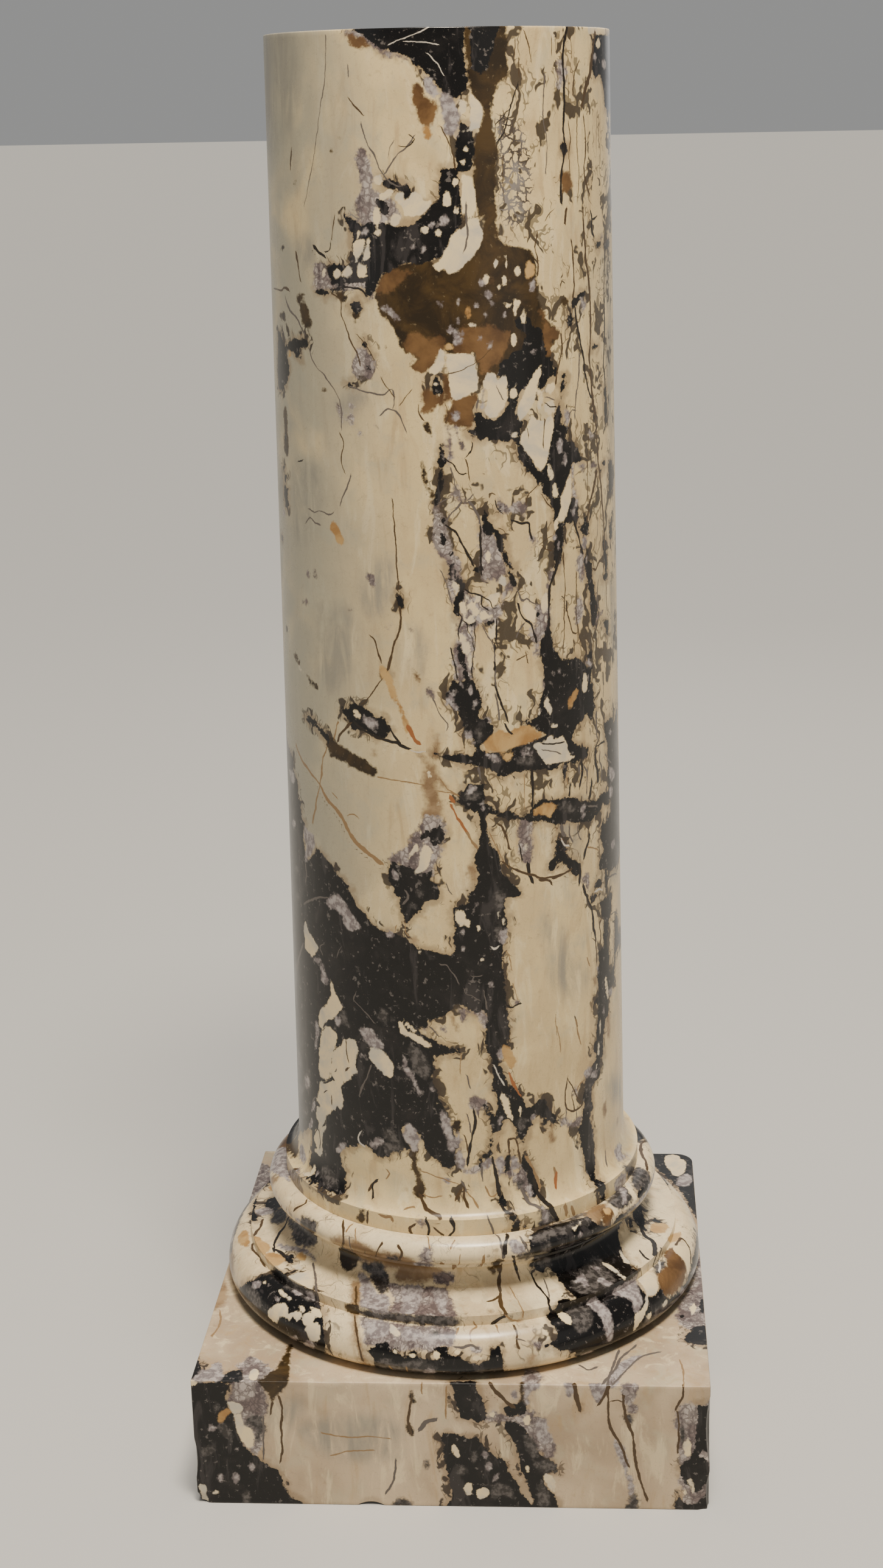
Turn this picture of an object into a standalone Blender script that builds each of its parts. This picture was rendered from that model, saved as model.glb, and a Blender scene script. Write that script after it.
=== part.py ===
"""A marble column: square plinth, moulded base of Attic profile and tapering shaft, each one block.

Metres, +Z up. The origin is the centre of the plinth's underside, and -Y is the front.
"""
import math

import bmesh
import bpy

# Bed joint between two blocks
BED_JOINT = 0.0003

# Plinth, with its back right corner worn round at the top
PLINTH_SIDE = 0.600
PLINTH_HEIGHT = 0.163
PLINTH_ARRIS = 0.0015
WORN_CORNER_RADIUS = 0.024
WORN_CORNER_DROP = 0.060

# Moulded base, from its bed upwards
PLINTH_MARGIN = 0.002
LOWER_TORUS_HEIGHT = 0.056
LOWER_TORUS_BELLY_HEIGHT = 0.020
LOWER_TORUS_BULGE = 0.030
LOWER_FILLET_HEIGHT = 0.012
SCOTIA_HEIGHT = 0.039
SCOTIA_UNDERCUT = 0.010
UPPER_FILLET_HEIGHT = 0.0065
UPPER_TORUS_HEIGHT = 0.032
UPPER_TORUS_BULGE = 0.018
CINCTURE_LEDGE = 0.004

# Shaft, from its bed upwards
SHAFT_HEIGHT = 1.338
SHAFT_FOOT_RADIUS = 0.2025
SHAFT_TOP_RADIUS = 0.188
CINCTURE_HEIGHT = 0.0205
CINCTURE_PROJECTION = 0.0175
APOPHYGE_HEIGHT = 0.036
SHAFT_ARRIS = 0.0015

# How finely round shapes are cut
ROUND_STEPS = 96
TORUS_STEPS = 9
SCOTIA_STEPS = 5
APOPHYGE_STEPS = 6
CORNER_STEPS = 6
SHARP_ANGLE = math.radians(28)

# Where each block rests
BASE_BED = PLINTH_HEIGHT + BED_JOINT
BASE_HEIGHT = (LOWER_TORUS_HEIGHT + LOWER_FILLET_HEIGHT + SCOTIA_HEIGHT
               + UPPER_FILLET_HEIGHT + UPPER_TORUS_HEIGHT)
SHAFT_BED = BASE_BED + BASE_HEIGHT + BED_JOINT

# Radii that follow from the sizes above
LOWER_TORUS_RADIUS = PLINTH_SIDE / 2 - PLINTH_MARGIN
LOWER_SEAT_RADIUS = LOWER_TORUS_RADIUS - LOWER_TORUS_BULGE
CINCTURE_RADIUS = SHAFT_FOOT_RADIUS + CINCTURE_PROJECTION
UPPER_SEAT_RADIUS = CINCTURE_RADIUS + CINCTURE_LEDGE
THROAT_RADIUS = UPPER_SEAT_RADIUS - SCOTIA_UNDERCUT


def marble(name, colour, roughness):
    """A plain polished marble."""
    material = bpy.data.materials.new(name)
    material.use_nodes = True
    shader = material.node_tree.nodes["Principled BSDF"]
    shader.inputs["Base Color"].default_value = (*colour, 1.0)
    shader.inputs["Roughness"].default_value = roughness
    shader.inputs["Metallic"].default_value = 0.0
    return material


def quarter(centre, radii, start, steps):
    """Points of a quarter turn of an ellipse in the radius-height plane, turning clockwise."""
    points = []
    for step in range(steps + 1):
        angle = start - math.pi / 2 * step / steps
        points.append((centre[0] + radii[0] * math.cos(angle), centre[1] + radii[1] * math.sin(angle)))
    return points


def torus(seat_radius, bulge, bed, height, belly_height):
    """A torus's half round from its top to its bed, widest at the belly."""
    centre = (seat_radius, bed + belly_height)
    upper = quarter(centre, (bulge, height - belly_height), math.pi / 2, TORUS_STEPS // 2 + 1)
    lower = quarter(centre, (bulge, belly_height), 0.0, TORUS_STEPS // 2)
    return upper + lower[1:]


def hollow(outer, throat, steps):
    """A quarter hollow between a lip at outer and a throat, both (radius, height), lip level."""
    radii = (outer[0] - throat[0], throat[1] - outer[1])
    points = []
    for step in range(steps + 1):
        angle = math.pi / 2 * step / steps
        points.append((outer[0] - radii[0] * math.cos(angle), throat[1] - radii[1] * math.sin(angle)))
    return points


def base_profile():
    """The moulded base's outline as (radius, height), from its top centre to its bed centre."""
    top = BASE_BED + BASE_HEIGHT
    upper_torus_bed = top - UPPER_TORUS_HEIGHT
    upper_fillet_bed = upper_torus_bed - UPPER_FILLET_HEIGHT
    throat_height = upper_fillet_bed - SCOTIA_UNDERCUT
    scotia_bed = upper_fillet_bed - SCOTIA_HEIGHT
    lower_fillet_bed = scotia_bed - LOWER_FILLET_HEIGHT

    points = [(0.0, top)]
    points += torus(UPPER_SEAT_RADIUS, UPPER_TORUS_BULGE, upper_torus_bed, UPPER_TORUS_HEIGHT,
                    UPPER_TORUS_HEIGHT / 2)
    undercut = hollow((UPPER_SEAT_RADIUS, upper_fillet_bed), (THROAT_RADIUS, throat_height), SCOTIA_STEPS)
    points += undercut[::-1]
    points += hollow((LOWER_SEAT_RADIUS, scotia_bed), (THROAT_RADIUS, throat_height), SCOTIA_STEPS)[1:]
    points.append((LOWER_SEAT_RADIUS, lower_fillet_bed))
    points += torus(LOWER_SEAT_RADIUS, LOWER_TORUS_BULGE, BASE_BED, LOWER_TORUS_HEIGHT,
                    LOWER_TORUS_BELLY_HEIGHT)[1:]
    points.append((0.0, BASE_BED))
    return points


def shaft_profile():
    """The shaft's outline as (radius, height), from its top centre to its bed centre."""
    top = SHAFT_BED + SHAFT_HEIGHT
    cincture_top = SHAFT_BED + CINCTURE_HEIGHT
    flare_top = cincture_top + APOPHYGE_HEIGHT

    points = [(0.0, top), (SHAFT_TOP_RADIUS - SHAFT_ARRIS, top), (SHAFT_TOP_RADIUS, top - SHAFT_ARRIS)]
    points += hollow((CINCTURE_RADIUS, cincture_top), (SHAFT_FOOT_RADIUS, flare_top), APOPHYGE_STEPS)
    points += [(CINCTURE_RADIUS, SHAFT_BED), (0.0, SHAFT_BED)]
    return points


def finish(name, mesh_data, material):
    """Turn a closed bmesh into a named object with its material."""
    bmesh.ops.recalc_face_normals(mesh_data, faces=mesh_data.faces)
    mesh = bpy.data.meshes.new(name)
    mesh_data.to_mesh(mesh)
    mesh_data.free()
    mesh.materials.append(material)
    mesh.shade_smooth()
    mesh.set_sharp_from_angle(angle=SHARP_ANGLE)
    piece = bpy.data.objects.new(name, mesh)
    bpy.context.collection.objects.link(piece)
    return piece


def turned(name, profile, material):
    """Turn a profile that starts and ends on the axis into a solid."""
    mesh_data = bmesh.new()
    verts = [mesh_data.verts.new((radius, 0.0, height)) for radius, height in profile]
    edges = [mesh_data.edges.new(pair) for pair in zip(verts, verts[1:])]
    bmesh.ops.spin(mesh_data, geom=verts + edges, cent=(0, 0, 0), axis=(0, 0, 1),
                   angle=math.tau, steps=ROUND_STEPS, use_merge=True)
    bmesh.ops.remove_doubles(mesh_data, verts=mesh_data.verts, dist=0.00001)
    return finish(name, mesh_data, material)


def plinth(material):
    """The square block, with one top corner worn to a round that fades out below it."""
    half = PLINTH_SIDE / 2
    points = [(x, y, z) for x in (-half, half) for y in (-half, half) for z in (0.0, PLINTH_HEIGHT)]
    points.remove((half, half, PLINTH_HEIGHT))
    points.append((half, half, PLINTH_HEIGHT - WORN_CORNER_DROP))
    centre = half - WORN_CORNER_RADIUS
    for step in range(CORNER_STEPS + 1):
        angle = math.pi / 2 * step / CORNER_STEPS
        x = centre + WORN_CORNER_RADIUS * math.cos(angle)
        y = centre + WORN_CORNER_RADIUS * math.sin(angle)
        points.append((x, y, PLINTH_HEIGHT))

    mesh_data = bmesh.new()
    for point in points:
        mesh_data.verts.new(point)
    bmesh.ops.convex_hull(mesh_data, input=mesh_data.verts)
    bmesh.ops.dissolve_limit(mesh_data, angle_limit=math.radians(1), verts=mesh_data.verts,
                             edges=mesh_data.edges)
    piece = finish("plinth", mesh_data, material)

    arris = piece.modifiers.new("rubbed arris", 'BEVEL')
    arris.width = PLINTH_ARRIS
    arris.segments = 2
    arris.limit_method = 'ANGLE'
    arris.angle_limit = math.radians(40)
    return piece


def main():
    for old in list(bpy.data.objects):
        bpy.data.objects.remove(old, do_unlink=True)

    plinth(marble("plinth marble", (0.62, 0.53, 0.42), 0.30))
    turned("moulded_base", base_profile(), marble("base marble", (0.58, 0.53, 0.47), 0.16))
    turned("shaft", shaft_profile(), marble("shaft marble", (0.60, 0.51, 0.38), 0.18))


main()
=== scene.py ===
"""The finished look of a marble column: shaft, moulded base and plinth of one brecciated marble."""
import math

import bmesh
import bpy
import numpy as np
from mathutils import Matrix, Vector


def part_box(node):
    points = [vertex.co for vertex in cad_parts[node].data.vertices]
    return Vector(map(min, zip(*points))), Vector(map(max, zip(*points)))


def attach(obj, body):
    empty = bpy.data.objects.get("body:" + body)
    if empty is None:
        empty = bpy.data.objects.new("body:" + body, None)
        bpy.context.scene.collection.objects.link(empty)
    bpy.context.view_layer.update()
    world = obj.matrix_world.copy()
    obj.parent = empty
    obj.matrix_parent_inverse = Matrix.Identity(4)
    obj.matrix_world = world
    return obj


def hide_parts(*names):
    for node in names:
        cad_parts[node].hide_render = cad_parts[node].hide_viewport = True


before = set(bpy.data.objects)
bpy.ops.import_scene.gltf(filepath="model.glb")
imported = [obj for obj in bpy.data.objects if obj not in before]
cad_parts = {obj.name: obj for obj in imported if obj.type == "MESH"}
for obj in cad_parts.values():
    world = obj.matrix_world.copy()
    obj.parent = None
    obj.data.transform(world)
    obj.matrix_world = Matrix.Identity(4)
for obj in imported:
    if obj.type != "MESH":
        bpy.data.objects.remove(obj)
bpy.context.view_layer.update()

# The photograph's frame and the camera, in pixels, metres and degrees
PHOTO_HEIGHT = 2576
LENS_IN_PIXELS = 3713.0
LENS_CENTRE_RIGHT = 74.5
SENSOR = 36.0
CAMERA_PLACE = (0.1845, -2.5850, 1.5699)
CAMERA_HEADING = math.radians(-3.205)
CAMERA_DOWN = math.radians(16.704)
CAMERA_ROLL = math.radians(1.067)

# Shaft mouldings, in metres, as the solid has them
SHAFT_FOOT_RADIUS = 0.2025
SHAFT_TOP_RADIUS = 0.188
CINCTURE_HEIGHT = 0.0205
CINCTURE_PROJECTION = 0.0175
APOPHYGE_HEIGHT = 0.036
SHAFT_ARRIS = 0.0015
CINCTURE_RADIUS = SHAFT_FOOT_RADIUS + CINCTURE_PROJECTION

# Base mouldings, in metres, as the solid has them
LOWER_TORUS_HEIGHT = 0.056
LOWER_TORUS_BELLY_HEIGHT = 0.020
LOWER_TORUS_BULGE = 0.030
LOWER_FILLET_HEIGHT = 0.012
SCOTIA_HEIGHT = 0.039
SCOTIA_UNDERCUT = 0.010
UPPER_FILLET_HEIGHT = 0.0065
UPPER_TORUS_HEIGHT = 0.032
UPPER_TORUS_BULGE = 0.018
CINCTURE_LEDGE = 0.004
PLINTH_MARGIN = 0.002

# Plinth, in metres
PLINTH_ARRIS = 0.0013
WORN_CORNER_RADIUS = 0.024
WORN_CORNER_DROP = 0.060

# Cells of the finished surfaces, in metres
HAIR = 0.00001
SHAFT_CELL = 0.0037
SHAFT_COLUMNS = 232
BASE_CELL = 0.0022
BASE_COLUMNS = 330
CAP_CELL = 0.0085
PLINTH_CELL = 0.0030
PLINTH_HIDDEN_CELL = 0.020
PLINTH_SHOWN_CORNER = 0.120
FRONT_FINENESS = 0.50
SHARP_ANGLE = math.radians(38)

# Steps in the mouldings' curves
ARRIS_STEPS = 3
FLARE_STEPS = 10
UPPER_TORUS_STEPS = 10
THROAT_STEPS = 6
SCOTIA_STEPS = 12
LOWER_TORUS_STEPS = 12

# Marks are drawn on sheets: degrees round from the front by millimetres up the shaft or along the
# base's outline, and millimetres by millimetres over the plinth's front and top.
MILLI = 0.001
SHAFT_SHEET_RADIUS = 0.195
BASE_SHEET_RADIUS = 0.260
FAR_OUTSIDE = -0.030
VEIN_REACH = 0.0085
VEIN_FULL = 0.0045
VEIN_LAYERS = 4
VEIN_CLEARANCE = 0.0125
CURVE_STEPS = 5
HALF_TURN = 180
SEAM_ZONE = 168

# Kinds of mark, in the order in which they lie over each other
# Mist is grey clouding in the stone; one mist patch at the shaft's right edge is painted shade
MIST_AND_SHADE = "mist_and_shade"
CRACKLE = "crackle"
FAWN = "fawn"
DOVE = "dove"
OLIVE = "olive"
RUST = "rust"
INK = "ink"
SMOKE = "smoke"
BONE = "bone"
LILAC = "lilac"
HONEY = "honey"
KINDS = (MIST_AND_SHADE, CRACKLE, FAWN, DOVE, OLIVE, RUST, INK, SMOKE, BONE, LILAC, HONEY)
REACH = {MIST_AND_SHADE: 0.030, CRACKLE: 0.020}
USUAL_REACH = 0.012

# Tints of vein
BLACK = 0.0
UMBER = 0.2
TAN = 0.4
RUSTY = 0.6
GREY = 0.8
WHITE = 1.0

# How the stone's noises run: scale, detail, roughness and distortion
STONE_NOISES = {
    "broad": (7.0, 3.0, 0.55, 0.6),
    "cloud": (26.0, 5.0, 0.6, 0.5),
    "grain": (150.0, 4.0, 0.6, 0.0),
    "speck": (620.0, 2.0, 0.6, 0.0),
}
STREAK_SQUEEZE = 0.22
HAIRLINE_BEND = (0.10, 0.10, 0.16)
HAIRLINE_SQUEEZE = 0.28
SHARD_BEND = 0.022
HALO_WIDTH = 0.005
VEIN_SWAY = 0.0036
VEIN_SOFTNESS = 0.0004
RELIEF_DEPTH = 0.0012
SHEEN = 0.38

# How far each kind of mark's edge strays, and how soft it is, in metres
EDGES = {
    MIST_AND_SHADE: (0.014, 0.014),
    CRACKLE: (0.012, 0.006),
    FAWN: (0.022, 0.0045),
    DOVE: (0.028, 0.0024),
    OLIVE: (0.020, 0.0018),
    RUST: (0.024, 0.0024),
    INK: (0.0210, 0.0008),
    SMOKE: (0.026, 0.0030),
    BONE: (0.0130, 0.0009),
    LILAC: (0.018, 0.0018),
    HONEY: (0.0140, 0.0014),
}

# Shades laid over a stone's first colour: the noise, its low and high, the share, and the shade
CREAM_LAYERS = [
    ("cloud", 0.50, 0.72, 0.55, (182, 172, 142)),
    ("drawn", 0.52, 0.70, 0.50, (172, 142, 100)),
    ("drawn", 0.46, 0.34, 0.45, (232, 214, 172)),
    ("grain", 0.58, 0.76, 0.35, (150, 124, 90)),
]

# Each kind of clast's first colour, and the shades laid over it
CLASTS = {
    FAWN: ((122, 96, 66), ("cloud", 0.40, 0.66, 1.0, (156, 130, 96))),
    DOVE: ((96, 84, 82),
           ("drawn", 0.40, 0.58, 1.0, (178, 166, 156)),
           ("grain", 0.50, 0.62, 1.0, (146, 134, 128)),
           ("cloud", 0.50, 0.60, 1.0, (112, 98, 94)),
           ("shards", None, None, 0.55, (70, 60, 60))),
    OLIVE: ((38, 27, 10),
            ("cloud", 0.36, 0.66, 1.0, (70, 52, 24)),
            ("grain", 0.62, 0.76, 0.5, (140, 122, 90))),
    RUST: ((78, 54, 30), ("cloud", 0.34, 0.68, 1.0, (114, 84, 50))),
    INK: ((10, 8, 7),
          ("cloud", 0.50, 0.72, 1.0, (32, 28, 26)),
          ("drawn", 0.55, 0.64, 0.55, (62, 57, 56)),
          ("grain", 0.60, 0.68, 0.75, (104, 97, 92))),
    SMOKE: ((50, 46, 43), ("grain", 0.42, 0.62, 1.0, (92, 86, 82))),
    BONE: ((226, 204, 160), ("cloud", 0.40, 0.68, 1.0, (190, 180, 160))),
    LILAC: ((116, 106, 104), ("grain", 0.40, 0.62, 1.0, (168, 158, 152))),
    HONEY: ((186, 152, 98), ("cloud", 0.38, 0.66, 1.0, (154, 114, 64))),
}

# The veins' colours, in the order of their tints
VEIN_SHADES = ((32, 25, 18), (72, 54, 32), (138, 110, 74), (146, 90, 48), (92, 84, 78), (198, 188, 172))

# Each block's cream and the blush that clouds it
SHAFT_TONES = ((218, 194, 144), (200, 176, 130))
BASE_TONES = ((226, 206, 166), (202, 180, 142))
PLINTH_TONES = ((200, 178, 146), (166, 144, 116))

# Each block's dullness above the stone's own, and the strength of its relief
SHAFT_DULLNESS = 0.10
SHAFT_RELIEF = 0.10
BASE_DULLNESS = 0.08
BASE_RELIEF = 0.14
PLINTH_DULLNESS = 0.24
PLINTH_RELIEF = 0.22

# How crushed each block is: all over, and more up the right side
SHAFT_CRUSH = (0.04, 0.90)
BASE_CRUSH = (0.16, 0.20)
PLINTH_CRUSH = (0.04, 0.10)

# The studio
FLOOR_REACH = 120.0
KEY_WATTS = 92.0
CEILING_STRENGTH = 3.0
CEILING_SPREAD = math.radians(20)
LEFT_FILL_WATTS = 4.0
RIGHT_FILL_WATTS = 6.0
BACK_FILL_WATTS = 14.0
WORLD_STRENGTH = 0.36


def patch(kind, *points):
    """A mark with a smooth round outline."""
    return {"kind": kind, "points": points, "smooth": True}


def block(kind, *points):
    """A mark with straight broken edges, as a shard of stone has."""
    return {"kind": kind, "points": points, "smooth": False}


def pebble(kind, x, y, wide, high, lean=0.0):
    """An oval mark. Wide is in the sheet's own unit across, high in millimetres, lean in degrees."""
    return {"kind": kind, "oval": (x, y, wide / 2, high / 2, math.radians(lean))}


def vein(width, tint, *points):
    """A thin line of mineral, width in millimetres, fading out at both ends."""
    return {"width": width, "tint": tint, "points": points}


def shaft_head_marks():
    """The top of the shaft, from the rim down to 1475 mm."""
    return [
        block(INK, (-26, 1652), (-20, 1641), (-15, 1631), (-10, 1622), (-5, 1620), (-3, 1613), (0, 1606),
            (2, 1598), (4, 1590), (6, 1583), (9, 1578), (12, 1580), (13.5, 1590), (12.5, 1620), (13, 1652)),
        vein(0.9, WHITE, (-11, 1631), (-6, 1637), (-2, 1641), (3, 1649)),
        vein(1.0, WHITE, (-6, 1634), (-1, 1633), (4.5, 1630)),
        vein(0.8, WHITE, (1, 1622), (4, 1612), (6, 1600)),
        patch(DOVE, (-25, 1643), (-16, 1629), (-10, 1617), (-5, 1617), (-9, 1625), (-15, 1634),
            (-19, 1645)),
        block(RUST, (-25, 1641), (-19, 1640), (-17, 1630), (-21, 1627), (-24, 1632)),
        block(OLIVE, (12, 1652), (26.5, 1652), (26.5, 1600), (23, 1590), (21, 1570), (20.5, 1555),
            (21.5, 1540), (22.5, 1525), (22, 1500), (21.5, 1460), (15.5, 1460), (14, 1500), (15, 1525),
            (15.5, 1540), (17, 1552), (19, 1563), (16, 1575), (14, 1590), (12.5, 1620)),
        block(INK, (14, 1652), (24, 1652), (22, 1622), (18, 1600), (14.5, 1606)),
        patch(RUST, (-2.5, 1594), (0, 1583), (3, 1575), (3.7, 1565), (2.5, 1555), (0, 1550), (-2, 1554),
            (-3, 1568), (-4, 1582)),
        patch(HONEY, (-1.5, 1552), (1, 1549), (1.8, 1541), (0, 1538)),
        block(LILAC, (0, 1600), (2, 1597), (4.5, 1583), (2.5, 1577), (0.5, 1584)),
        block(LILAC, (5, 1584), (9, 1577), (11, 1560), (10, 1541), (6, 1543), (5, 1565)),
        block(BONE, (10, 1577), (13, 1575), (13, 1562), (10.5, 1561)),
        # The mist stain: grey clouding of the stone, and painted shade where a mist patch stands for shade
        block(BONE, (14, 1582), (18, 1570), (17, 1548), (13.5, 1545)),
        block(INK, (10.5, 1556), (14.5, 1550), (15, 1525), (14, 1505), (10, 1506), (9.5, 1530)),
        block(BONE, (11, 1504), (14.5, 1500), (15, 1465), (10.5, 1463)),
        pebble(BONE, 12, 1545, 2, 3),
        pebble(BONE, 12.6, 1528, 1.6, 4),
        pebble(BONE, 11.5, 1515, 1.2, 4),
        block(INK, (4.5, 1508), (9.5, 1510), (10.5, 1480), (11, 1452), (4, 1452), (3.5, 1480)),
        pebble(BONE, 6, 1478, 2.8, 15),
        pebble(BONE, 8.9, 1495, 1.5, 9),
        vein(1.2, UMBER, (5, 1550), (7, 1535), (8.5, 1520), (9, 1508)),
        vein(1.6, GREY, (-3.5, 1542), (-6, 1531), (-9.5, 1522), (-11.5, 1512), (-13.5, 1504)),
        vein(1.0, BLACK, (-9.5, 1533), (-6, 1531), (-3.5, 1537), (-5, 1543)),
        vein(0.9, GREY, (-10, 1537), (-11.5, 1530), (-12, 1521)),
        vein(1.5, GREY, (-21, 1555), (-20, 1545), (-18.5, 1532), (-16, 1520), (-15, 1510), (-12, 1497),
            (-9, 1492), (-6, 1495)),
        block(INK, (-14.5, 1500), (-10, 1497), (-6, 1493), (-4, 1482), (-1, 1474), (-4, 1466), (-9, 1488),
            (-14, 1491)),
        patch(DOVE, (-22, 1530), (-19, 1526), (-17, 1508), (-18, 1485), (-21, 1486), (-22.5, 1505)),
        pebble(BONE, -15.5, 1499, 3, 12),
        pebble(BONE, -13, 1484, 5, 9, 20),
        pebble(BONE, -3.8, 1478, 5, 16, 10),
        pebble(BONE, -8.6, 1481, 2.6, 13),
        block(INK, (-16, 1480), (-12, 1474), (-13, 1462), (-16, 1466)),
        patch(DOVE, (-19, 1492), (-10, 1474), (-10, 1455), (-20, 1452), (-24, 1470)),
        vein(1.4, UMBER, (-25, 1580), (-23, 1572), (-20, 1563)),
        vein(1.2, GREY, (-25, 1612), (-25, 1600)),
        vein(1.6, BLACK, (30, 1592), (28, 1575), (26, 1555), (25, 1545), (22.5, 1534)),
        vein(1.2, BLACK, (22, 1551), (24, 1557), (26.5, 1566)),
        vein(1.0, UMBER, (24.5, 1520), (24.2, 1500), (24.5, 1472)),
        patch(CRACKLE, (23, 1560), (31, 1545), (34, 1500), (32, 1455), (24, 1455), (23, 1500)),
        vein(1.0, UMBER, (29.3, 1636), (28.7, 1614)),
        vein(1.1, UMBER, (32.5, 1643), (34, 1628), (35, 1612)),
        vein(0.9, UMBER, (30.5, 1616), (30.3, 1598)),
        vein(1.0, UMBER, (43, 1637), (43, 1618)),
        vein(1.0, UMBER, (51, 1642), (52, 1628), (52, 1615)),
        vein(1.8, UMBER, (56, 1614), (54, 1604), (53, 1597), (52.5, 1578)),
        vein(3.2, BLACK, (50, 1648), (48.5, 1630), (47.7, 1610), (48.3, 1590), (48, 1560), (47.5, 1545),
            (48, 1525), (47, 1510), (46, 1490), (46, 1470)),
        block(DOVE, (45, 1612), (47, 1616), (50, 1606), (49.5, 1592), (46, 1588)),
        patch(INK, (47, 1532), (49, 1530), (49.3, 1522), (47.5, 1518), (46.6, 1524)),
        patch(RUST, (46, 1500), (50, 1503), (51, 1490), (49, 1479), (46.5, 1482)),
        vein(5.5, UMBER, (67, 1642), (64.5, 1620), (62.5, 1600), (59.5, 1585), (57, 1566)),
        block(INK, (65, 1640), (64, 1605), (66, 1598), (70, 1600), (73, 1592), (75, 1582), (75, 1566),
            (84, 1562), (96, 1570), (96, 1640)),
        pebble(BONE, 69, 1630, 4, 9),
        pebble(LILAC, 66, 1617, 3, 8),
        pebble(LILAC, 75, 1610, 6, 9),
        block(BONE, (61, 1652), (77, 1652), (78, 1641), (62, 1640)),
        vein(2.2, UMBER, (58, 1558), (59, 1540), (59, 1520), (58, 1505), (59, 1490), (61, 1477)),
        vein(1.4, UMBER, (50, 1552), (51, 1535), (50, 1520), (50.5, 1498)),
        vein(1.2, UMBER, (54.5, 1560), (54, 1530), (55, 1500), (54, 1470)),
        vein(1.4, GREY, (40, 1600), (39, 1560), (40.5, 1530), (39.5, 1500)),
        patch(MIST_AND_SHADE, (-78, 1652), (-50, 1652), (-46, 1600), (-55, 1540), (-78, 1530)),
        vein(1.0, GREY, (-33, 1642), (-34, 1597), (-36, 1575), (-38, 1545), (-40, 1520), (-42, 1500),
            (-45, 1472)),
        vein(2.2, UMBER, (-51.3, 1530), (-52, 1520), (-52.6, 1509)),
        pebble(OLIVE, -50, 1495, 1.2, 4),
        pebble(OLIVE, -29, 1541, 1.2, 3),
        pebble(OLIVE, -32, 1527, 1.2, 3),
        patch(CRACKLE, (-24, 1468), (-17, 1478), (-12, 1470), (-14, 1448), (-22, 1445), (-27, 1455)),
    ]


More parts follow.
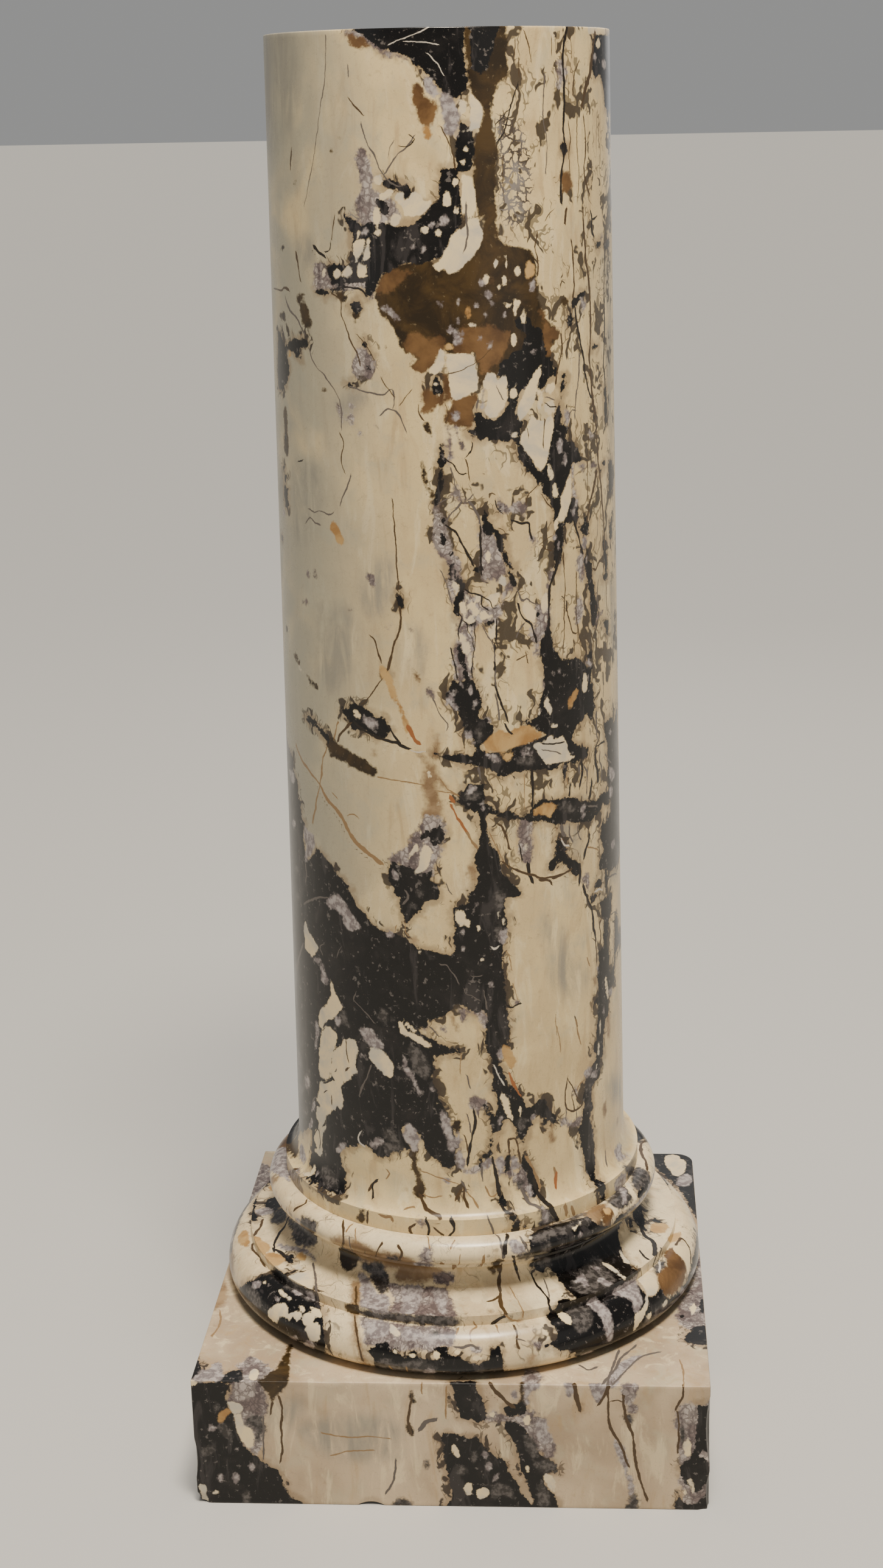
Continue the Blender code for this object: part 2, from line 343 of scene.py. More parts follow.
def shaft_shoulder_marks():
    """The brown and black patch and its surroundings, 1475 down to 1285 mm."""
    return [
        block(INK, (-18.5, 1452), (-14, 1456), (-9, 1452), (-5, 1455), (-2, 1462), (2, 1476), (11, 1476),
            (11, 1455), (9, 1448), (7, 1440), (6, 1428), (5, 1420), (1, 1416), (-3, 1415), (-8, 1413),
            (-12, 1408), (-15, 1402), (-16, 1395), (-17.5, 1386), (-20, 1378), (-21, 1385), (-21, 1395),
            (-19.5, 1405), (-18.5, 1420), (-18, 1440)),
        block(OLIVE, (-15, 1404), (-12, 1410), (-8, 1415), (-3, 1417), (1, 1418), (3, 1410), (6, 1406),
            (10, 1412), (14, 1423), (17, 1440), (18, 1460), (15.5, 1476), (21.5, 1476), (22, 1465),
            (22, 1440), (24, 1432), (28, 1430), (33, 1425), (35.5, 1415), (35.5, 1395), (36.5, 1372),
            (38, 1358), (42, 1345), (44.5, 1338), (44, 1330), (40, 1322), (40, 1312), (36, 1306),
            (30, 1300), (22, 1296), (15, 1283), (14.5, 1300), (13.8, 1320), (7, 1320), (5, 1322), (4, 1326),
            (2, 1322), (1, 1310), (-2, 1303), (-5, 1305), (-7, 1308), (-4.5, 1316), (-6, 1321),
            (-8.5, 1323), (-10, 1332), (-12, 1350), (-15, 1360), (-16.5, 1370), (-18, 1378), (-17, 1390)),
        patch(RUST, (-17.5, 1386), (-15, 1402), (-11, 1409), (-6, 1405), (-9, 1394), (-13, 1384)),
        patch(RUST, (-7, 1345), (-1, 1338), (4, 1340), (5, 1328), (2, 1318), (-1, 1305), (-5, 1304),
            (-6, 1310), (-4, 1318), (-8, 1326)),
        block(RUST, (10, 1350), (20, 1348), (26, 1340), (24, 1325), (22, 1310), (16, 1298), (14.5, 1312),
            (13.7, 1321), (7, 1322), (8, 1338)),
        block(RUST, (36.5, 1366), (38.2, 1358), (40.5, 1346), (44, 1341), (44, 1331), (41, 1328),
            (40, 1315), (38, 1313), (37.6, 1330), (37.5, 1345)),
        block(INK, (32, 1345), (36.8, 1345), (38, 1325), (38.5, 1312), (40, 1310), (42, 1303), (40, 1290),
            (38, 1280), (23, 1280), (21.5, 1298), (22, 1310), (26, 1318), (30, 1325)),
        block(INK, (27, 1352), (30, 1362), (33, 1352), (34, 1338), (28, 1344)),
        block(BONE, (8, 1443), (11, 1446), (12, 1456), (14, 1460), (16, 1458), (17, 1445), (16.5, 1430),
            (14, 1420), (11, 1412), (9, 1406), (6, 1404), (5, 1410), (3, 1406), (1, 1412), (4, 1420),
            (6, 1430), (7, 1440)),
        vein(2.0, GREY, (12.2, 1474), (12, 1460), (12.4, 1440), (11, 1425)),
        block(BONE, (11.2, 1476), (15, 1476), (15.5, 1464), (13, 1460), (11.6, 1462)),
        block(BONE, (-9, 1478), (-7, 1462), (-4, 1460), (0, 1467), (2, 1478)),
        pebble(BONE, -1, 1448, 2.6, 7),
        pebble(LILAC, 1.2, 1453, 2, 6),
        pebble(BONE, 3.3, 1445, 2.2, 8),
        pebble(LILAC, 5, 1457, 2.6, 11),
        pebble(BONE, 10, 1444, 3, 6),
        pebble(BONE, 9, 1467, 1.4, 10, 8),
        pebble(LILAC, -1.4, 1429, 1, 6),
        pebble(LILAC, -4.8, 1431, 1.4, 3, 30),
        pebble(BONE, -10.2, 1458, 3, 13, -12),
        pebble(BONE, -13.2, 1457, 1, 5),
        block(INK, (-27.5, 1462), (-25, 1459), (-22, 1453), (-18, 1455), (-17, 1440), (-18, 1415),
            (-19.5, 1396), (-26, 1394), (-31, 1391), (-34, 1394), (-36, 1410), (-33.5, 1414), (-29, 1411),
            (-26, 1413), (-25.5, 1425), (-25, 1440), (-26.5, 1452)),
        block(BONE, (-24.8, 1436), (-21, 1439), (-20.5, 1436), (-22.5, 1422), (-24, 1415), (-25, 1425)),
        block(BONE, (-19.6, 1441), (-18.5, 1441), (-19.3, 1418), (-21.6, 1417), (-20.5, 1428)),
        block(BONE, (-23, 1413), (-20, 1413), (-20, 1402), (-23, 1400), (-23.8, 1406)),
        block(BONE, (-27, 1412), (-25.5, 1409), (-25.5, 1402), (-28, 1398), (-29.2, 1404)),
        pebble(BONE, -31.6, 1403, 3.2, 10, 20),
        pebble(LILAC, -20.6, 1446, 2.4, 8),
        pebble(BONE, -16, 1446, 2, 7),
        pebble(BONE, -22.7, 1445, 1, 8, -20),
        pebble(BONE, -36.8, 1404, 2, 9),
        pebble(BONE, -16.2, 1463, 2.6, 18),
        patch(DOVE, (-41.5, 1412), (-38, 1417), (-36, 1412), (-34, 1398), (-30, 1398), (-22, 1398),
            (-19.5, 1391), (-17.5, 1380), (-20, 1379), (-21, 1388), (-30, 1388), (-36, 1386), (-41, 1388)),
        block(INK, (-41, 1384), (-38, 1387), (-35, 1385), (-32, 1389), (-28, 1391), (-28, 1388.5),
            (-33, 1384), (-37, 1380), (-39.4, 1381)),
        vein(1.5, BLACK, (-29, 1389.5), (-25, 1389), (-22, 1387), (-20.5, 1381)),
        block(INK, (-27, 1372), (-24.5, 1376), (-23, 1374), (-22.5, 1368), (-24, 1364), (-26, 1366)),
        block(OLIVE, (-26.2, 1364), (-23.2, 1363), (-25, 1354)),
        vein(1.5, UMBER, (-34, 1383), (-30.5, 1378), (-30, 1372), (-30, 1360), (-28, 1346), (-27, 1335),
            (-25, 1325), (-24, 1318), (-23.5, 1309)),
        block(OLIVE, (-33.5, 1383), (-30, 1384), (-28, 1379), (-28, 1375), (-30, 1374)),
        pebble(INK, -21.5, 1331, 1.6, 8, -28),
        pebble(INK, -19.6, 1322, 1.7, 6),
        pebble(OLIVE, -14.2, 1329, 1, 4),
        vein(1.0, UMBER, (-24.5, 1341), (-23, 1337), (-21.5, 1332), (-20, 1324), (-18.3, 1315)),
        patch(DOVE, (-24, 1326), (-21, 1326), (-18.5, 1316), (-19, 1300), (-21, 1295), (-26, 1299),
            (-25.5, 1312)),
        pebble(INK, -21, 1308, 1.6, 5),
        pebble(INK, -23.6, 1300, 2, 3),
        pebble(INK, -27.5, 1289, 3, 3),
        block(BONE, (3, 1328), (4.7, 1322), (4, 1310), (3, 1302), (1.5, 1300), (-1.5, 1303), (1.3, 1312)),
        block(BONE, (5.5, 1322), (8, 1321), (13.8, 1320), (14.5, 1300), (14.8, 1282), (11, 1276), (7, 1274),
            (6, 1283), (5.5, 1300), (4.7, 1310)),
        vein(0.9, UMBER, (5, 1301), (9, 1303), (12, 1308), (15, 1313), (17, 1318), (19.5, 1326)),
        block(INK, (1, 1298), (2.5, 1301), (2.8, 1292), (3.4, 1287), (3.2, 1280), (1, 1281), (-0.3, 1289)),
        pebble(BONE, 1.2, 1291, 1.4, 4),
        pebble(BONE, 3, 1295, 0.8, 4),
        pebble(BONE, 2.3, 1278, 1.2, 2.5),
        block(RUST, (3.5, 1302), (5, 1307), (5.8, 1290), (6.4, 1273), (4, 1271), (3.7, 1285)),
        pebble(HONEY, 5.6, 1329, 3.0, 7),
        patch(HONEY, (11.5, 1369), (12.4, 1370), (13, 1360), (11.6, 1357)),
        block(BONE, (11.8, 1352), (13, 1354), (15, 1350), (14.6, 1347), (12, 1349)),
        block(INK, (13, 1355.5), (15, 1356), (15.6, 1351), (14.3, 1351)),
        pebble(LILAC, 6.4, 1346, 2.0, 9, -10),
        pebble(LILAC, 8.0, 1342, 1.8, 10, 12),
        pebble(LILAC, 8.4, 1333, 2.6, 6),
        pebble(LILAC, 8.6, 1355, 1.6, 5),
        pebble(LILAC, 10, 1342, 1, 4),
        pebble(LILAC, 15.5, 1336, 1, 6),
        block(LILAC, (17.5, 1324), (18, 1330), (20, 1334), (19.4, 1327)),
        pebble(RUST, 20, 1395, 2, 8),
        pebble(BONE, 26.8, 1334, 1.7, 15, 8),
        block(BONE, (27, 1377), (29.6, 1373), (28, 1360), (27.2, 1356)),
        pebble(BONE, 24.5, 1415, 1.1, 17, 3),
        pebble(BONE, 21.4, 1414, 1.0, 13, -14),
        pebble(BONE, 18, 1397, 2, 9),
        pebble(LILAC, 16.4, 1393, 1.6, 6),
        pebble(BONE, 24, 1394, 1.4, 11, 10),
        pebble(BONE, 22.3, 1388, 1.4, 6),
        pebble(LILAC, 18.8, 1381, 1.6, 6),
        pebble(BONE, 25.2, 1369, 1.6, 4),
        pebble(BONE, 23.5, 1371, 1, 5),
        pebble(LILAC, 20, 1371, 0.9, 4),
        pebble(LILAC, 18, 1361, 0.9, 5),
        pebble(LILAC, 23.5, 1358, 1, 5),
        pebble(BONE, 28.6, 1404, 2.2, 9),
        pebble(LILAC, 14.5, 1370, 1.2, 6),
        pebble(LILAC, 9, 1374, 1.6, 6),
        pebble(LILAC, 3.3, 1374, 2.6, 4),
        block(LILAC, (-15.5, 1369), (-13.5, 1370), (-9.5, 1357), (-11, 1357)),
        block(LILAC, (33, 1393), (34.8, 1396), (34.8, 1384), (33.3, 1383)),
        pebble(BONE, 31, 1362, 1.3, 13),
        block(BONE, (29, 1359), (30, 1360), (31.2, 1351), (30, 1350)),
        pebble(LILAC, 34, 1319, 1.4, 5),
        pebble(BONE, 28, 1288, 1, 5),
        patch(HONEY, (31.5, 1410), (33, 1414), (34.8, 1408), (34.5, 1398), (32, 1395), (31.2, 1402)),
        block(BONE, (17.5, 1300), (20, 1299), (21, 1292), (24, 1297), (24.6, 1283), (18, 1281), (16, 1286)),
        block(BONE, (36.9, 1305), (36.5, 1295), (35, 1282), (30.5, 1280), (32.5, 1291), (34.5, 1298)),
        vein(2.0, UMBER, (36, 1441), (35.2, 1425), (36, 1413), (35.8, 1398)),
        vein(1.2, UMBER, (43, 1465), (41, 1460), (39.3, 1453)),
        vein(2.6, UMBER, (48.5, 1465), (47.6, 1449)),
        vein(2.2, UMBER, (50.5, 1432), (51.2, 1415), (51.5, 1395), (51.7, 1385), (51, 1371)),
        vein(2.6, BLACK, (52, 1362), (52.2, 1350), (53.5, 1335), (54.5, 1322), (56, 1308), (56.5, 1296),
            (57.5, 1283), (58.7, 1272), (60.3, 1262)),
        vein(3.6, UMBER, (57, 1464), (57.3, 1440), (58, 1425), (58, 1410), (59, 1400), (60, 1385),
            (60.5, 1365), (60.7, 1340), (60.3, 1320), (59.5, 1305), (60.3, 1285), (60.8, 1270),
            (61.5, 1255), (62.5, 1245), (63, 1235), (63.8, 1220), (64.3, 1205), (64.5, 1190), (65.5, 1180),
            (66.5, 1165), (67, 1150), (67.8, 1135), (68.3, 1120), (69, 1105), (69, 1090)),
        vein(3.0, BLACK, (61.7, 1460), (62.5, 1450), (62.1, 1441), (63.8, 1433)),
        vein(2.0, BLACK, (62.5, 1452), (64, 1451), (66, 1454)),
        block(INK, (65, 1428), (68.5, 1427), (69, 1421), (66, 1420)),
        pebble(DOVE, 70, 1432, 3, 6),
        block(INK, (71.3, 1422), (73, 1425), (79, 1429), (79, 1422), (73.5, 1414)),
        vein(3.4, BLACK, (73.3, 1420), (72.6, 1400), (71.6, 1380), (72, 1350), (71.6, 1330), (71, 1310),
            (70, 1295), (71, 1285), (71.5, 1265), (72, 1245), (72, 1230)),
        block(INK, (69.3, 1272), (73, 1268), (73.5, 1248), (72.5, 1230), (70.5, 1238), (70.8, 1255)),
        patch(MIST_AND_SHADE, (73, 1415), (80, 1400), (82, 1300), (78, 1200), (73, 1240), (73, 1340)),
        block(INK, (60.2, 1313), (61, 1319), (66, 1316.5), (63, 1314)),
        block(INK, (50.5, 1370), (53, 1371), (55, 1376), (57.3, 1378), (57.5, 1373), (55, 1370), (53, 1366),
            (51.5, 1362), (50.5, 1360), (50.3, 1366)),
        block(INK, (48, 1356), (50, 1358), (50.5, 1352.5), (52, 1352.5), (51.5, 1349), (50, 1346),
            (49, 1340), (47.8, 1346)),
        block(LILAC, (55, 1370), (58, 1366), (58, 1362), (55.5, 1353)),
        patch(OLIVE, (45, 1370), (47, 1375), (48.7, 1368), (46.5, 1364)),
        vein(1.4, UMBER, (45.8, 1391), (45, 1384)),
        vein(1.2, UMBER, (50, 1407), (48.5, 1394)),
        vein(2.4, UMBER, (45, 1336), (45.5, 1320), (44, 1305), (43, 1295), (42.3, 1283)),
        block(INK, (40, 1303), (43, 1300), (42.5, 1292), (41.5, 1289)),
        pebble(INK, 46.2, 1289, 2, 7),
        vein(1.8, GREY, (53.7, 1312), (53.5, 1300), (53, 1283), (51.6, 1265), (51, 1243)),
        pebble(OLIVE, -60, 1427, 3.6, 5, 20),
        vein(2.4, UMBER, (-50.6, 1423), (-49.5, 1410), (-48.6, 1394)),
        vein(2.4, UMBER, (-72, 1382), (-66, 1381), (-62, 1381), (-60, 1385), (-56, 1383)),
        vein(3.0, BLACK, (-41, 1431), (-39, 1425), (-36, 1420)),
        vein(2.0, BLACK, (-33.5, 1436), (-34, 1427), (-36, 1425)),
        vein(1.3, UMBER, (-31.5, 1463), (-32.5, 1450), (-33.2, 1438)),
        patch(MIST_AND_SHADE, (-47, 1440), (-41, 1436), (-40, 1410), (-45, 1405), (-50, 1425)),
        block(OLIVE, (-50.8, 1380), (-46, 1380), (-47, 1375), (-48.5, 1374), (-49.3, 1368), (-50.6, 1373)),
        patch(OLIVE, (-49, 1369), (-45.5, 1369), (-44, 1355), (-43, 1349), (-46, 1345), (-48.3, 1350)),
        vein(2.2, GREY, (-59, 1375), (-58, 1369), (-56, 1362), (-52, 1355), (-49, 1345), (-47, 1338)),
        patch(OLIVE, (-65, 1355), (-60, 1359), (-59, 1346), (-57.5, 1340), (-56.6, 1329), (-58.5, 1335),
            (-60, 1346), (-64, 1350)),
        block(INK, (-68, 1336), (-65, 1336), (-63, 1330), (-60, 1323), (-57, 1325), (-54, 1334),
            (-51, 1331), (-48, 1330), (-47, 1336), (-46, 1332), (-45.3, 1325), (-48, 1327), (-50, 1321),
            (-49.3, 1307), (-51, 1312), (-55, 1319), (-58, 1320), (-59.3, 1312), (-57.6, 1300),
            (-58.3, 1292), (-61, 1281), (-64, 1272), (-70, 1273), (-70.5, 1290), (-69, 1310)),
        pebble(HONEY, -57.3, 1314, 2, 7),
        vein(1.4, GREY, (-45.2, 1324), (-43.5, 1312), (-41, 1303), (-38.5, 1298), (-36, 1289),
            (-33.5, 1281), (-31.6, 1270), (-31, 1255), (-31.5, 1240)),
    ]


def shaft_upper_marks():
    """The black clefts right of the middle, 1285 down to 1100 mm."""
    return [
        block(RUST, (-3.8, 1281), (-1, 1285), (2, 1278), (4, 1285), (4.5, 1272), (2, 1268), (-0.5, 1262),
            (-4, 1260), (-3, 1270)),
        vein(1.6, UMBER, (-4.2, 1268), (-4.2, 1260), (-2.8, 1253)),
        block(OLIVE, (-2.8, 1249), (-1.5, 1252), (-0.5, 1244), (-0.3, 1236), (-1.5, 1238), (-2.6, 1242)),
        block(RUST, (6.5, 1276), (9, 1276), (13, 1282), (15, 1281), (14.5, 1268), (13.2, 1262),
            (13.2, 1242), (11, 1243), (8, 1247), (5.5, 1249), (3.9, 1251), (4.6, 1262), (6.2, 1268)),
        pebble(LILAC, 7.2, 1257, 2.4, 8),
        pebble(BONE, 5.6, 1268, 1, 9),
        vein(1.2, UMBER, (4.2, 1269), (5, 1258), (4.2, 1249)),
        block(INK, (13.2, 1262), (15.5, 1261), (16.3, 1256), (18, 1252), (20, 1250), (22, 1255),
            (23.5, 1262), (24.2, 1270), (25, 1285), (30, 1285), (28, 1270), (27.3, 1258), (28, 1248),
            (30, 1247), (29, 1241), (28.5, 1236), (29, 1226), (31, 1212), (33, 1204), (34, 1197),
            (36, 1192), (38, 1200), (39, 1215), (40.4, 1230), (41.2, 1244), (42, 1252), (43.4, 1262),
            (44.5, 1272), (43.5, 1284), (48, 1284), (45.4, 1272), (44.4, 1260), (45.2, 1246), (44.2, 1239),
            (47.5, 1235), (46.5, 1226), (47, 1221), (50, 1219), (51, 1213), (53, 1202), (54, 1198),
            (56, 1195), (52, 1196), (49, 1195), (48.5, 1188), (46.5, 1178), (45, 1168), (44, 1160),
            (44, 1150), (43.5, 1143), (42, 1146), (40, 1151), (39.6, 1160), (36.2, 1166), (36, 1180),
            (34.4, 1176), (34, 1185), (31.5, 1192), (29, 1202), (27.3, 1210), (27.2, 1218), (25.6, 1228),
            (24, 1227), (22, 1229), (19, 1231), (15, 1231), (13, 1233), (11, 1238), (10.5, 1241),
            (13, 1243)),
        block(BONE, (17.5, 1285), (24.4, 1285), (24, 1270), (23, 1262), (20, 1252), (17.5, 1254),
            (16.4, 1258), (17.3, 1268)),
        vein(1.0, GREY, (20.5, 1286), (21.6, 1279), (22.8, 1271)),
        pebble(BONE, 26.5, 1278, 2.6, 12),
        pebble(BONE, 26.4, 1233, 3, 5),
        block(LILAC, (15.5, 1284), (17, 1284), (16.4, 1262), (15.2, 1262)),
        vein(1.6, GREY, (14.8, 1274), (14, 1262)),
        block(BONE, (34.4, 1286), (35, 1276), (33.5, 1264), (31, 1254), (28.5, 1248), (27.6, 1258),
            (28.2, 1268), (30, 1277), (31.5, 1286)),
        block(BONE, (35.5, 1278), (37.5, 1277), (37, 1266), (35.5, 1257), (34.8, 1262), (35.5, 1270)),
        block(BONE, (38.2, 1284), (42, 1286), (42.4, 1278), (40, 1273), (38, 1277)),
        block(BONE, (37.4, 1262), (41, 1268), (42, 1260), (42.4, 1254), (40, 1252), (37.7, 1255)),
        vein(1.4, BLACK, (38, 1264), (40, 1260), (42.4, 1259)),
        vein(1.3, GREY, (38.3, 1271), (41.8, 1266)),
        block(BONE, (31.5, 1249), (33, 1254), (35, 1247), (37.5, 1245), (40, 1250), (41.3, 1245),
            (41, 1234), (39.7, 1222), (39, 1208), (37.8, 1198), (36, 1191), (34, 1196), (32.5, 1207),
            (30, 1216), (28.2, 1224), (28.7, 1232), (31, 1240)),
        vein(1.4, UMBER, (37.8, 1247), (37.3, 1232), (37, 1217)),
        vein(1.0, UMBER, (31, 1239), (31.5, 1229)),
        pebble(LILAC, 43.8, 1216, 2.2, 17),
        pebble(LILAC, 45.9, 1202, 1.9, 13),
        pebble(DOVE, 42.5, 1247, 1.6, 8),
        block(BONE, (38.7, 1200), (39.7, 1196), (41, 1185), (41, 1180), (39.6, 1180), (38.7, 1188)),
        block(BONE, (41, 1179), (42, 1175), (43, 1163), (42, 1160), (40.5, 1163), (40.5, 1172)),
        block(LILAC, (46, 1256), (48, 1252), (48.5, 1243), (46.8, 1237), (45.7, 1246)),
        vein(1.6, GREY, (48, 1246), (49, 1252), (51.5, 1252)),
        block(INK, (46.6, 1148), (48.5, 1158), (50, 1158), (51.5, 1150), (52, 1138), (52, 1128),
            (53.5, 1122), (56, 1135), (57.6, 1129), (57.3, 1112), (54.5, 1113), (53, 1119), (50, 1130),
            (47, 1131), (45, 1132), (46, 1139)),
        pebble(LILAC, 49.6, 1141, 1, 9),
        pebble(LILAC, 51.4, 1152, 1, 9),
        block(BONE, (49, 1186), (48.7, 1165), (48, 1150), (46, 1139), (44.5, 1134), (44.2, 1148),
            (43.7, 1160), (45.5, 1168), (47, 1179)),
        block(DOVE, (49, 1195), (50.6, 1195), (50.5, 1170), (51.3, 1158), (49.4, 1158), (49, 1178)),
        pebble(INK, 62.6, 1242, 2.4, 10),
        patch(DOVE, (57.8, 1229), (59, 1227), (61, 1222), (59, 1219), (58.3, 1221)),
        vein(1.4, UMBER, (58.5, 1222), (58.1, 1210), (57.5, 1190), (57.4, 1165), (57, 1150)),
        block(DOVE, (52, 1195), (56, 1192), (64, 1189), (64, 1183), (60, 1186), (56, 1186), (54, 1181)),
        vein(4.0, UMBER, (63.7, 1182), (62, 1170), (60.5, 1158), (58.5, 1148), (57.7, 1139), (56.8, 1128)),
        block(INK, (64.3, 1182), (67, 1180), (67, 1176), (65.5, 1176)),
        pebble(INK, 69.3, 1186, 3, 4),
        block(INK, (73.8, 1188), (80, 1186), (80, 1150), (74, 1150)),
        block(INK, (73, 1121), (77, 1114), (78, 1098), (75, 1096)),
        vein(1.6, UMBER, (66, 1278), (68, 1282), (70, 1284)),
        vein(1.0, GREY, (64, 1128), (63, 1108), (62, 1092), (60, 1082)),
        block(INK, (40, 1148), (42.5, 1145), (44.3, 1130), (44.8, 1110), (44, 1092), (42, 1082),
            (40.6, 1078), (41, 1090), (40.3, 1100), (40, 1110), (41.2, 1120)),
        pebble(BONE, 43.3, 1139, 1.3, 14, -10),
        pebble(BONE, 41.4, 1130, 1.5, 12),
        pebble(LILAC, 42.6, 1107, 1.4, 11, 12),
        block(LILAC, (40, 1118), (41, 1122), (41.6, 1116), (40.4, 1112)),
        vein(2.6, BLACK, (49.8, 1131), (51, 1120), (52.2, 1112), (53, 1102), (54.2, 1093)),
        patch(LILAC, (53.5, 1112), (56, 1111), (56.5, 1102), (54.5, 1098)),
        vein(2.4, BLACK, (25, 1142), (28, 1138), (30.8, 1137), (31.3, 1128), (32, 1120)),
        patch(DOVE, (31, 1124), (33.4, 1120), (33, 1110), (31.4, 1110)),
        vein(0.9, UMBER, (34.7, 1112), (37, 1116), (40, 1120)),
        vein(1.4, UMBER, (36, 1111), (37.2, 1106), (39.6, 1104)),
        vein(1.2, UMBER, (30, 1157), (31, 1168), (33, 1173), (34.4, 1177)),
        vein(1.2, UMBER, (36, 1167), (38, 1157), (40, 1150)),
        patch(DOVE, (26, 1160), (29, 1160), (30.5, 1150), (29, 1143), (27.5, 1150), (25, 1152)),
        block(INK, (2.7, 1225), (3.5, 1220), (4.3, 1213), (4, 1206), (3.2, 1203), (1.6, 1203), (1.5, 1212),
            (1.8, 1220)),
        block(INK, (1.8, 1204), (3.1, 1202), (3, 1190), (2.3, 1178), (1.6, 1170), (1, 1161), (0, 1161),
            (0.7, 1172), (1, 1182), (1.3, 1194)),
        patch(OLIVE, (-4, 1208), (-3, 1200), (-1, 1182), (0, 1172), (-1.5, 1172), (-3.3, 1188)),
        block(DOVE, (4.5, 1245), (5.2, 1244), (6.2, 1228), (6.5, 1212), (5, 1206), (4.1, 1208),
            (4.5, 1222)),
        block(DOVE, (6.8, 1247), (8, 1246), (8.5, 1236), (9.5, 1222), (8.5, 1221), (7.5, 1235)),
        vein(1.6, BLACK, (4.3, 1210), (6, 1206), (7.5, 1198), (9, 1194), (10.3, 1196)),
        vein(1.3, BLACK, (12.5, 1228), (12, 1219), (10.4, 1213)),
        vein(1.3, UMBER, (10.3, 1211), (11, 1200), (11.3, 1188)),
        vein(1.4, GREY, (5.5, 1202), (6.5, 1188), (7, 1178)),
        block(DOVE, (6, 1182), (7.5, 1181), (9, 1172), (11.2, 1166), (10, 1162), (8, 1166), (6, 1169),
            (4.8, 1170)),
        vein(1.2, GREY, (10.5, 1166), (12.6, 1173)),
        vein(1.1, GREY, (5.4, 1170), (3.4, 1168), (1.2, 1164)),
        vein(2.0, GREY, (8.5, 1165), (7, 1158), (5, 1152), (4, 1146), (3, 1140)),
        vein(2.6, GREY, (11, 1165), (12.6, 1158), (13.8, 1150), (14.3, 1140)),
        block(DOVE, (-0.6, 1161), (1, 1164), (2.5, 1155), (2, 1146), (4.2, 1141), (3.6, 1130), (5, 1118),
            (6.4, 1108), (8, 1094), (8, 1080), (5, 1055), (3.6, 1080), (3.8, 1098), (3, 1103), (0.4, 1112),
            (-0.8, 1120), (-0.6, 1132), (-0.2, 1145)),
        pebble(INK, -0.2, 1131, 1, 4),
        pebble(INK, 2.4, 1130, 1.6, 4),
        pebble(INK, 2.8, 1123, 1.6, 6),
        pebble(INK, 5.2, 1109, 1.4, 7),
        pebble(INK, 2.2, 1144, 1, 7, -15),
        vein(2.4, BLACK, (3, 1142), (4.5, 1138), (7, 1131), (8, 1122), (9.5, 1113), (11, 1103), (12, 1096)),
        block(INK, (15.3, 1158), (16.2, 1154), (17.2, 1142), (19, 1136), (20.8, 1133), (22, 1118),
            (23, 1104), (25, 1092), (25.6, 1076), (26.2, 1067), (24.6, 1070), (23.4, 1086), (22.5, 1096),
            (21.5, 1105), (20, 1118), (19, 1129), (17, 1126), (15.5, 1130), (15, 1143)),
        block(DOVE, (14.3, 1142), (17, 1133), (19, 1128), (20, 1115), (21.6, 1100), (23, 1086), (21, 1080),
            (19, 1079), (15, 1080), (14.3, 1092), (14.2, 1118)),
        vein(2.2, BLACK, (14.5, 1140), (14.5, 1120), (14.4, 1100), (14.5, 1085)),
        block(BONE, (16.2, 1117), (17.6, 1106), (17, 1098), (15.9, 1104)),
        block(LILAC, (18, 1126), (19, 1120), (18.5, 1108), (17.3, 1112)),
        block(INK, (10.5, 1097), (13, 1094), (15, 1092), (14, 1088), (11.6, 1090)),
        block(DOVE, (19.4, 1167), (21, 1164), (24.5, 1155), (24, 1150), (21, 1151), (20, 1156)),
        pebble(INK, 20.9, 1155, 1.6, 5, 30),
        vein(1.2, BLACK, (19.5, 1166), (19.7, 1160), (20.4, 1155), (22, 1150)),
        vein(1.2, UMBER, (17.6, 1168), (17.8, 1173), (19.4, 1171)),
        vein(1.0, UMBER, (20.4, 1134), (22.4, 1131), (23.4, 1121)),
        vein(1.4, UMBER, (-13.6, 1168), (-13.3, 1150), (-13, 1130), (-12.7, 1110), (-12.8, 1095),
            (-12.3, 1080), (-12.4, 1068)),
        vein(2.0, GREY, (-17, 1257), (-15.5, 1262), (-14, 1264), (-11.5, 1262), (-10.5, 1257), (-9.5, 1250),
            (-8.3, 1240)),
        vein(1.5, GREY, (-27.5, 1286), (-21, 1281), (-16, 1279), (-13, 1285)),
        vein(1.6, GREY, (-12.5, 1284), (-12, 1276), (-12.5, 1265)),
        vein(1.0, UMBER, (-10.5, 1268), (-8.5, 1276), (-6.3, 1285)),
        vein(1.0, UMBER, (-16.3, 1297), (-15, 1289), (-12, 1277)),
        patch(MIST_AND_SHADE, (-28, 1282), (-20, 1276), (-26, 1262), (-30, 1248), (-34, 1262)),
        pebble(DOVE, -24.2, 1238, 1.2, 5),
        pebble(DOVE, -18.7, 1248, 1.2, 3),
        vein(1.4, GREY, (-28, 1192), (-29.5, 1180), (-31.5, 1168), (-33, 1158)),
        patch(DOVE, (-33, 1266), (-31, 1262), (-30.4, 1254), (-32, 1252)),
        pebble(DOVE, -27.6, 1253, 1.8, 5),
        pebble(DOVE, -27.5, 1265, 1.6, 5),
        pebble(OLIVE, -37.5, 1281, 2, 4),
        vein(1.2, UMBER, (-32, 1236), (-30.7, 1225), (-31.8, 1210), (-30.6, 1193)),
        patch(HONEY, (-37.4, 1131), (-36.3, 1139), (-34.5, 1137), (-33, 1128), (-31.9, 1121), (-32.3, 1114),
            (-34, 1115), (-35.6, 1124)),
        vein(2.0, BLACK, (-53.4, 1199), (-52, 1200), (-50.3, 1201.5)),
        vein(1.6, GREY, (-50, 1132), (-47, 1139), (-45, 1135), (-42, 1133)),
        vein(1.4, GREY, (-48, 1149), (-45, 1146), (-42, 1149), (-38, 1146), (-35.5, 1149)),
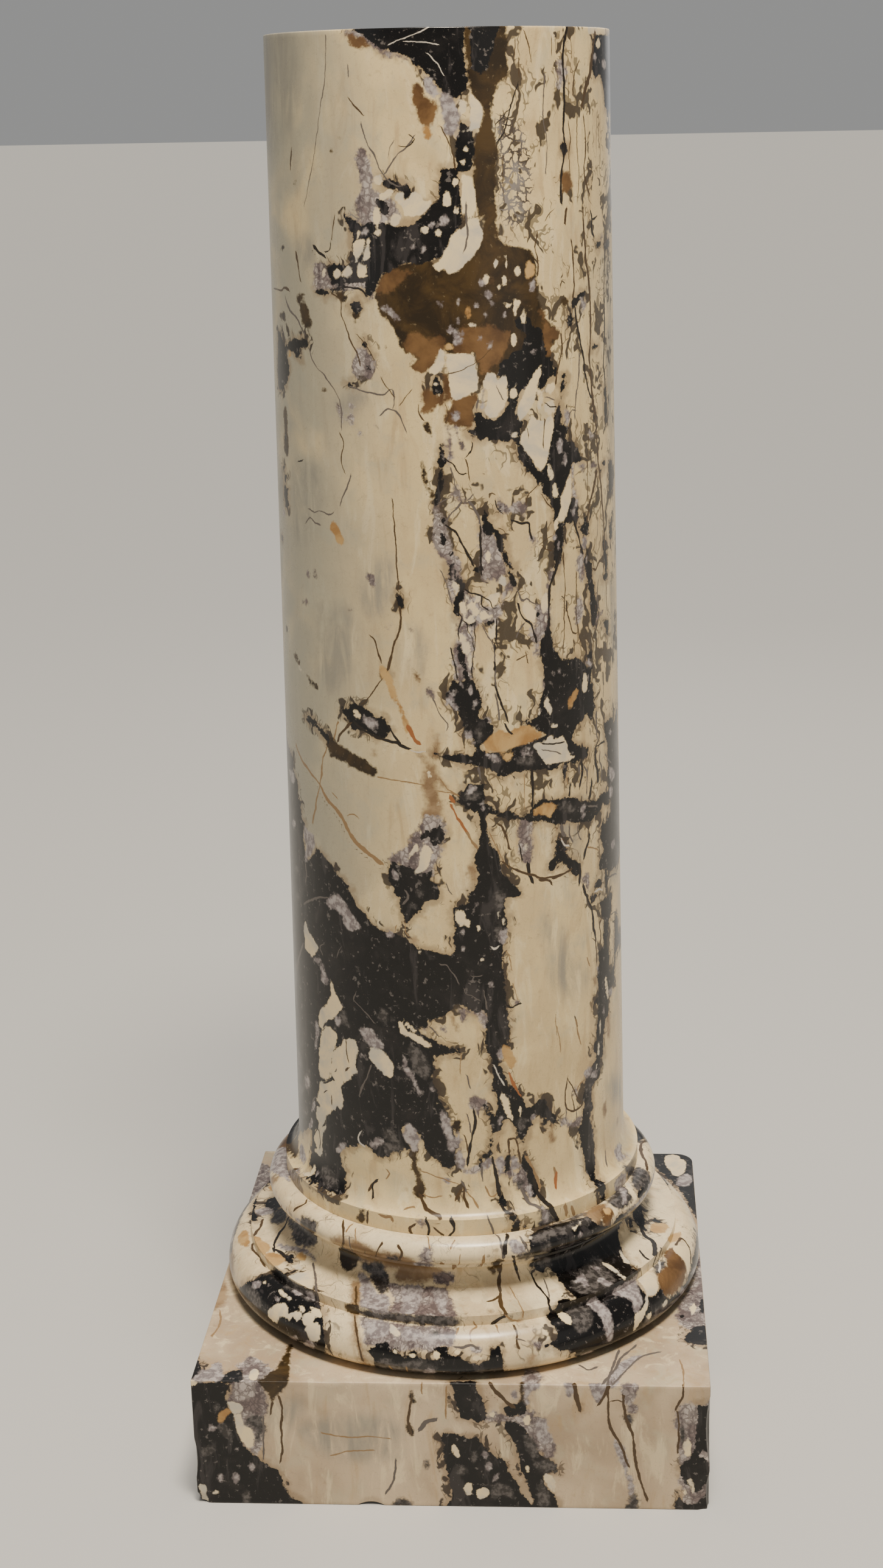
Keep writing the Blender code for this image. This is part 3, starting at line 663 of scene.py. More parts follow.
        patch(MIST_AND_SHADE, (-58, 1185), (-44, 1200), (-40, 1175), (-45, 1120), (-58, 1110)),
        patch(OLIVE, (-64.5, 1250), (-61, 1252), (-61, 1206), (-64, 1202), (-65, 1210), (-63.6, 1226)),
        pebble(INK, -62.7, 1222, 1.6, 9),
        patch(INK, (-66.8, 1188), (-65, 1186), (-64.5, 1178), (-62.5, 1180), (-64.5, 1168), (-62, 1165),
            (-63, 1150), (-62, 1146), (-65, 1142), (-67, 1158), (-65.6, 1172)),
        pebble(DOVE, -68, 1133, 2.5, 12, -20),
        pebble(INK, -72.5, 1104, 5, 5),
        patch(MIST_AND_SHADE, (-72, 1180), (-66, 1180), (-67, 1150), (-72, 1140), (-78, 1160)),
    ]


def shaft_middle_marks():
    """The net of grey veins and the two long clefts, 1100 down to 915 mm."""
    return [
        block(INK, (5.8, 1096), (7.6, 1084), (9, 1076), (8.6, 1068), (9, 1060), (7.4, 1056), (7.2, 1042),
            (5.6, 1040), (5.6, 1056), (6.6, 1066), (7.2, 1074), (6, 1082)),
        block(INK, (3.8, 1098), (5.6, 1098), (5.4, 1082), (3.9, 1080)),
        block(BONE, (5, 1080), (6.8, 1075), (7.3, 1070), (6.2, 1064), (5.2, 1070)),
        vein(1.2, GREY, (1.5, 1092), (2.8, 1082), (3.8, 1070), (4.2, 1062), (5, 1052)),
        block(DOVE, (8.8, 1069), (12, 1064), (14.6, 1062), (14.4, 1054), (16, 1052), (20, 1048), (22, 1062),
            (23, 1070), (24.5, 1078), (26.4, 1067), (23, 1066), (21.4, 1052), (20.4, 1040), (19.4, 1036),
            (19, 1026), (17, 1030), (13, 1034), (12, 1024), (12.2, 1008), (11.4, 990), (11, 968), (6, 968),
            (5.4, 985), (4.4, 1004), (6.4, 1014), (6.2, 1034), (7.6, 1044), (7.6, 1056)),
        block(BONE, (7.5, 1056), (9, 1056), (9.6, 1044), (8.4, 1041), (7.4, 1046)),
        block(BONE, (9.8, 1052), (11, 1058), (12.3, 1052), (10.6, 1048)),
        block(BONE, (11, 1045), (12, 1050), (13.6, 1047), (13, 1041), (11.6, 1041)),
        block(BONE, (14.6, 1048), (16, 1044), (16.4, 1038), (14.6, 1034), (13.6, 1040)),
        block(BONE, (9.8, 1040), (11, 1040), (11.8, 1035), (10.4, 1032), (9.6, 1035)),
        block(BONE, (8.3, 1039), (9.4, 1038), (9.4, 1033), (8.5, 1034)),
        block(BONE, (16, 1039), (17.5, 1040), (18, 1036), (16.6, 1035)),
        block(BONE, (9, 1065), (11, 1064), (10.4, 1058), (9, 1059)),
        block(BONE, (11.8, 1063), (14.2, 1062), (14, 1056), (12.6, 1056)),
        block(BONE, (7, 1031), (8.4, 1032), (8.4, 1029), (7.2, 1028)),
        block(BONE, (9.2, 1028), (10.6, 1027), (11, 1020), (9.4, 1021)),
        block(BONE, (6.7, 1023), (8.4, 1022), (9.6, 1015), (8.4, 1012), (6.5, 1014)),
        block(BONE, (8.2, 1011), (9.6, 1012), (10.9, 1003), (10.4, 1000), (8.4, 1000), (7.5, 1006)),
        block(BONE, (15, 1060), (20.6, 1066), (19.4, 1052), (17.4, 1047), (15.4, 1056)),
        block(BONE, (9.2, 998), (11.2, 999), (10.6, 984), (9.8, 982)),
        block(LILAC, (5, 1000), (6.2, 990), (6.4, 975), (5.6, 975), (4.8, 990)),
        block(BONE, (17, 1028), (18.2, 1022), (18.2, 1015), (17.4, 1012), (16.2, 1022)),
        block(BONE, (21, 1084), (22.6, 1080), (22, 1072), (20.2, 1076)),
        block(BONE, (18, 1030), (19.2, 1030), (18.9, 1016), (18.2, 1016)),
        vein(1.5, BLACK, (9, 1070), (11, 1066), (14.4, 1062), (14.4, 1052), (16.4, 1046)),
        vein(1.2, BLACK, (14.6, 1062), (17, 1056), (18, 1048), (19.6, 1048)),
        block(INK, (9, 1033), (12, 1033.5), (12, 1029), (9, 1029)),
        block(INK, (15, 1033), (18.5, 1034), (17.5, 1029), (15.4, 1029)),
        vein(1.5, BLACK, (6.4, 1046), (8, 1040), (7.6, 1034), (6.8, 1026), (6.6, 1014)),
        vein(1.3, BLACK, (8.4, 1036), (9.6, 1032), (9.8, 1024), (11, 1016), (11.4, 1004)),
        block(INK, (6, 1010), (7.4, 1010), (8.2, 1000), (9, 988), (9.8, 972), (8.6, 972), (8, 985),
            (6.4, 990), (7, 1000)),
        vein(1.6, BLACK, (4.2, 1006), (4.6, 996), (5.4, 985), (6, 972)),
        vein(1.2, BLACK, (11.8, 1030), (12, 1012), (11, 992), (10.8, 972)),
        vein(1.6, GREY, (14.4, 1030), (16, 1018), (17.6, 1010), (18.2, 1000), (18.4, 985), (18.4, 970),
            (18.8, 955)),
        vein(2.2, BLACK, (18.5, 1008), (18.4, 1000)),
        vein(2.4, BLACK, (18.3, 987), (18.2, 979)),
        vein(1.8, BLACK, (19.2, 1034), (19, 1020), (18.7, 1010)),
        vein(2.6, BLACK, (18.4, 960), (19, 952), (20.2, 940), (21.4, 930), (22.4, 919)),
        vein(1.8, GREY, (18.2, 952), (19, 938), (19.4, 922)),
        vein(1.6, GREY, (26.4, 1068), (27.2, 1058), (28.2, 1052), (29.4, 1055), (31, 1051), (33, 1047)),
        vein(2.4, BLACK, (26.7, 1050), (27, 1042), (28.2, 1034), (30, 1029), (31.4, 1024), (32.4, 1014),
            (33, 1004)),
        vein(1.4, GREY, (29, 1028), (27, 1022), (25.9, 1013)),
        block(BONE, (28, 1050), (31, 1049), (33, 1038), (32.6, 1028), (30, 1031), (28, 1042)),
        block(DOVE, (32.5, 1046), (35, 1046), (36, 1058), (38, 1060), (38.4, 1030), (38.4, 1018),
            (36, 1010), (34, 1004), (34.4, 990), (32, 988), (31.8, 1004), (30.2, 1012), (31.4, 1020),
            (33, 1026)),
        block(BONE, (35.2, 1056), (37.6, 1060), (37.6, 1040), (36, 1034), (35, 1046)),
        pebble(BONE, 36.8, 1028, 1, 8),
        pebble(INK, 33.7, 1035, 1.2, 6),
        block(INK, (38, 1022), (39, 1010), (40, 1000), (40.6, 990), (42, 984), (44, 979), (47, 979),
            (50, 978), (53, 972), (55, 965), (58.3, 962), (58.2, 950), (57.5, 945), (59, 936), (59.4, 922),
            (60.4, 912), (34, 912), (33, 922), (33.4, 934), (35, 944), (36, 956), (35.4, 966), (35, 978),
            (34.4, 990), (34.4, 1004), (36.4, 1012)),
        block(DOVE, (35.2, 978), (37, 984), (40.8, 980), (42.6, 972), (41.4, 964), (39, 956), (37.8, 944),
            (36, 938), (35, 950), (35.6, 964)),
        block(BONE, (35.4, 934), (37, 940), (38.6, 926), (38, 919), (36.6, 922)),
        pebble(BONE, 33.6, 926, 1.2, 9, 12),
        pebble(LILAC, 35.2, 921, 1, 5),
        block(BONE, (53.8, 958), (55, 957), (55.8, 948), (55.4, 940), (54, 930), (52.8, 938), (52.9, 946)),
        pebble(LILAC, 56, 951, 0.9, 8),
        patch(HONEY, (45.6, 932), (47, 936), (49.8, 942), (50.2, 938), (48.4, 930), (47.2, 922),
            (45.6, 922)),
        pebble(BONE, 46.4, 975, 1, 7, -12),
        pebble(LILAC, 50.6, 954, 1.6, 3),
        pebble(LILAC, 42, 969, 1, 8),
        patch(LILAC, (54.5, 970), (57.2, 970), (58, 964), (56, 963)),
        block(INK, (55.4, 975), (57, 979), (58.4, 979), (58, 972), (55.6, 971)),
        vein(3.0, BLACK, (43.3, 1100), (41.8, 1088), (41, 1080), (39.4, 1070), (38.5, 1062), (38.2, 1048),
            (38, 1034), (37.8, 1020)),
        block(DOVE, (38, 1080), (40, 1080), (39, 1068), (37.4, 1060), (37.8, 1070)),
        vein(1.3, UMBER, (44.5, 1100), (44.8, 1080), (45.1, 1060), (44.6, 1045), (44.4, 1010), (43.6, 985)),
        vein(1.6, UMBER, (45.4, 1040), (46, 1030), (47, 1020), (47.8, 1011), (49, 1006), (50.6, 1006)),
        vein(1.4, UMBER, (50.5, 1075), (50.4, 1050), (50.2, 1025), (51, 1010), (51.6, 1000), (52.6, 990),
            (55.4, 980)),
        patch(DOVE, (51, 1088), (54, 1095), (55, 1080), (54, 1060), (51, 1070)),
        patch(DOVE, (51, 1045), (53.6, 1040), (53, 1020), (50, 1022)),
        vein(1.3, UMBER, (48.6, 1000), (49, 985)),
        vein(1.5, UMBER, (58, 1000), (59.4, 990), (58.8, 978)),
        block(INK, (53, 1100), (54.8, 1098), (54.4, 1090), (56, 1085), (56.4, 1096), (57.4, 1098),
            (57.6, 1086), (59.4, 1078), (59.6, 1064), (60.2, 1052), (60.4, 1044), (61.8, 1032),
            (62.8, 1024), (61, 1012), (60.4, 1004), (59.2, 1008), (58.6, 1020), (57.4, 1034), (57.6, 1048),
            (56.4, 1058), (55.6, 1070), (54.8, 1080)),
        pebble(LILAC, 56.2, 1085, 0.8, 10),
        vein(1.8, UMBER, (59.6, 1073), (62, 1071), (63.6, 1077), (66, 1082)),
        block(DOVE, (60, 1020), (62.4, 1020), (67, 1022), (66, 1015), (62.4, 1016), (60.8, 1006)),
        vein(2.0, GREY, (63.6, 1058), (62.8, 1048), (62.6, 1034), (64, 1024)),
        block(INK, (67.2, 1100), (71, 1100), (71, 1080), (71.4, 1062), (72, 1058), (72, 1052), (66, 1058),
            (69, 1062), (68.2, 1080)),
        pebble(DOVE, 69.5, 1090, 2.4, 12),
        block(INK, (65.4, 1010), (70, 1009), (72, 1002), (71.4, 990), (70, 988), (67.4, 1002)),
        vein(1.8, UMBER, (70, 1050), (70, 1030), (71, 1012)),
        patch(MIST_AND_SHADE, (72, 1050), (80, 1040), (80, 960), (73, 985)),
        vein(1.4, GREY, (66, 945), (66, 920)),
        block(OLIVE, (-12.8, 1068), (-11.4, 1068), (-10.7, 1050), (-12, 1047), (-13, 1055)),
        block(INK, (-12.5, 1070), (-11.6, 1069), (-10.8, 1051), (-12, 1048), (-13.1, 1062)),
        vein(2.6, UMBER, (-12, 1050), (-11.8, 1038), (-12.4, 1024), (-14, 1012), (-15, 1000), (-16, 988),
            (-16.9, 979)),
        patch(DOVE, (-23, 1083), (-20.5, 1083), (-20.2, 1076), (-21.5, 1071)),
        pebble(DOVE, -15.9, 1031, 1.4, 10, -35),
        pebble(DOVE, -29.5, 1044, 3, 4, 15),
        vein(2.0, UMBER, (-22.6, 1017), (-21, 1012), (-20, 1000), (-18.8, 988)),
        block(HONEY, (-19.6, 985), (-18, 984), (-16.4, 978), (-15, 970), (-14, 958), (-13.8, 950),
            (-12.4, 942), (-11.6, 933), (-10, 921), (-8.6, 912), (-11, 910), (-12, 921), (-13.2, 936),
            (-14.2, 944), (-15.6, 950), (-16.8, 960), (-18, 968), (-19, 974)),
        block(RUST, (-18.6, 983), (-17.4, 981), (-16.8, 975), (-18.2, 970), (-19.4, 972)),
        pebble(INK, -16.9, 977, 1, 4, 30),
        vein(1.4, UMBER, (-18.6, 970), (-20.4, 962), (-22.6, 952), (-24.6, 944), (-26.4, 938)),
        patch(RUST, (-8.6, 984), (-7.4, 979), (-6.2, 972), (-5.8, 967), (-7.6, 972)),
        patch(DOVE, (-3.8, 958), (-2.6, 962), (-1.2, 956), (-2, 950)),
        vein(1.3, GREY, (-2, 950), (-0.8, 940), (0.4, 930), (2.6, 920), (2, 914)),
        pebble(DOVE, -8.2, 1026, 0.7, 5),
        patch(INK, (4.4, 969), (6, 967), (8, 970), (11.2, 969), (12, 961), (13, 950), (13.2, 940),
            (12.8, 930), (13.4, 924), (15.2, 925), (15, 910), (8, 910), (8, 918), (6.6, 926), (5.6, 934),
            (3.6, 941), (2.2, 948), (2.8, 960)),
        block(LILAC, (3, 952), (4.4, 954), (4.4, 960), (5.2, 956), (4.6, 948), (6.2, 938), (5.6, 934),
            (3.4, 944), (1.8, 940), (2.2, 950)),
        pebble(LILAC, 11.6, 944, 1, 6),
        pebble(LILAC, 7.5, 965, 1.2, 6, 30),
        pebble(LILAC, 10.2, 958, 0.7, 12),
        block(DOVE, (13, 924), (16, 927), (16.4, 920), (14.4, 914)),
        vein(1.2, UMBER, (25.7, 988), (29.4, 992)),
        vein(1.2, UMBER, (29, 996), (29.6, 983)),
        block(INK, (-31.8, 933), (-30, 936), (-27, 939), (-26, 938), (-24, 931), (-22, 925), (-19, 926),
            (-17.4, 921), (-16, 911), (-30, 908), (-31.4, 918), (-34.4, 925), (-34.6, 931)),
        block(BONE, (-30, 931), (-28, 930), (-26.6, 926), (-27.4, 921), (-30, 925)),
        block(LILAC, (-26, 926), (-24, 923), (-21, 922), (-20.4, 914), (-24, 913), (-26.4, 918)),
        block(OLIVE, (-62.6, 975), (-60.6, 980), (-58.6, 976), (-58, 971), (-56.8, 970), (-57.6, 966),
            (-60, 968)),
        block(BONE, (-58.6, 965), (-57, 964), (-53.6, 960), (-54.4, 957.5), (-57.6, 961)),
        block(OLIVE, (-53, 960), (-51, 959), (-46, 948), (-46, 945), (-49.4, 948), (-52, 954)),
        pebble(DOVE, -52, 1042, 4, 6, 15),
        pebble(DOVE, -45.4, 1078, 1.6, 9, 20),
        pebble(DOVE, -49.7, 1074, 2, 8, 20),
        pebble(OLIVE, -69, 1000, 2.5, 9, 20),
        patch(MIST_AND_SHADE, (-45, 1045), (-30, 1040), (-28, 990), (-36, 950), (-46, 960), (-44, 1000)),
        patch(MIST_AND_SHADE, (-22, 1100), (-14, 1100), (-14, 1060), (-20, 1040), (-26, 1060)),
        patch(MIST_AND_SHADE, (-10, 1030), (-4, 1010), (-6, 975), (-12, 985)),
    ]


def shaft_waist_marks():
    """The shaft's marks from 915 to 725 mm: the two black lenses with ochre in them."""
    return [
        patch(INK, (-54.2, 907.8), (-51.8, 910.4), (-48.7, 908.4), (-45.8, 901), (-43.3, 898.6),
            (-41.4, 893.3), (-40.4, 886), (-42.2, 887), (-44.9, 893.3), (-47.2, 899.2), (-49.9, 900.5),
            (-53.4, 904.5)),
        patch(OLIVE, (-41.6, 893), (-38.7, 892), (-36.9, 889), (-33.6, 883.4), (-30.2, 880.1),
            (-27.7, 876.8), (-24.2, 871.6), (-22.1, 866.3), (-21.7, 860.4), (-22.6, 857.1), (-25.4, 857.8),
            (-27.7, 861.7), (-32.1, 864.7), (-35, 868.3), (-39.4, 870.9), (-40.8, 869.6), (-41.2, 875.5),
            (-42.5, 882.8)),
        vein(3.0, UMBER, (-37, 890), (-35.8, 899), (-33.6, 906), (-31, 915)),
        vein(1.6, TAN, (-38.7, 892), (-37.5, 904), (-36.3, 914)),
        vein(3.0, TAN, (-62.7, 868), (-60, 859.7), (-56.9, 851.8), (-53.4, 847.2), (-50.7, 842),
            (-46.4, 833.4)),
        vein(5.0, TAN, (-46.4, 833.4), (-44.5, 825.5), (-41.8, 816.3), (-39.1, 811), (-36.3, 803.2),
            (-34.4, 794), (-32.5, 783.4), (-29.8, 774.2), (-27, 768.5), (-24.2, 762.4), (-20.7, 755)),
        vein(2.4, TAN, (-42.1, 879.5), (-43.9, 868.9), (-44.9, 857.1), (-45.2, 846.6), (-46.2, 836),
            (-47.6, 823), (-48.9, 811), (-49.3, 801.8), (-51.1, 790), (-51.6, 783)),
        vein(1.6, TAN, (-40.2, 828), (-37.9, 822.9)),
        vein(1.6, TAN, (-33.5, 806), (-31, 809), (-29, 806)),
        vein(1.3, TAN, (-21.3, 856.4), (-14.9, 854.5), (-9.9, 853.2), (-6, 850.5)),
        pebble(FAWN, -22.6, 883.4, 1.0, 4.0),
        patch(INK, (-84, 862), (-74, 858), (-70.8, 854.5), (-66.5, 849.2), (-65.4, 831), (-62, 823),
            (-62.7, 806), (-60, 799.2), (-59.4, 783.4), (-56.9, 778.2), (-57.6, 771), (-58.8, 758),
            (-57, 745), (-56, 720), (-84, 720)),
        patch(INK, (-56, 720), (-55.4, 731), (-51.6, 746), (-49.1, 754.5), (-47.2, 752.5), (-44.1, 746.6),
            (-41, 738.7), (-38.5, 731), (-35.2, 724), (-34, 716)),
        patch(LILAC, (-57.6, 776), (-54, 771), (-51.2, 768), (-50.4, 757), (-52.5, 748), (-55, 738),
            (-57.4, 728), (-58, 744), (-56.8, 752), (-58.4, 762)),
        patch(LILAC, (-73, 828), (-68, 832), (-65, 826), (-66.5, 818), (-70, 818)),
        pebble(LILAC, -68, 768, 4.5, 8, 20),
        vein(3.2, BLACK, (-29.5, 916), (-25, 907), (-20.7, 901.8), (-14.5, 897.9), (-13, 895),
            (-10, 891.8)),
        patch(INK, (-25, 907.5), (-24, 916), (-18.5, 916), (-18, 909), (-18.5, 903), (-21, 902)),
        pebble(MIST_AND_SHADE, -17.6, 907, 2.2, 9, 10),
        vein(2.6, BLACK, (-17, 916), (-14.9, 904.5), (-13, 896)),
        vein(4.2, RUSTY, (-10.4, 918), (-8.3, 903), (-6.8, 898)),
        vein(1.4, WHITE, (-9.4, 890), (-7.4, 888.6), (-5, 889.4)),
        patch(FAWN, (-7.6, 888), (-5.4, 886), (-4, 877), (-2.4, 876), (-2.6, 886), (-1.8, 893), (-1.6, 906),
            (-0.4, 907), (-0.8, 893), (-1.4, 880), (-1.3, 870), (0.2, 860), (2.2, 847), (0.8, 848),
            (-1.2, 855), (-1.4, 846), (-0.8, 836), (0, 826), (-0.2, 815), (-3, 812), (-5.6, 812),
            (-6.4, 818), (-4.8, 826), (-5.4, 836), (-6, 848), (-5.2, 862), (-5.0, 872)),
        pebble(BONE, -3.6, 863, 1.2, 8, 10),
        pebble(BONE, -1.2, 829, 0.8, 4),
        vein(1.6, TAN, (0, 858), (1.0, 852), (2.9, 844), (5.4, 838.7)),
        vein(1.2, TAN, (-1.2, 844), (2.1, 842.6), (5.6, 838.7)),
        vein(3.4, RUSTY, (2.7, 837.4), (4.0, 831)),
        vein(2.6, RUSTY, (3.2, 828), (4.8, 815), (6.4, 805.8), (8.2, 794)),
        vein(2.4, TAN, (8, 795), (9.2, 787), (11.2, 777)),
        patch(INK, (-1.8, 886.7), (2.9, 884.4), (5.6, 886.7), (9.9, 884), (11, 891.3), (10.8, 900.5),
            (8.7, 907), (8.3, 918), (17, 918), (17, 906), (15.3, 900.5), (13.4, 896.6), (13.6, 890),
            (15.2, 886.4), (20, 885.6), (24.2, 889), (27.2, 889.6), (30, 893), (34, 896), (36, 899.2),
            (33, 903), (31.8, 907), (30, 911), (30, 918), (58.5, 918), (57.4, 902), (56.4, 904),
            (55.2, 910), (53, 900.5), (51.2, 903), (49.2, 898), (47.3, 888.7), (48.1, 880), (50.4, 876.8),
            (52.7, 872.2), (55, 870), (55.4, 862.4), (54.7, 859), (50, 858.4), (47.7, 855.2), (44.2, 860),
            (39.6, 855.8), (35.3, 858.4), (29.9, 860), (26.5, 857.2), (23.8, 861), (21.9, 858.4),
            (19.9, 857), (18, 862.4), (14.9, 869), (11.8, 869.6), (6.8, 875.5), (2.9, 880)),
        patch(LILAC, (8.4, 913), (10, 911), (10.6, 902), (11, 897), (9.6, 902), (8.2, 906)),
        patch(SMOKE, (11.4, 914), (14, 914), (13.6, 905), (12, 901)),
        block(HONEY, (13.7, 895), (16.4, 905), (19.5, 911.7), (21.1, 908.4), (23.4, 905), (24.2, 911),
            (30, 911), (31.8, 907), (32.6, 903), (35.7, 899.2), (34.3, 896), (31.4, 895.3), (29.5, 892),
            (24.2, 889.4), (20.3, 886.2), (15.3, 886.8)),
        vein(2.8, BLACK, (21.4, 917), (22.4, 909), (23.6, 905.4)),
        block(LILAC, (15, 884), (17.3, 883), (19.5, 876.5), (18.9, 873.5), (16.5, 877)),
        block(HONEY, (19.9, 883.4), (23.8, 884), (24, 880), (22.2, 874.3), (20.2, 877)),
        block(LILAC, (25.6, 886), (30, 887), (29.8, 883.6), (26.2, 883)),
        block(LILAC, (26.4, 881), (30.6, 881.6), (30.4, 876.6), (27.4, 877)),
        patch(SMOKE, (25.2, 874), (27.6, 877), (30.4, 874), (32.4, 871), (29, 866), (26, 868)),
        block(BONE, (31, 888.7), (35.7, 890.6), (36.5, 895.3), (38.8, 895.3), (39.1, 891), (42.7, 891.3),
            (44.4, 884.7), (45, 874), (46.6, 866.3), (46.3, 860.4), (42.3, 861.2), (36.1, 864.4),
            (33.8, 873)),
        vein(1.6, BLACK, (34.6, 888.5), (39, 885.5), (43.4, 884)),
        vein(1.2, GREY, (34.5, 881), (38, 878), (42, 872)),
        patch(INK, (42.6, 868), (44.4, 866), (45.2, 862), (43.2, 860)),
        block(BONE, (37.8, 904.6), (38.3, 910.4), (40.6, 908), (41, 903.6)),
        pebble(BONE, 47.9, 864, 1.7, 5),
        patch(INK, (5.6, 836.7), (8.3, 847.9), (11, 850.5), (13.3, 850.5), (13.7, 841.3), (14.5, 829.5),
            (16.8, 823), (19.9, 816.3), (22.2, 817.6), (24.2, 811), (27.3, 809.7), (30, 815), (32.2, 821.6),
            (35.3, 824.2), (37.6, 821.6), (43, 820), (48.1, 815), (50.8, 811), (53.9, 806.4), (57, 806.4),
            (60.8, 803), (63.2, 808.4), (67, 806.4), (69.5, 806), (71, 790), (67.8, 788.7), (65.1, 794),
            (63.9, 792.6), (61.6, 786), (58.9, 784.7), (57, 780.8), (52.3, 783.4), (47.7, 787.4),
            (45, 789.3), (41.5, 788), (38.8, 790), (34.9, 796.6), (30.7, 799.2), (27.3, 803.2),
            (23.8, 805.8), (21.9, 804.5), (19.9, 809.7), (17.2, 813.7), (14.6, 816), (14.4, 802),
            (14.9, 791), (16, 778), (18, 769), (18.4, 760), (19.9, 745), (21.5, 736), (24.2, 724),
            (24.5, 716), (9.8, 716), (10, 730), (11, 742.6), (11, 757), (10.4, 766), (11.4, 775.5),
            (12.2, 790), (12.4, 799), (11.8, 806), (12.2, 810), (11.4, 818), (10.2, 819), (7.9, 824.2),
            (5.8, 830)),
        patch(LILAC, (8.7, 843), (9.6, 848), (11.2, 847.4), (10.6, 844), (9.2, 840)),
        patch(SMOKE, (6.4, 837), (9, 842), (12, 841), (12.4, 836), (11, 833), (8, 834)),
        patch(LILAC, (11, 828), (13.2, 829), (14, 823), (13.2, 820), (12.8, 825)),
        pebble(BONE, 12.4, 852.6, 1.3, 5, 10),
        vein(2.4, GREY, (12.4, 870), (12.7, 856)),
        block(HONEY, (30.7, 813.7), (32.6, 816.3), (34.9, 818.3), (38.4, 817.6), (40.7, 811), (38.8, 805.8),
            (36.5, 799.2), (34.9, 805.8), (31, 807)),
        patch(SMOKE, (41, 814), (44, 813), (47.5, 806), (48.6, 798), (45, 802), (42, 807)),
        block(LILAC, (50.9, 804), (54, 803), (53, 799), (51.9, 795), (53.4, 792), (52, 788), (50.9, 790)),
        vein(2.2, GREY, (55, 800.5), (58, 797.5), (60.5, 795)),
        vein(1.0, TAN, (27.7, 857), (27.6, 840), (27.6, 815)),
        vein(3.4, BLACK, (30.5, 860), (30.6, 840), (30.5, 818)),
        block(INK, (42.6, 861), (45, 861), (44.9, 852), (44.1, 850), (43.9, 841), (43.1, 841), (42.8, 850)),
        vein(1.2, TAN, (44.5, 844), (45, 832)),
        vein(2.6, BLACK, (46.2, 834), (45.4, 820)),
        vein(3.6, BLACK, (51.6, 856), (52.2, 846), (51.4, 836), (50.4, 826)),
        vein(2.4, GREY, (50.2, 852), (50.6, 843)),
        vein(2.6, GREY, (53, 849), (54.4, 844), (54.6, 836)),
        vein(4.6, BLACK, (59.6, 864), (59.8, 850), (60.8, 838), (61.4, 824)),
        vein(2.6, GREY, (63, 859), (62.4, 848), (64, 838), (63.8, 822)),
        vein(4.2, BLACK, (57.4, 830), (56.8, 818), (55.6, 808)),
        vein(1.6, GREY, (55.2, 848), (54.6, 834), (54.2, 815)),
        vein(2.2, GREY, (56.4, 890), (57, 884)),
        vein(2.6, GREY, (60.8, 908), (60.6, 890), (61.2, 874)),
        vein(2.6, BLACK, (60, 866.5), (63.6, 867), (66.4, 868)),
        patch(INK, (66.4, 890), (69, 889), (71.5, 892), (74.4, 889), (76.6, 880), (84, 882), (84, 716),
            (62.6, 716), (63.2, 734), (64.6, 740), (62.4, 752), (63, 766), (64, 775), (65, 776), (66, 770),
            (68.4, 776), (70.6, 782), (70.4, 806), (68.8, 824), (69, 845), (68.8, 860), (66.8, 872)),
        patch(LILAC, (70.4, 832), (73, 830), (76, 824), (77, 814), (72.5, 814), (71.2, 820)),
        patch(LILAC, (70.4, 807), (74, 806), (74, 797), (71, 795)),
        pebble(LILAC, 72.4, 872.6, 3.4, 4.5, -20),
        pebble(LILAC, 73.6, 736, 5.0, 10, 10),
        vein(2.2, GREY, (67, 852), (70, 842), (73, 836)),
        patch(DOVE, (25.2, 797), (26.4, 806), (30, 806), (30.6, 790), (30.2, 764), (29, 750), (27, 756),
            (25.8, 766), (24.8, 778)),
        block(BONE, (27.2, 776), (28.6, 776), (28.4, 767), (27.4, 768)),
        vein(2.0, BLACK, (25.4, 776), (26, 764), (26.2, 756)),
        vein(3.2, BLACK, (28.4, 752), (28.8, 738), (30.0, 728)),
        vein(2.4, UMBER, (18.2, 803), (19.5, 799.5), (20.7, 789), (21.9, 772)),
        vein(1.2, TAN, (15.3, 794), (18.8, 766.3), (21.5, 750)),
        vein(2.6, UMBER, (19.5, 758.4), (23, 749.2), (27, 741), (30.5, 736), (33.8, 730.8), (38.8, 729.5),
            (43.4, 730.8), (46, 733)),
        patch(INK, (39, 773.5), (41.6, 774), (42.2, 766), (44.2, 757), (44, 750), (47.7, 743), (49.5, 737),
            (50, 728), (48.5, 722), (45.5, 731), (43, 741), (40.4, 746.5), (38, 739), (36, 738),
            (36.8, 747), (39.3, 758)),
        vein(2.2, WHITE, (41.6, 772), (43, 764), (44.8, 762)),
        patch(MIST_AND_SHADE, (41, 789), (50, 787), (49.5, 757), (45, 760), (42, 778)),
        vein(4.0, GREY, (41.6, 788), (42.2, 779), (43.2, 775)),
        vein(2.0, GREY, (45.2, 786), (45.4, 774), (46.8, 764)),
        vein(1.8, GREY, (49.6, 784), (49.2, 774), (50.8, 764)),
        vein(3.2, BLACK, (55.6, 767), (54.8, 757), (53.2, 750), (52.2, 740)),
        vein(2.0, TAN, (54.4, 751), (58, 747), (61, 742)),
        patch(MIST_AND_SHADE, (45, 757), (51, 754), (50, 741), (47, 747)),
        patch(DOVE, (-4.5, 814.5), (-0.2, 813.7), (0.6, 800.5), (0.8, 790), (0.2, 780.8), (-0.2, 771.6),
            (-2.1, 758.4), (-4.1, 744), (-9, 748), (-14, 755), (-17.6, 758), (-17.2, 767.6), (-14.9, 772.2),
            (-12.6, 776.8), (-9.9, 783.4), (-11.4, 786), (-9.1, 794), (-7.7, 801.8), (-6.2, 809.7)),
        patch(INK, (-0.8, 806), (0.2, 800), (0.6, 790), (-0.2, 779), (-3, 781), (-4.4, 790), (-6.8, 789),
            (-6, 797), (-3, 799)),
        patch(INK, (-17.6, 757), (-13.4, 756), (-9, 750), (-5, 748), (-2.5, 758), (-3.2, 752),
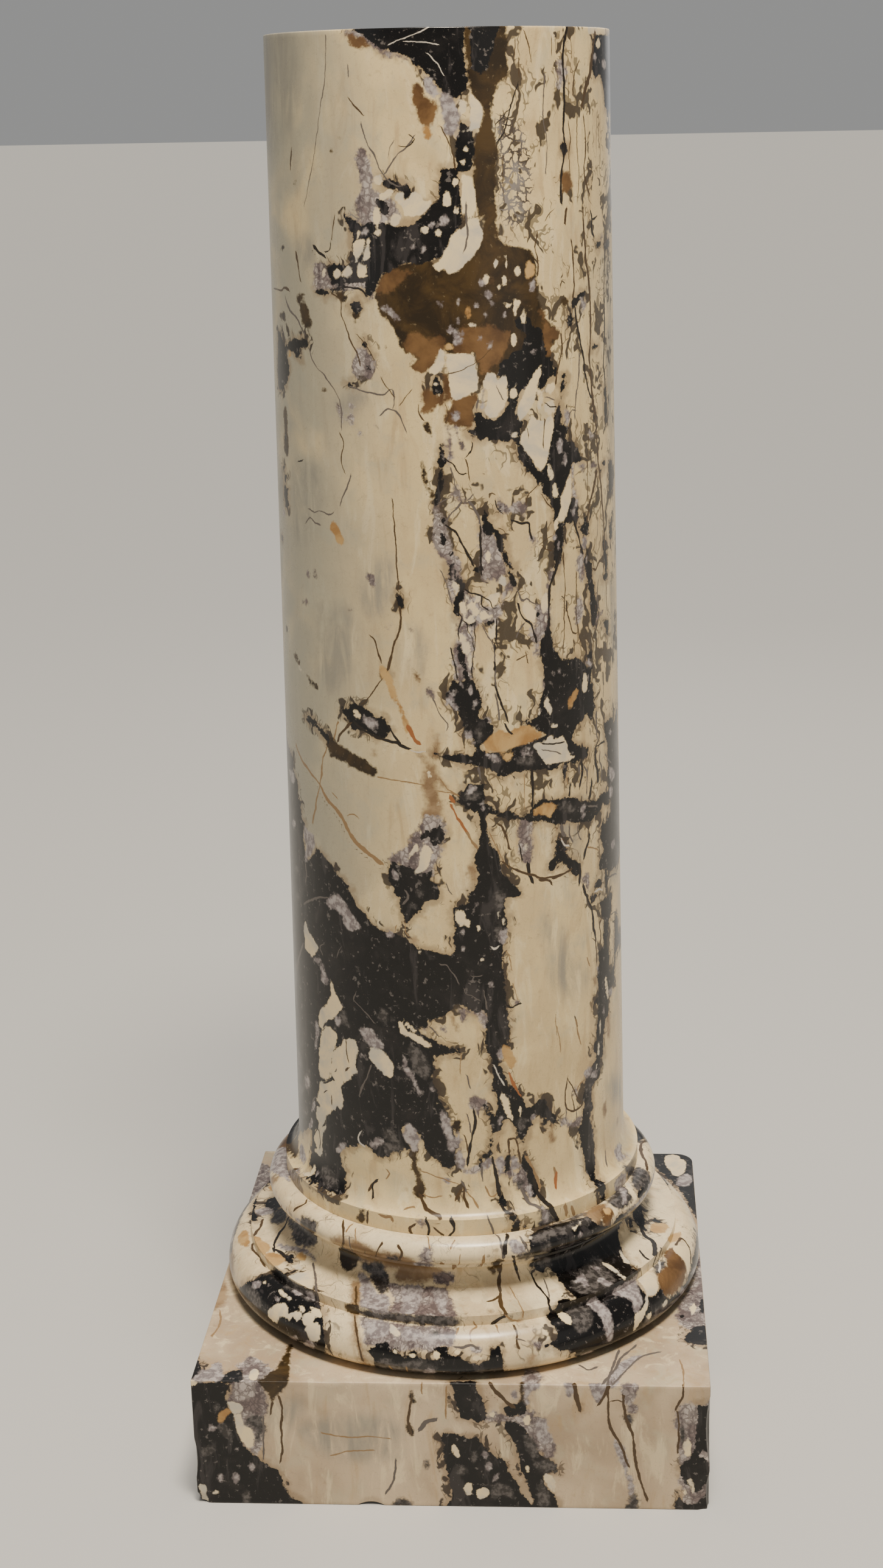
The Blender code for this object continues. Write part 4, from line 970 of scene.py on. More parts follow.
            (-4.1, 742.6), (-2.3, 733.4), (-2.9, 716), (-15.2, 716), (-16.8, 730.8), (-18, 745.2)),
        block(BONE, (-6, 783.4), (-4.8, 779.5), (-3.5, 773), (-4.5, 757), (-6.4, 750.5), (-9.1, 748),
            (-7.9, 757), (-7.6, 767.6)),
        block(BONE, (-8.3, 782), (-7.9, 775.5), (-11.4, 762.4), (-12.6, 759.7), (-10.6, 773)),
        block(LILAC, (-17, 749), (-15.2, 744), (-15.1, 738), (-16.2, 740)),
        pebble(BONE, -7.3, 797, 1.2, 7, 20),
        pebble(FAWN, -10.2, 786.5, 2.6, 8, 20),
        patch(FAWN, (8, 757), (9.6, 759), (11, 750), (10.8, 737), (8.6, 744)),
        vein(1.8, GREY, (1, 736), (1.6, 728), (2.6, 724)),
        patch(MIST_AND_SHADE, (6, 732), (9.8, 728), (9.8, 716), (7, 718)),
    ]


def shaft_knee_marks():
    """The shaft's marks from 725 to 540 mm: the great black mass and the tall cream clasts."""
    return [
        patch(INK, (-84, 735), (-56, 735), (-38.6, 731), (-35, 719), (-31.7, 709), (-30, 698.5),
            (-27.2, 691.5), (-26.1, 683.8), (-22.3, 676), (-16.5, 674.6), (-13, 669.3), (-9.9, 662.8),
            (-8.3, 657.5), (-6, 657.5), (-2.9, 655.5), (0.6, 651), (2.9, 653.6), (3.3, 661.4), (2.6, 670.7),
            (3.7, 680), (3.1, 694.3), (2.5, 706), (4.1, 708.8), (7.2, 710), (8.3, 712.8), (8.1, 719.3),
            (9.8, 728), (12, 734), (20.8, 734), (20.3, 720), (20.1, 699.6), (20.7, 687.8), (20.3, 673.3),
            (19, 661.4), (19.1, 644.3), (18.8, 624.6), (19.2, 605), (19.9, 585), (20.3, 569.3), (20.7, 560),
            (20, 550), (19.9, 530), (13.6, 530), (12.8, 552), (13, 563), (13.7, 572), (13, 577),
            (11.8, 582.5), (9.5, 580.5), (7.5, 583.8), (4.8, 587.8), (3.3, 590), (2.1, 586.4), (-0.6, 580),
            (-2.1, 574.6), (-5.6, 572), (-6.2, 562), (-8, 562), (-10.4, 559), (-7, 550), (-3, 543),
            (-1, 530), (-84, 530)),
        patch(INK, (-16.5, 735), (-15.1, 719), (-14.7, 706), (-13.4, 695.7), (-13, 688), (-10.6, 694.3),
            (-7.9, 703), (-6.8, 711.4), (-4.5, 719.3), (-2.4, 735)),
        vein(1.0, TAN, (-13, 690), (-13, 677), (-12, 672)),
        pebble(SMOKE, -10.5, 707, 2.6, 9, 20),
        vein(2.4, GREY, (-12.5, 726), (-11.6, 718), (-13.4, 710)),
        pebble(SMOKE, -8.0, 724, 1.6, 9, 30),
        pebble(FAWN, -17.2, 700, 0.9, 4),
        vein(1.3, TAN, (-16, 684), (-16.6, 677)),
        pebble(FAWN, -6.4, 695.5, 0.8, 3),
        patch(LILAC, (-20, 677), (-17.4, 675), (-17, 669), (-19.4, 668)),
        patch(FAWN, (-10.2, 674), (-9.2, 668), (-9.8, 662.6), (-11.4, 664)),
        pebble(BONE, -8.4, 653.5, 1.5, 5),
        block(BONE, (3.9, 705), (6.4, 703.5), (7.2, 698), (6.6, 693), (6.2, 684), (5, 683), (4.2, 690),
            (3.6, 697)),
        pebble(BONE, 7.5, 688, 1.5, 10),
        pebble(LILAC, 6.0, 679, 1.0, 8),
        pebble(LILAC, 10.7, 710, 0.9, 6),
        pebble(BONE, 11.1, 681, 1.0, 6, 10),
        pebble(LILAC, 6.1, 658, 0.9, 4),
        pebble(BONE, 12.2, 643.5, 0.8, 4),
        vein(1.2, GREY, (8.6, 624.6), (10.6, 624.4), (11.8, 625)),
        pebble(LILAC, 14.9, 612.8, 1.7, 6.5),
        vein(1.1, GREY, (-1.7, 639.5), (0.6, 638.4), (2.1, 630), (3.7, 622), (4.4, 615.4)),
        vein(1.0, GREY, (6, 610), (6.4, 604), (8.3, 601), (11, 594.3)),
        patch(SMOKE, (16.6, 720), (19, 724), (20.2, 716), (19.4, 704), (17.6, 700), (16.4, 708)),
        block(BONE, (17.4, 700), (18.3, 700), (18.2, 691), (17.7, 690)),
        block(BONE, (18.8, 692), (19.8, 691), (20, 681), (19.2, 683)),
        patch(SMOKE, (17.4, 687), (18.6, 685), (18.8, 671), (17.6, 668), (17, 676)),
        patch(LILAC, (18.6, 675), (20.4, 678), (20.2, 664), (19, 661), (18.2, 668)),
        vein(1.8, WHITE, (15.4, 658), (16.4, 655), (17.6, 658)),
        vein(1.4, GREY, (12.4, 606), (12.9, 596), (13.4, 584)),
        patch(OLIVE, (17.2, 569), (18.6, 566), (18.2, 560), (19.2, 554), (20.8, 552), (20, 540), (19, 533),
            (17.2, 544), (16.3, 556)),
        vein(2.4, BLACK, (20.4, 584.5), (21.8, 582), (23.4, 584.4), (24.7, 585.5)),
        patch(DOVE, (21.8, 586), (23, 591), (24.6, 590), (24.4, 585), (22.6, 583)),
        vein(1.3, TAN, (20.3, 651), (21.5, 640), (22.1, 627)),
        vein(1.0, TAN, (22.2, 611), (23.2, 598), (23.8, 590)),
        block(BONE, (-16.6, 569), (-15.2, 566), (-13, 557), (-10, 551.5), (-7.5, 546.5), (-5, 541),
            (-6, 536), (-10, 543), (-13, 548), (-15.5, 553), (-16.4, 560)),
        block(BONE, (-15, 571.5), (-13.8, 569), (-11.8, 562), (-10.4, 558), (-11.6, 557), (-13, 561)),
        patch(DOVE, (-8.6, 566), (-6.6, 570), (-5.8, 568), (-5.8, 561), (-8, 562)),
        patch(DOVE, (3.5, 588), (6.4, 586), (6.4, 576), (5, 571), (4.4, 580)),
        patch(FAWN, (1.5, 576), (2.6, 572), (3.6, 563), (3.8, 558), (2.6, 562), (2.0, 569)),
        patch(DOVE, (-3.5, 567), (-1, 565), (0.4, 559), (0.4, 556), (-1.8, 560)),
        vein(1.6, GREY, (-5.6, 563), (-4.4, 560.5), (-3, 552)),
        patch(DOVE, (8, 584), (11.5, 585), (13.4, 576), (13.8, 569), (12.6, 560), (11.2, 570), (9, 578)),
        vein(1.5, GREY, (-32, 593.5), (-33.3, 584), (-32.4, 580.5), (-30.5, 576.5), (-27.5, 569),
            (-25, 560)),
        patch(SMOKE, (-21.1, 579), (-20.3, 574.6), (-20.5, 564), (-21.5, 560), (-23.6, 569.3)),
        pebble(SMOKE, -18.2, 568, 1.4, 8, 20),
        patch(LILAC, (-45, 692), (-42.5, 702), (-39.8, 706.8), (-36.3, 702), (-34.4, 693), (-32.1, 683.8),
            (-29.4, 676), (-30.2, 672), (-34.4, 667.4), (-37.1, 675), (-38, 683), (-39.4, 688),
            (-42.9, 689)),
        block(BONE, (-60.9, 640), (-60.7, 650), (-58.8, 655.5), (-57.2, 645.7), (-54.9, 643.7),
            (-53, 640.4), (-50.3, 632.5), (-51.8, 623.3), (-54.9, 616), (-57, 619), (-60.3, 621),
            (-59.8, 630)),
        block(LILAC, (-49.9, 613), (-48.3, 615.4), (-46.8, 607.5), (-45.4, 597), (-46, 590.4),
            (-49.1, 591.7), (-49.3, 601)),
        patch(LILAC, (-54, 614), (-50, 620), (-48.6, 616), (-51, 611)),
        block(BONE, (-43.8, 597), (-42.7, 596), (-42.2, 588), (-40.2, 580), (-38.5, 570.7), (-41, 560),
            (-42.9, 551), (-45.6, 548.3), (-48.3, 540), (-49, 532), (-51.8, 532), (-51.4, 547),
            (-49.9, 556.2), (-47.2, 562.8), (-45.2, 572), (-43.7, 581.2), (-44.1, 589)),
        patch(SMOKE, (-38.6, 563), (-36.8, 560), (-35.6, 549), (-38, 547), (-39.2, 553)),
        patch(LILAC, (-42.2, 553), (-40.2, 556), (-39.6, 546), (-41.4, 543)),
        pebble(SMOKE, -31.3, 622.5, 1.2, 5, -30),
        vein(1.2, GREY, (-40.6, 630), (-39.4, 638), (-38, 645)),
        vein(2.2, GREY, (-60, 676), (-55, 686), (-50, 694), (-44, 700)),
        vein(3.0, GREY, (-57.6, 728), (-57, 716), (-58, 706)),
        pebble(SMOKE, -66.5, 711, 4.5, 7, 30),
        pebble(SMOKE, -65.5, 680, 5.0, 9, 20),
        pebble(SMOKE, -62.5, 648, 2.4, 8, 10),
        vein(4.0, GREY, (-62, 624), (-66, 606), (-69, 592), (-70, 580)),
        vein(1.4, GREY, (-47, 640), (-49.5, 634), (-48, 626)),
        vein(2.6, UMBER, (32.6, 729.4), (36, 726.8), (37.3, 721)),
        vein(2.2, UMBER, (37.5, 727.5), (42, 729.4), (46, 732)),
        vein(4.2, BLACK, (50, 735), (50.1, 724), (49.6, 711)),
        patch(DOVE, (51, 720), (54.8, 719), (55, 706), (54.6, 697), (52.4, 700), (51.2, 709)),
        vein(3.6, BLACK, (51.5, 708), (52.4, 699.6), (54, 688), (55.6, 677), (56.5, 668), (57, 659),
            (57, 651), (57.8, 643), (58.4, 632.5)),
        vein(1.8, UMBER, (56.4, 638), (58.2, 631), (58.6, 618), (58.9, 604)),
        patch(INK, (58.8, 704), (61, 706), (62.6, 702), (62.4, 696), (59.6, 697), (57.6, 694), (57, 690),
            (58.4, 699)),
        patch(INK, (55.4, 689), (57.4, 690), (60, 690.5), (61.8, 689.4), (61.4, 686), (58.6, 686.6),
            (57, 681), (55.6, 681)),
        vein(2.2, WHITE, (58.2, 693), (60.5, 694), (63, 691)),
        patch(INK, (62.4, 735), (67, 735), (66.6, 715), (67.4, 700), (66.8, 688), (66.2, 678), (71.7, 677),
            (70.5, 668), (70, 656), (68.2, 646), (67.2, 632.5), (66.4, 616.7), (67.8, 608.8), (68.8, 601),
            (68.2, 588), (69.4, 578.6), (71.3, 582.5), (73.6, 590.4), (73, 601), (73.4, 616.7), (74, 632.5),
            (75.2, 644), (77.9, 639), (79.6, 618), (84, 610), (84, 598), (80.2, 602), (75.9, 597),
            (74, 581), (72.5, 573), (73.6, 565.4), (72, 560), (68.6, 561), (67, 551), (66.4, 530),
            (60, 530), (59.4, 553), (56.4, 556), (56.8, 558.6), (59.5, 562), (59.7, 572), (58.7, 588),
            (59.7, 603.6), (59.3, 614), (60, 621), (61.8, 619), (63.4, 618), (63.9, 628), (64.1, 638),
            (64.7, 648), (64.3, 655), (62.4, 659), (62, 667), (61.6, 677), (64.8, 680), (65.2, 690),
            (64.9, 714), (63.8, 720), (61.4, 713), (61.8, 720)),
        vein(2.6, UMBER, (62.4, 656), (61, 649), (61.6, 638), (61.2, 626)),
        patch(LILAC, (58.9, 625), (60.1, 622), (60.2, 604), (59.6, 588), (59, 597), (58.8, 612)),
        block(BONE, (64, 579), (65.6, 578), (66.6, 565), (67.6, 551), (66, 550), (65, 560), (64.3, 570)),
        patch(SMOKE, (62, 578), (63.4, 577), (63, 569), (62, 570)),
        patch(LILAC, (67.4, 560), (70.6, 559), (70, 552), (67.8, 551)),
        # Painted shade: cream marble at the right edge, greyed as mist where it only lies in shade
        patch(MIST_AND_SHADE, (68, 716), (79, 722), (79, 690), (68, 690)),
        patch(INK, (71.4, 735), (77.4, 735), (76, 712), (73, 708)),
        vein(2.4, GREY, (68, 700), (73, 698), (78, 694)),
        vein(2.2, GREY, (70, 652), (74, 650), (78, 644)),
        patch(MIST_AND_SHADE, (35, 688), (39, 672), (42.4, 655), (44, 635), (48, 618), (52, 600), (52, 585),
            (46, 572), (41, 585), (37, 605), (36, 625), (35.4, 650), (33, 670)),
        vein(1.8, TAN, (53.3, 617), (53.8, 612), (54.5, 606)),
        vein(2.2, UMBER, (46.5, 551.5), (47, 545), (47.4, 538)),
        vein(1.0, TAN, (38, 562), (38.1, 551), (38.4, 536)),
        patch(FAWN, (56.4, 588), (58.2, 586), (58.4, 578), (57, 580)),
    ]


def shaft_foot_marks():
    """The shaft's marks from 540 to 355 mm: the black mass's lower edge and its shards."""
    return [
        patch(INK, (-84, 545), (-53.6, 545), (-52.4, 535), (-50.4, 530), (-48.2, 540), (-43, 545),
            (-10, 545), (-6.8, 536), (-4.7, 529), (-3.9, 521), (-4.8, 516), (-4.7, 507), (-5.4, 503),
            (-4.7, 495), (-3.7, 484.5), (-2.5, 472.6), (-1.4, 463.4), (-0.2, 453), (-0.2, 441), (0.8, 440),
            (2.1, 430), (2.5, 422.6), (3.2, 415), (1.9, 405.5), (1.7, 392.4), (0.2, 384.5), (-2.1, 389),
            (-3.3, 395), (-5.2, 400), (-7.2, 406.8), (-8.7, 417.4), (-10.6, 428), (-12.4, 435.8),
            (-13.7, 439.7), (-15.7, 433), (-15, 419), (-13.4, 416), (-12.8, 409), (-13.7, 405.5),
            (-15.3, 408), (-18.4, 403), (-20.3, 400), (-21.5, 395), (-24.2, 392.4), (-27.7, 399),
            (-29.8, 402), (-32.9, 400), (-35, 395), (-38.3, 392.4), (-40.2, 387), (-41.8, 378), (-41, 362),
            (-39.4, 340), (-58.6, 340), (-59.2, 372), (-60.3, 387), (-65, 380), (-70.4, 369), (-75.8, 362),
            (-84, 350)),
        block(BONE, (-51, 514.7), (-49.5, 528), (-47.2, 537), (-44.9, 538.4), (-41, 534.5), (-42, 520),
            (-43.9, 510.8), (-45, 497.6), (-46, 471.3), (-51.8, 466), (-52.8, 478), (-51.8, 501.6)),
        patch(LILAC, (-53.8, 536), (-52, 534), (-52, 520), (-53.4, 509), (-54.8, 499), (-54.2, 515)),
        block(BONE, (-39.8, 520), (-38.7, 529), (-36.3, 530), (-36, 533.8), (-32.9, 532.5), (-31.5, 521.3),
            (-32.7, 514.7), (-33.6, 500), (-32.7, 493), (-35, 487), (-36, 480.5), (-38.7, 475.3),
            (-40.2, 466), (-39.2, 454.2), (-39.4, 443.7), (-41, 437.8), (-42.9, 442.4), (-43.3, 434.5),
            (-45.6, 432), (-46, 428), (-49.1, 420), (-48.9, 410.8), (-49.5, 401.6), (-51, 395),
            (-51.6, 383), (-52, 361), (-54.9, 361), (-58.4, 362), (-55.3, 370), (-56.5, 374), (-58, 380.5),
            (-56.5, 392.4), (-54.1, 397.6), (-53.4, 405.5), (-55.7, 410.8), (-54.9, 422.6), (-52.2, 430.5),
            (-54.9, 433), (-54.1, 439.7), (-52.6, 447.6), (-52.2, 459.5), (-49.1, 464.7), (-46, 467.4),
            (-43.3, 474), (-45.4, 476), (-44.9, 492.4), (-43.9, 506.8), (-42.1, 514.7)),
        vein(1.6, UMBER, (-37.2, 528), (-37, 515), (-36.2, 503)),
        pebble(FAWN, -38.6, 499, 1.8, 3, 30),
        vein(2.4, UMBER, (-37.8, 490), (-36.4, 496)),
        vein(2.0, GREY, (-43, 484), (-42.2, 488)),
        vein(2.4, BLACK, (-50, 461), (-47.4, 466), (-44.4, 473)),
        vein(2.2, BLACK, (-49.6, 450), (-47.8, 454.5)),
        vein(1.8, UMBER, (-45.4, 450), (-45.2, 440)),
        vein(2.4, BLACK, (-51.4, 404), (-49.8, 408), (-49.6, 413)),
        vein(1.8, BLACK, (-57.8, 384), (-54.4, 396), (-53.2, 382), (-53.8, 366)),
        patch(LILAC, (-57.6, 426), (-56.2, 427), (-57, 418), (-59, 411), (-59.6, 413)),
        patch(SMOKE, (-65, 450), (-62.6, 458), (-60.4, 466), (-59, 453), (-61, 440), (-65, 431),
            (-66.2, 437)),
        patch(LILAC, (-64, 448), (-60.8, 456), (-60.4, 446), (-63.6, 437)),
        patch(SMOKE, (-75, 470), (-69, 474), (-68, 462), (-73, 452), (-78, 455)),
        patch(SMOKE, (-70, 432), (-66, 428), (-72, 410), (-76, 402), (-76, 416)),
        patch(SMOKE, (-66, 408), (-62.4, 412), (-64, 402), (-69, 392), (-70, 398)),
        patch(LILAC, (-60, 402), (-57.8, 404), (-58.6, 395), (-60.4, 388), (-63, 386), (-61, 394)),
        vein(2.0, GREY, (-55.4, 436), (-57.6, 430), (-58.4, 421)),
        vein(4.0, BLACK, (-58.2, 392), (-58.8, 380), (-58.4, 366), (-58.6, 350)),
        patch(LILAC, (-31.5, 549), (-27, 551), (-23.5, 542), (-21.8, 533), (-24, 529), (-27, 530),
            (-29.5, 538)),
        patch(BONE, (-26.5, 530), (-23, 529), (-19.8, 520), (-18.6, 512), (-18.7, 502), (-19.5, 495.6),
            (-22, 498), (-24.5, 506), (-26.5, 512), (-27.6, 520)),
        patch(LILAC, (-31.4, 521), (-29.6, 517), (-29.8, 512), (-31, 514)),
        vein(2.0, GREY, (-26.8, 507), (-29.4, 484), (-32, 466)),
        patch(LILAC, (-15.6, 527), (-13.8, 523), (-13.9, 514), (-13, 509), (-11.4, 501), (-10, 491),
            (-9.2, 480), (-10, 478), (-11, 487), (-12.6, 498), (-14.4, 506), (-14.8, 516)),
        pebble(SMOKE, -17.2, 495, 2.0, 3.5, -30),
        patch(LILAC, (-6.4, 490), (-4.8, 489), (-4.4, 483), (-5.4, 482)),
        pebble(BONE, -3.5, 468.5, 0.9, 5),
        patch(SMOKE, (-12, 539), (-8, 532), (-6, 520), (-7, 500), (-9.6, 506), (-12.6, 522)),
        patch(LILAC, (-3.1, 458), (-2.5, 461), (-1.5, 459), (0, 447), (1, 432), (2, 419), (1.8, 410),
            (0.8, 406.8), (-0.3, 413), (-1.2, 425), (-2, 438), (-3, 450)),
        patch(LILAC, (-15.9, 431), (-13.6, 441), (-11.6, 434), (-9.4, 422), (-10.6, 416), (-12, 406),
            (-13.6, 413), (-15.2, 422)),
        patch(SMOKE, (-22.4, 424), (-19.8, 430), (-18, 420), (-16.2, 415), (-19, 413), (-22, 417)),
        patch(LILAC, (-27, 412), (-24, 416.5), (-23, 412), (-25.6, 406)),
        patch(SMOKE, (-22, 410), (-18, 412), (-14.6, 408), (-18, 402), (-21.6, 398)),
        patch(LILAC, (-43.6, 383), (-41, 394), (-38.6, 396), (-39.6, 389), (-41.8, 381)),
        vein(2.4, WHITE, (-31.6, 419), (-33, 411), (-32.2, 404), (-30.6, 401)),
        patch(LILAC, (-28, 406), (-26, 409), (-25.8, 403), (-27.6, 402)),
        patch(OLIVE, (-12.8, 409), (-11, 408), (-10.8, 396), (-11.2, 386), (-10, 382), (-9.6, 372),
            (-9, 362), (-8.6, 350), (-12, 350), (-11.8, 370), (-12.6, 380), (-13.8, 380.6), (-12.8, 390)),
        vein(3.6, UMBER, (-25.6, 361.5), (-27.4, 355), (-28.8, 347)),
        vein(1.6, TAN, (-22, 378), (-21, 373), (-22.2, 366)),
        vein(1.4, TAN, (-9.9, 382.5), (-5.2, 377), (-2.9, 374), (-0.6, 371), (2.6, 366.6)),
        patch(LILAC, (-2.6, 374), (-0.2, 374), (-1, 367.6)),
        vein(2.4, GREY, (3.8, 371), (4.4, 365), (5.0, 357)),
        vein(3.2, UMBER, (3.6, 361), (2.6, 355), (1.6, 348)),
        vein(2.0, GREY, (6.2, 504), (6.8, 495), (7.3, 488)),
        vein(1.0, TAN, (4.6, 531), (4.2, 518), (4, 506)),
        patch(DOVE, (7.2, 478), (10.4, 478), (12.2, 470), (12, 463), (10.6, 463), (9.6, 454), (8.6, 457),
            (8.2, 462), (7, 466)),
        vein(3.0, BLACK, (8.1, 460), (8.7, 447.6), (8.3, 436), (7.2, 422.6), (6.6, 413.4), (6, 400),
            (5.6, 390)),
        vein(1.6, GREY, (6, 455), (6.7, 444), (7.2, 432)),
        vein(1.6, UMBER, (4.8, 429), (5.6, 420), (6, 407)),
        patch(OLIVE, (0.8, 442), (3.6, 447), (4, 440), (3.4, 433), (2.4, 428), (1.2, 436)),
        patch(LILAC, (2.2, 432), (3.2, 432), (3.2, 416), (2.4, 413)),
        patch(LILAC, (2, 407), (3.4, 413), (5, 402), (5.2, 391), (3.4, 387), (1.9, 397)),
        patch(DOVE, (4.8, 386), (7, 386), (9.5, 387), (11, 388), (10.6, 381), (8, 379), (5.4, 380)),
        patch(INK, (12.0, 464.7), (13.7, 456.8), (15.3, 451.6), (15.9, 459.5), (15.9, 471.3), (14.9, 479),
            (14.5, 488.4), (14.7, 505.5), (14.7, 518.7), (14.1, 534.5), (13.2, 548), (18.8, 548),
            (18.4, 537), (16.6, 530.5), (16.8, 520), (18, 509.5), (19.1, 500), (19.9, 487), (21.9, 480.5),
            (23.8, 471.3), (25.7, 463.4), (26.7, 454.2), (28.4, 455.5), (29.9, 460.8), (32.6, 459.5),
            (34.1, 453), (35.7, 442.4), (37.6, 433), (38.8, 429), (36.5, 426.6), (35.3, 430.5), (34.1, 436),
            (33.8, 428), (32.4, 428), (32.2, 437), (31, 445), (29.5, 443.7), (27.9, 439.7), (28.5, 433),
            (27.2, 429), (26.8, 421), (25.3, 413.4), (25.1, 400), (25.7, 389.7), (27.7, 378), (28.8, 367.4),
            (29.8, 345), (26, 345), (25.6, 370), (24.2, 382), (24.2, 396), (24.4, 408), (23, 421),
            (21.8, 433), (20.2, 442), (18.4, 444), (16.8, 431), (14.8, 429), (13.8, 415), (14.6, 404),
            (13, 398), (10.6, 399), (10.2, 388), (11, 400), (13, 407), (13.3, 413.4), (13.2, 426.6),
            (14.1, 433), (13.9, 442.4), (12.6, 454)),
        block(BONE, (17.2, 483), (19.9, 471.3), (20.7, 455.5), (21.5, 441), (19.5, 447.6), (18, 460.8),
            (17.2, 471.3)),
        vein(2.0, WHITE, (15.3, 513.4), (16.8, 500), (18.4, 488)),
        pebble(LILAC, 17.0, 444, 1.2, 8),
        pebble(BONE, 23.8, 451, 1.1, 13),
        pebble(LILAC, 28.4, 440, 1.4, 9, -20),
        patch(SMOKE, (22.6, 440), (25.6, 440), (25.2, 428), (23.4, 430)),
        vein(2.6, UMBER, (19.9, 418.7), (22.2, 417.4), (23, 403), (23.6, 387)),
        vein(2.0, UMBER, (19.6, 419), (19.9, 400)),
        block(INK, (18, 396), (20, 399), (20.2, 380), (18.2, 378)),
        patch(LILAC, (20.4, 394), (23, 393), (23.2, 379), (20.6, 380)),
        patch(LILAC, (15.2, 395), (17.8, 396), (17.8, 380), (16, 374)),
        vein(3.8, BLACK, (14.1, 398), (14.9, 380.5), (15.5, 370), (16.2, 350)),
        vein(1.8, GREY, (10.4, 388), (10.6, 370)),
        patch(LILAC, (11, 391), (13.6, 398), (13.8, 390), (11.6, 383)),
        patch(DOVE, (18.5, 378), (20, 381), (22, 377), (25, 383), (26.5, 374), (28, 362), (28.6, 348),
            (24, 348), (22, 360), (20, 369)),
        patch(HONEY, (18.6, 538), (19.6, 536), (20.6, 531), (21.4, 526), (22.8, 519), (22.8, 512),
            (21.8, 506), (20.8, 506), (19.4, 513), (18.6, 522), (18.2, 530)),
        patch(LILAC, (16.6, 532), (18, 533), (18.2, 520), (17, 520)),
        vein(2.8, RUSTY, (20.3, 502), (21.7, 488), (22.8, 479), (24, 471)),
        vein(3.0, TAN, (25.8, 393), (28, 377), (29.6, 362), (30.4, 350)),
        vein(1.2, TAN, (38.4, 547), (39.4, 529), (39.9, 514)),
        vein(1.8, TAN, (46.9, 547), (47.7, 530.5), (49.3, 513)),
        patch(INK, (60, 548), (58.9, 534.5), (57.7, 518.7), (57, 506.8), (55.8, 503), (55.6, 497.6),
            (57, 492.4), (56.8, 483), (55, 479), (54.2, 472), (51.6, 467.4), (50.8, 459.5), (50.4, 453),
            (49.2, 443.7), (50, 433), (49.4, 421.3), (47.7, 409.5), (45.4, 411), (47.3, 401.6),
            (48.5, 389.7), (49.2, 374), (50, 360.8), (51, 345), (55.4, 345), (55.6, 380.5), (55, 396.3),
            (53.7, 405.5), (53.3, 418.7), (54.7, 426.6), (54.7, 439.7), (55.4, 455.5), (58.9, 460.8),
            (59.9, 474), (60.8, 483), (63, 482), (62, 492.4), (62.4, 505.5), (63.6, 518.7), (65.1, 533),
            (66.8, 548)),
        block(BONE, (59.5, 530), (60.6, 530), (60.5, 512), (59.4, 510)),
        block(BONE, (58.8, 503), (60, 504), (59.8, 487), (58.1, 487)),
        block(BONE, (57.4, 480), (58.5, 479), (58.4, 471), (57.4, 472)),
        patch(LILAC, (62.4, 547), (63.6, 545), (63.2, 535), (62.4, 536)),
        patch(LILAC, (55, 469), (57.6, 470), (57.4, 462), (55.6, 463)),
        patch(LILAC, (50.8, 478), (54, 478), (54.6, 471), (52, 466), (50.6, 470)),
        patch(SMOKE, (51.4, 459), (54.6, 459), (54.2, 450), (51.4, 452)),
        patch(SMOKE, (50.6, 436), (53.6, 438), (53.2, 429), (51, 428)),
        vein(2.0, UMBER, (42.7, 479), (41.9, 466), (41.5, 453), (41.9, 441), (44.2, 433.6), (47.6, 433),
            (49.6, 436)),
        vein(1.6, UMBER, (42.7, 477), (44.2, 467), (45.4, 459.5), (46.4, 452), (48, 444), (49, 440)),
        vein(1.4, UMBER, (44.4, 456), (45, 442), (45.6, 433)),
        vein(1.6, TAN, (50.4, 466), (48, 463), (46.8, 457)),
        patch(DOVE, (44.8, 460), (47.2, 459), (46.8, 451), (44.8, 453)),
        vein(1.4, GREY, (46.6, 431), (46.3, 420)),
        vein(1.4, GREY, (41.8, 440), (41.7, 425)),
        patch(DOVE, (38.5, 430), (41, 427), (42.4, 423), (45, 420), (48, 421), (49.8, 424), (49.4, 417),
            (47.5, 410), (45.4, 411), (42, 416), (40, 421)),
        patch(FAWN, (35, 424), (36.2, 423), (36.2, 410), (37, 408), (36.8, 403), (35.2, 403), (35, 412)),
        vein(4.0, TAN, (36.3, 369), (37, 360), (36.6, 352)),
        patch(FAWN, (65.6, 530), (68, 524), (67.6, 502), (66, 504)),
        patch(MIST_AND_SHADE, (63, 450), (72, 442), (80, 428), (82, 400), (72, 408), (63, 420)),
        pebble(FAWN, 74, 378.5, 2.6, 9, 0),
        patch(FAWN, (61.6, 418), (63.8, 420), (64, 405), (62, 404)),
    ]


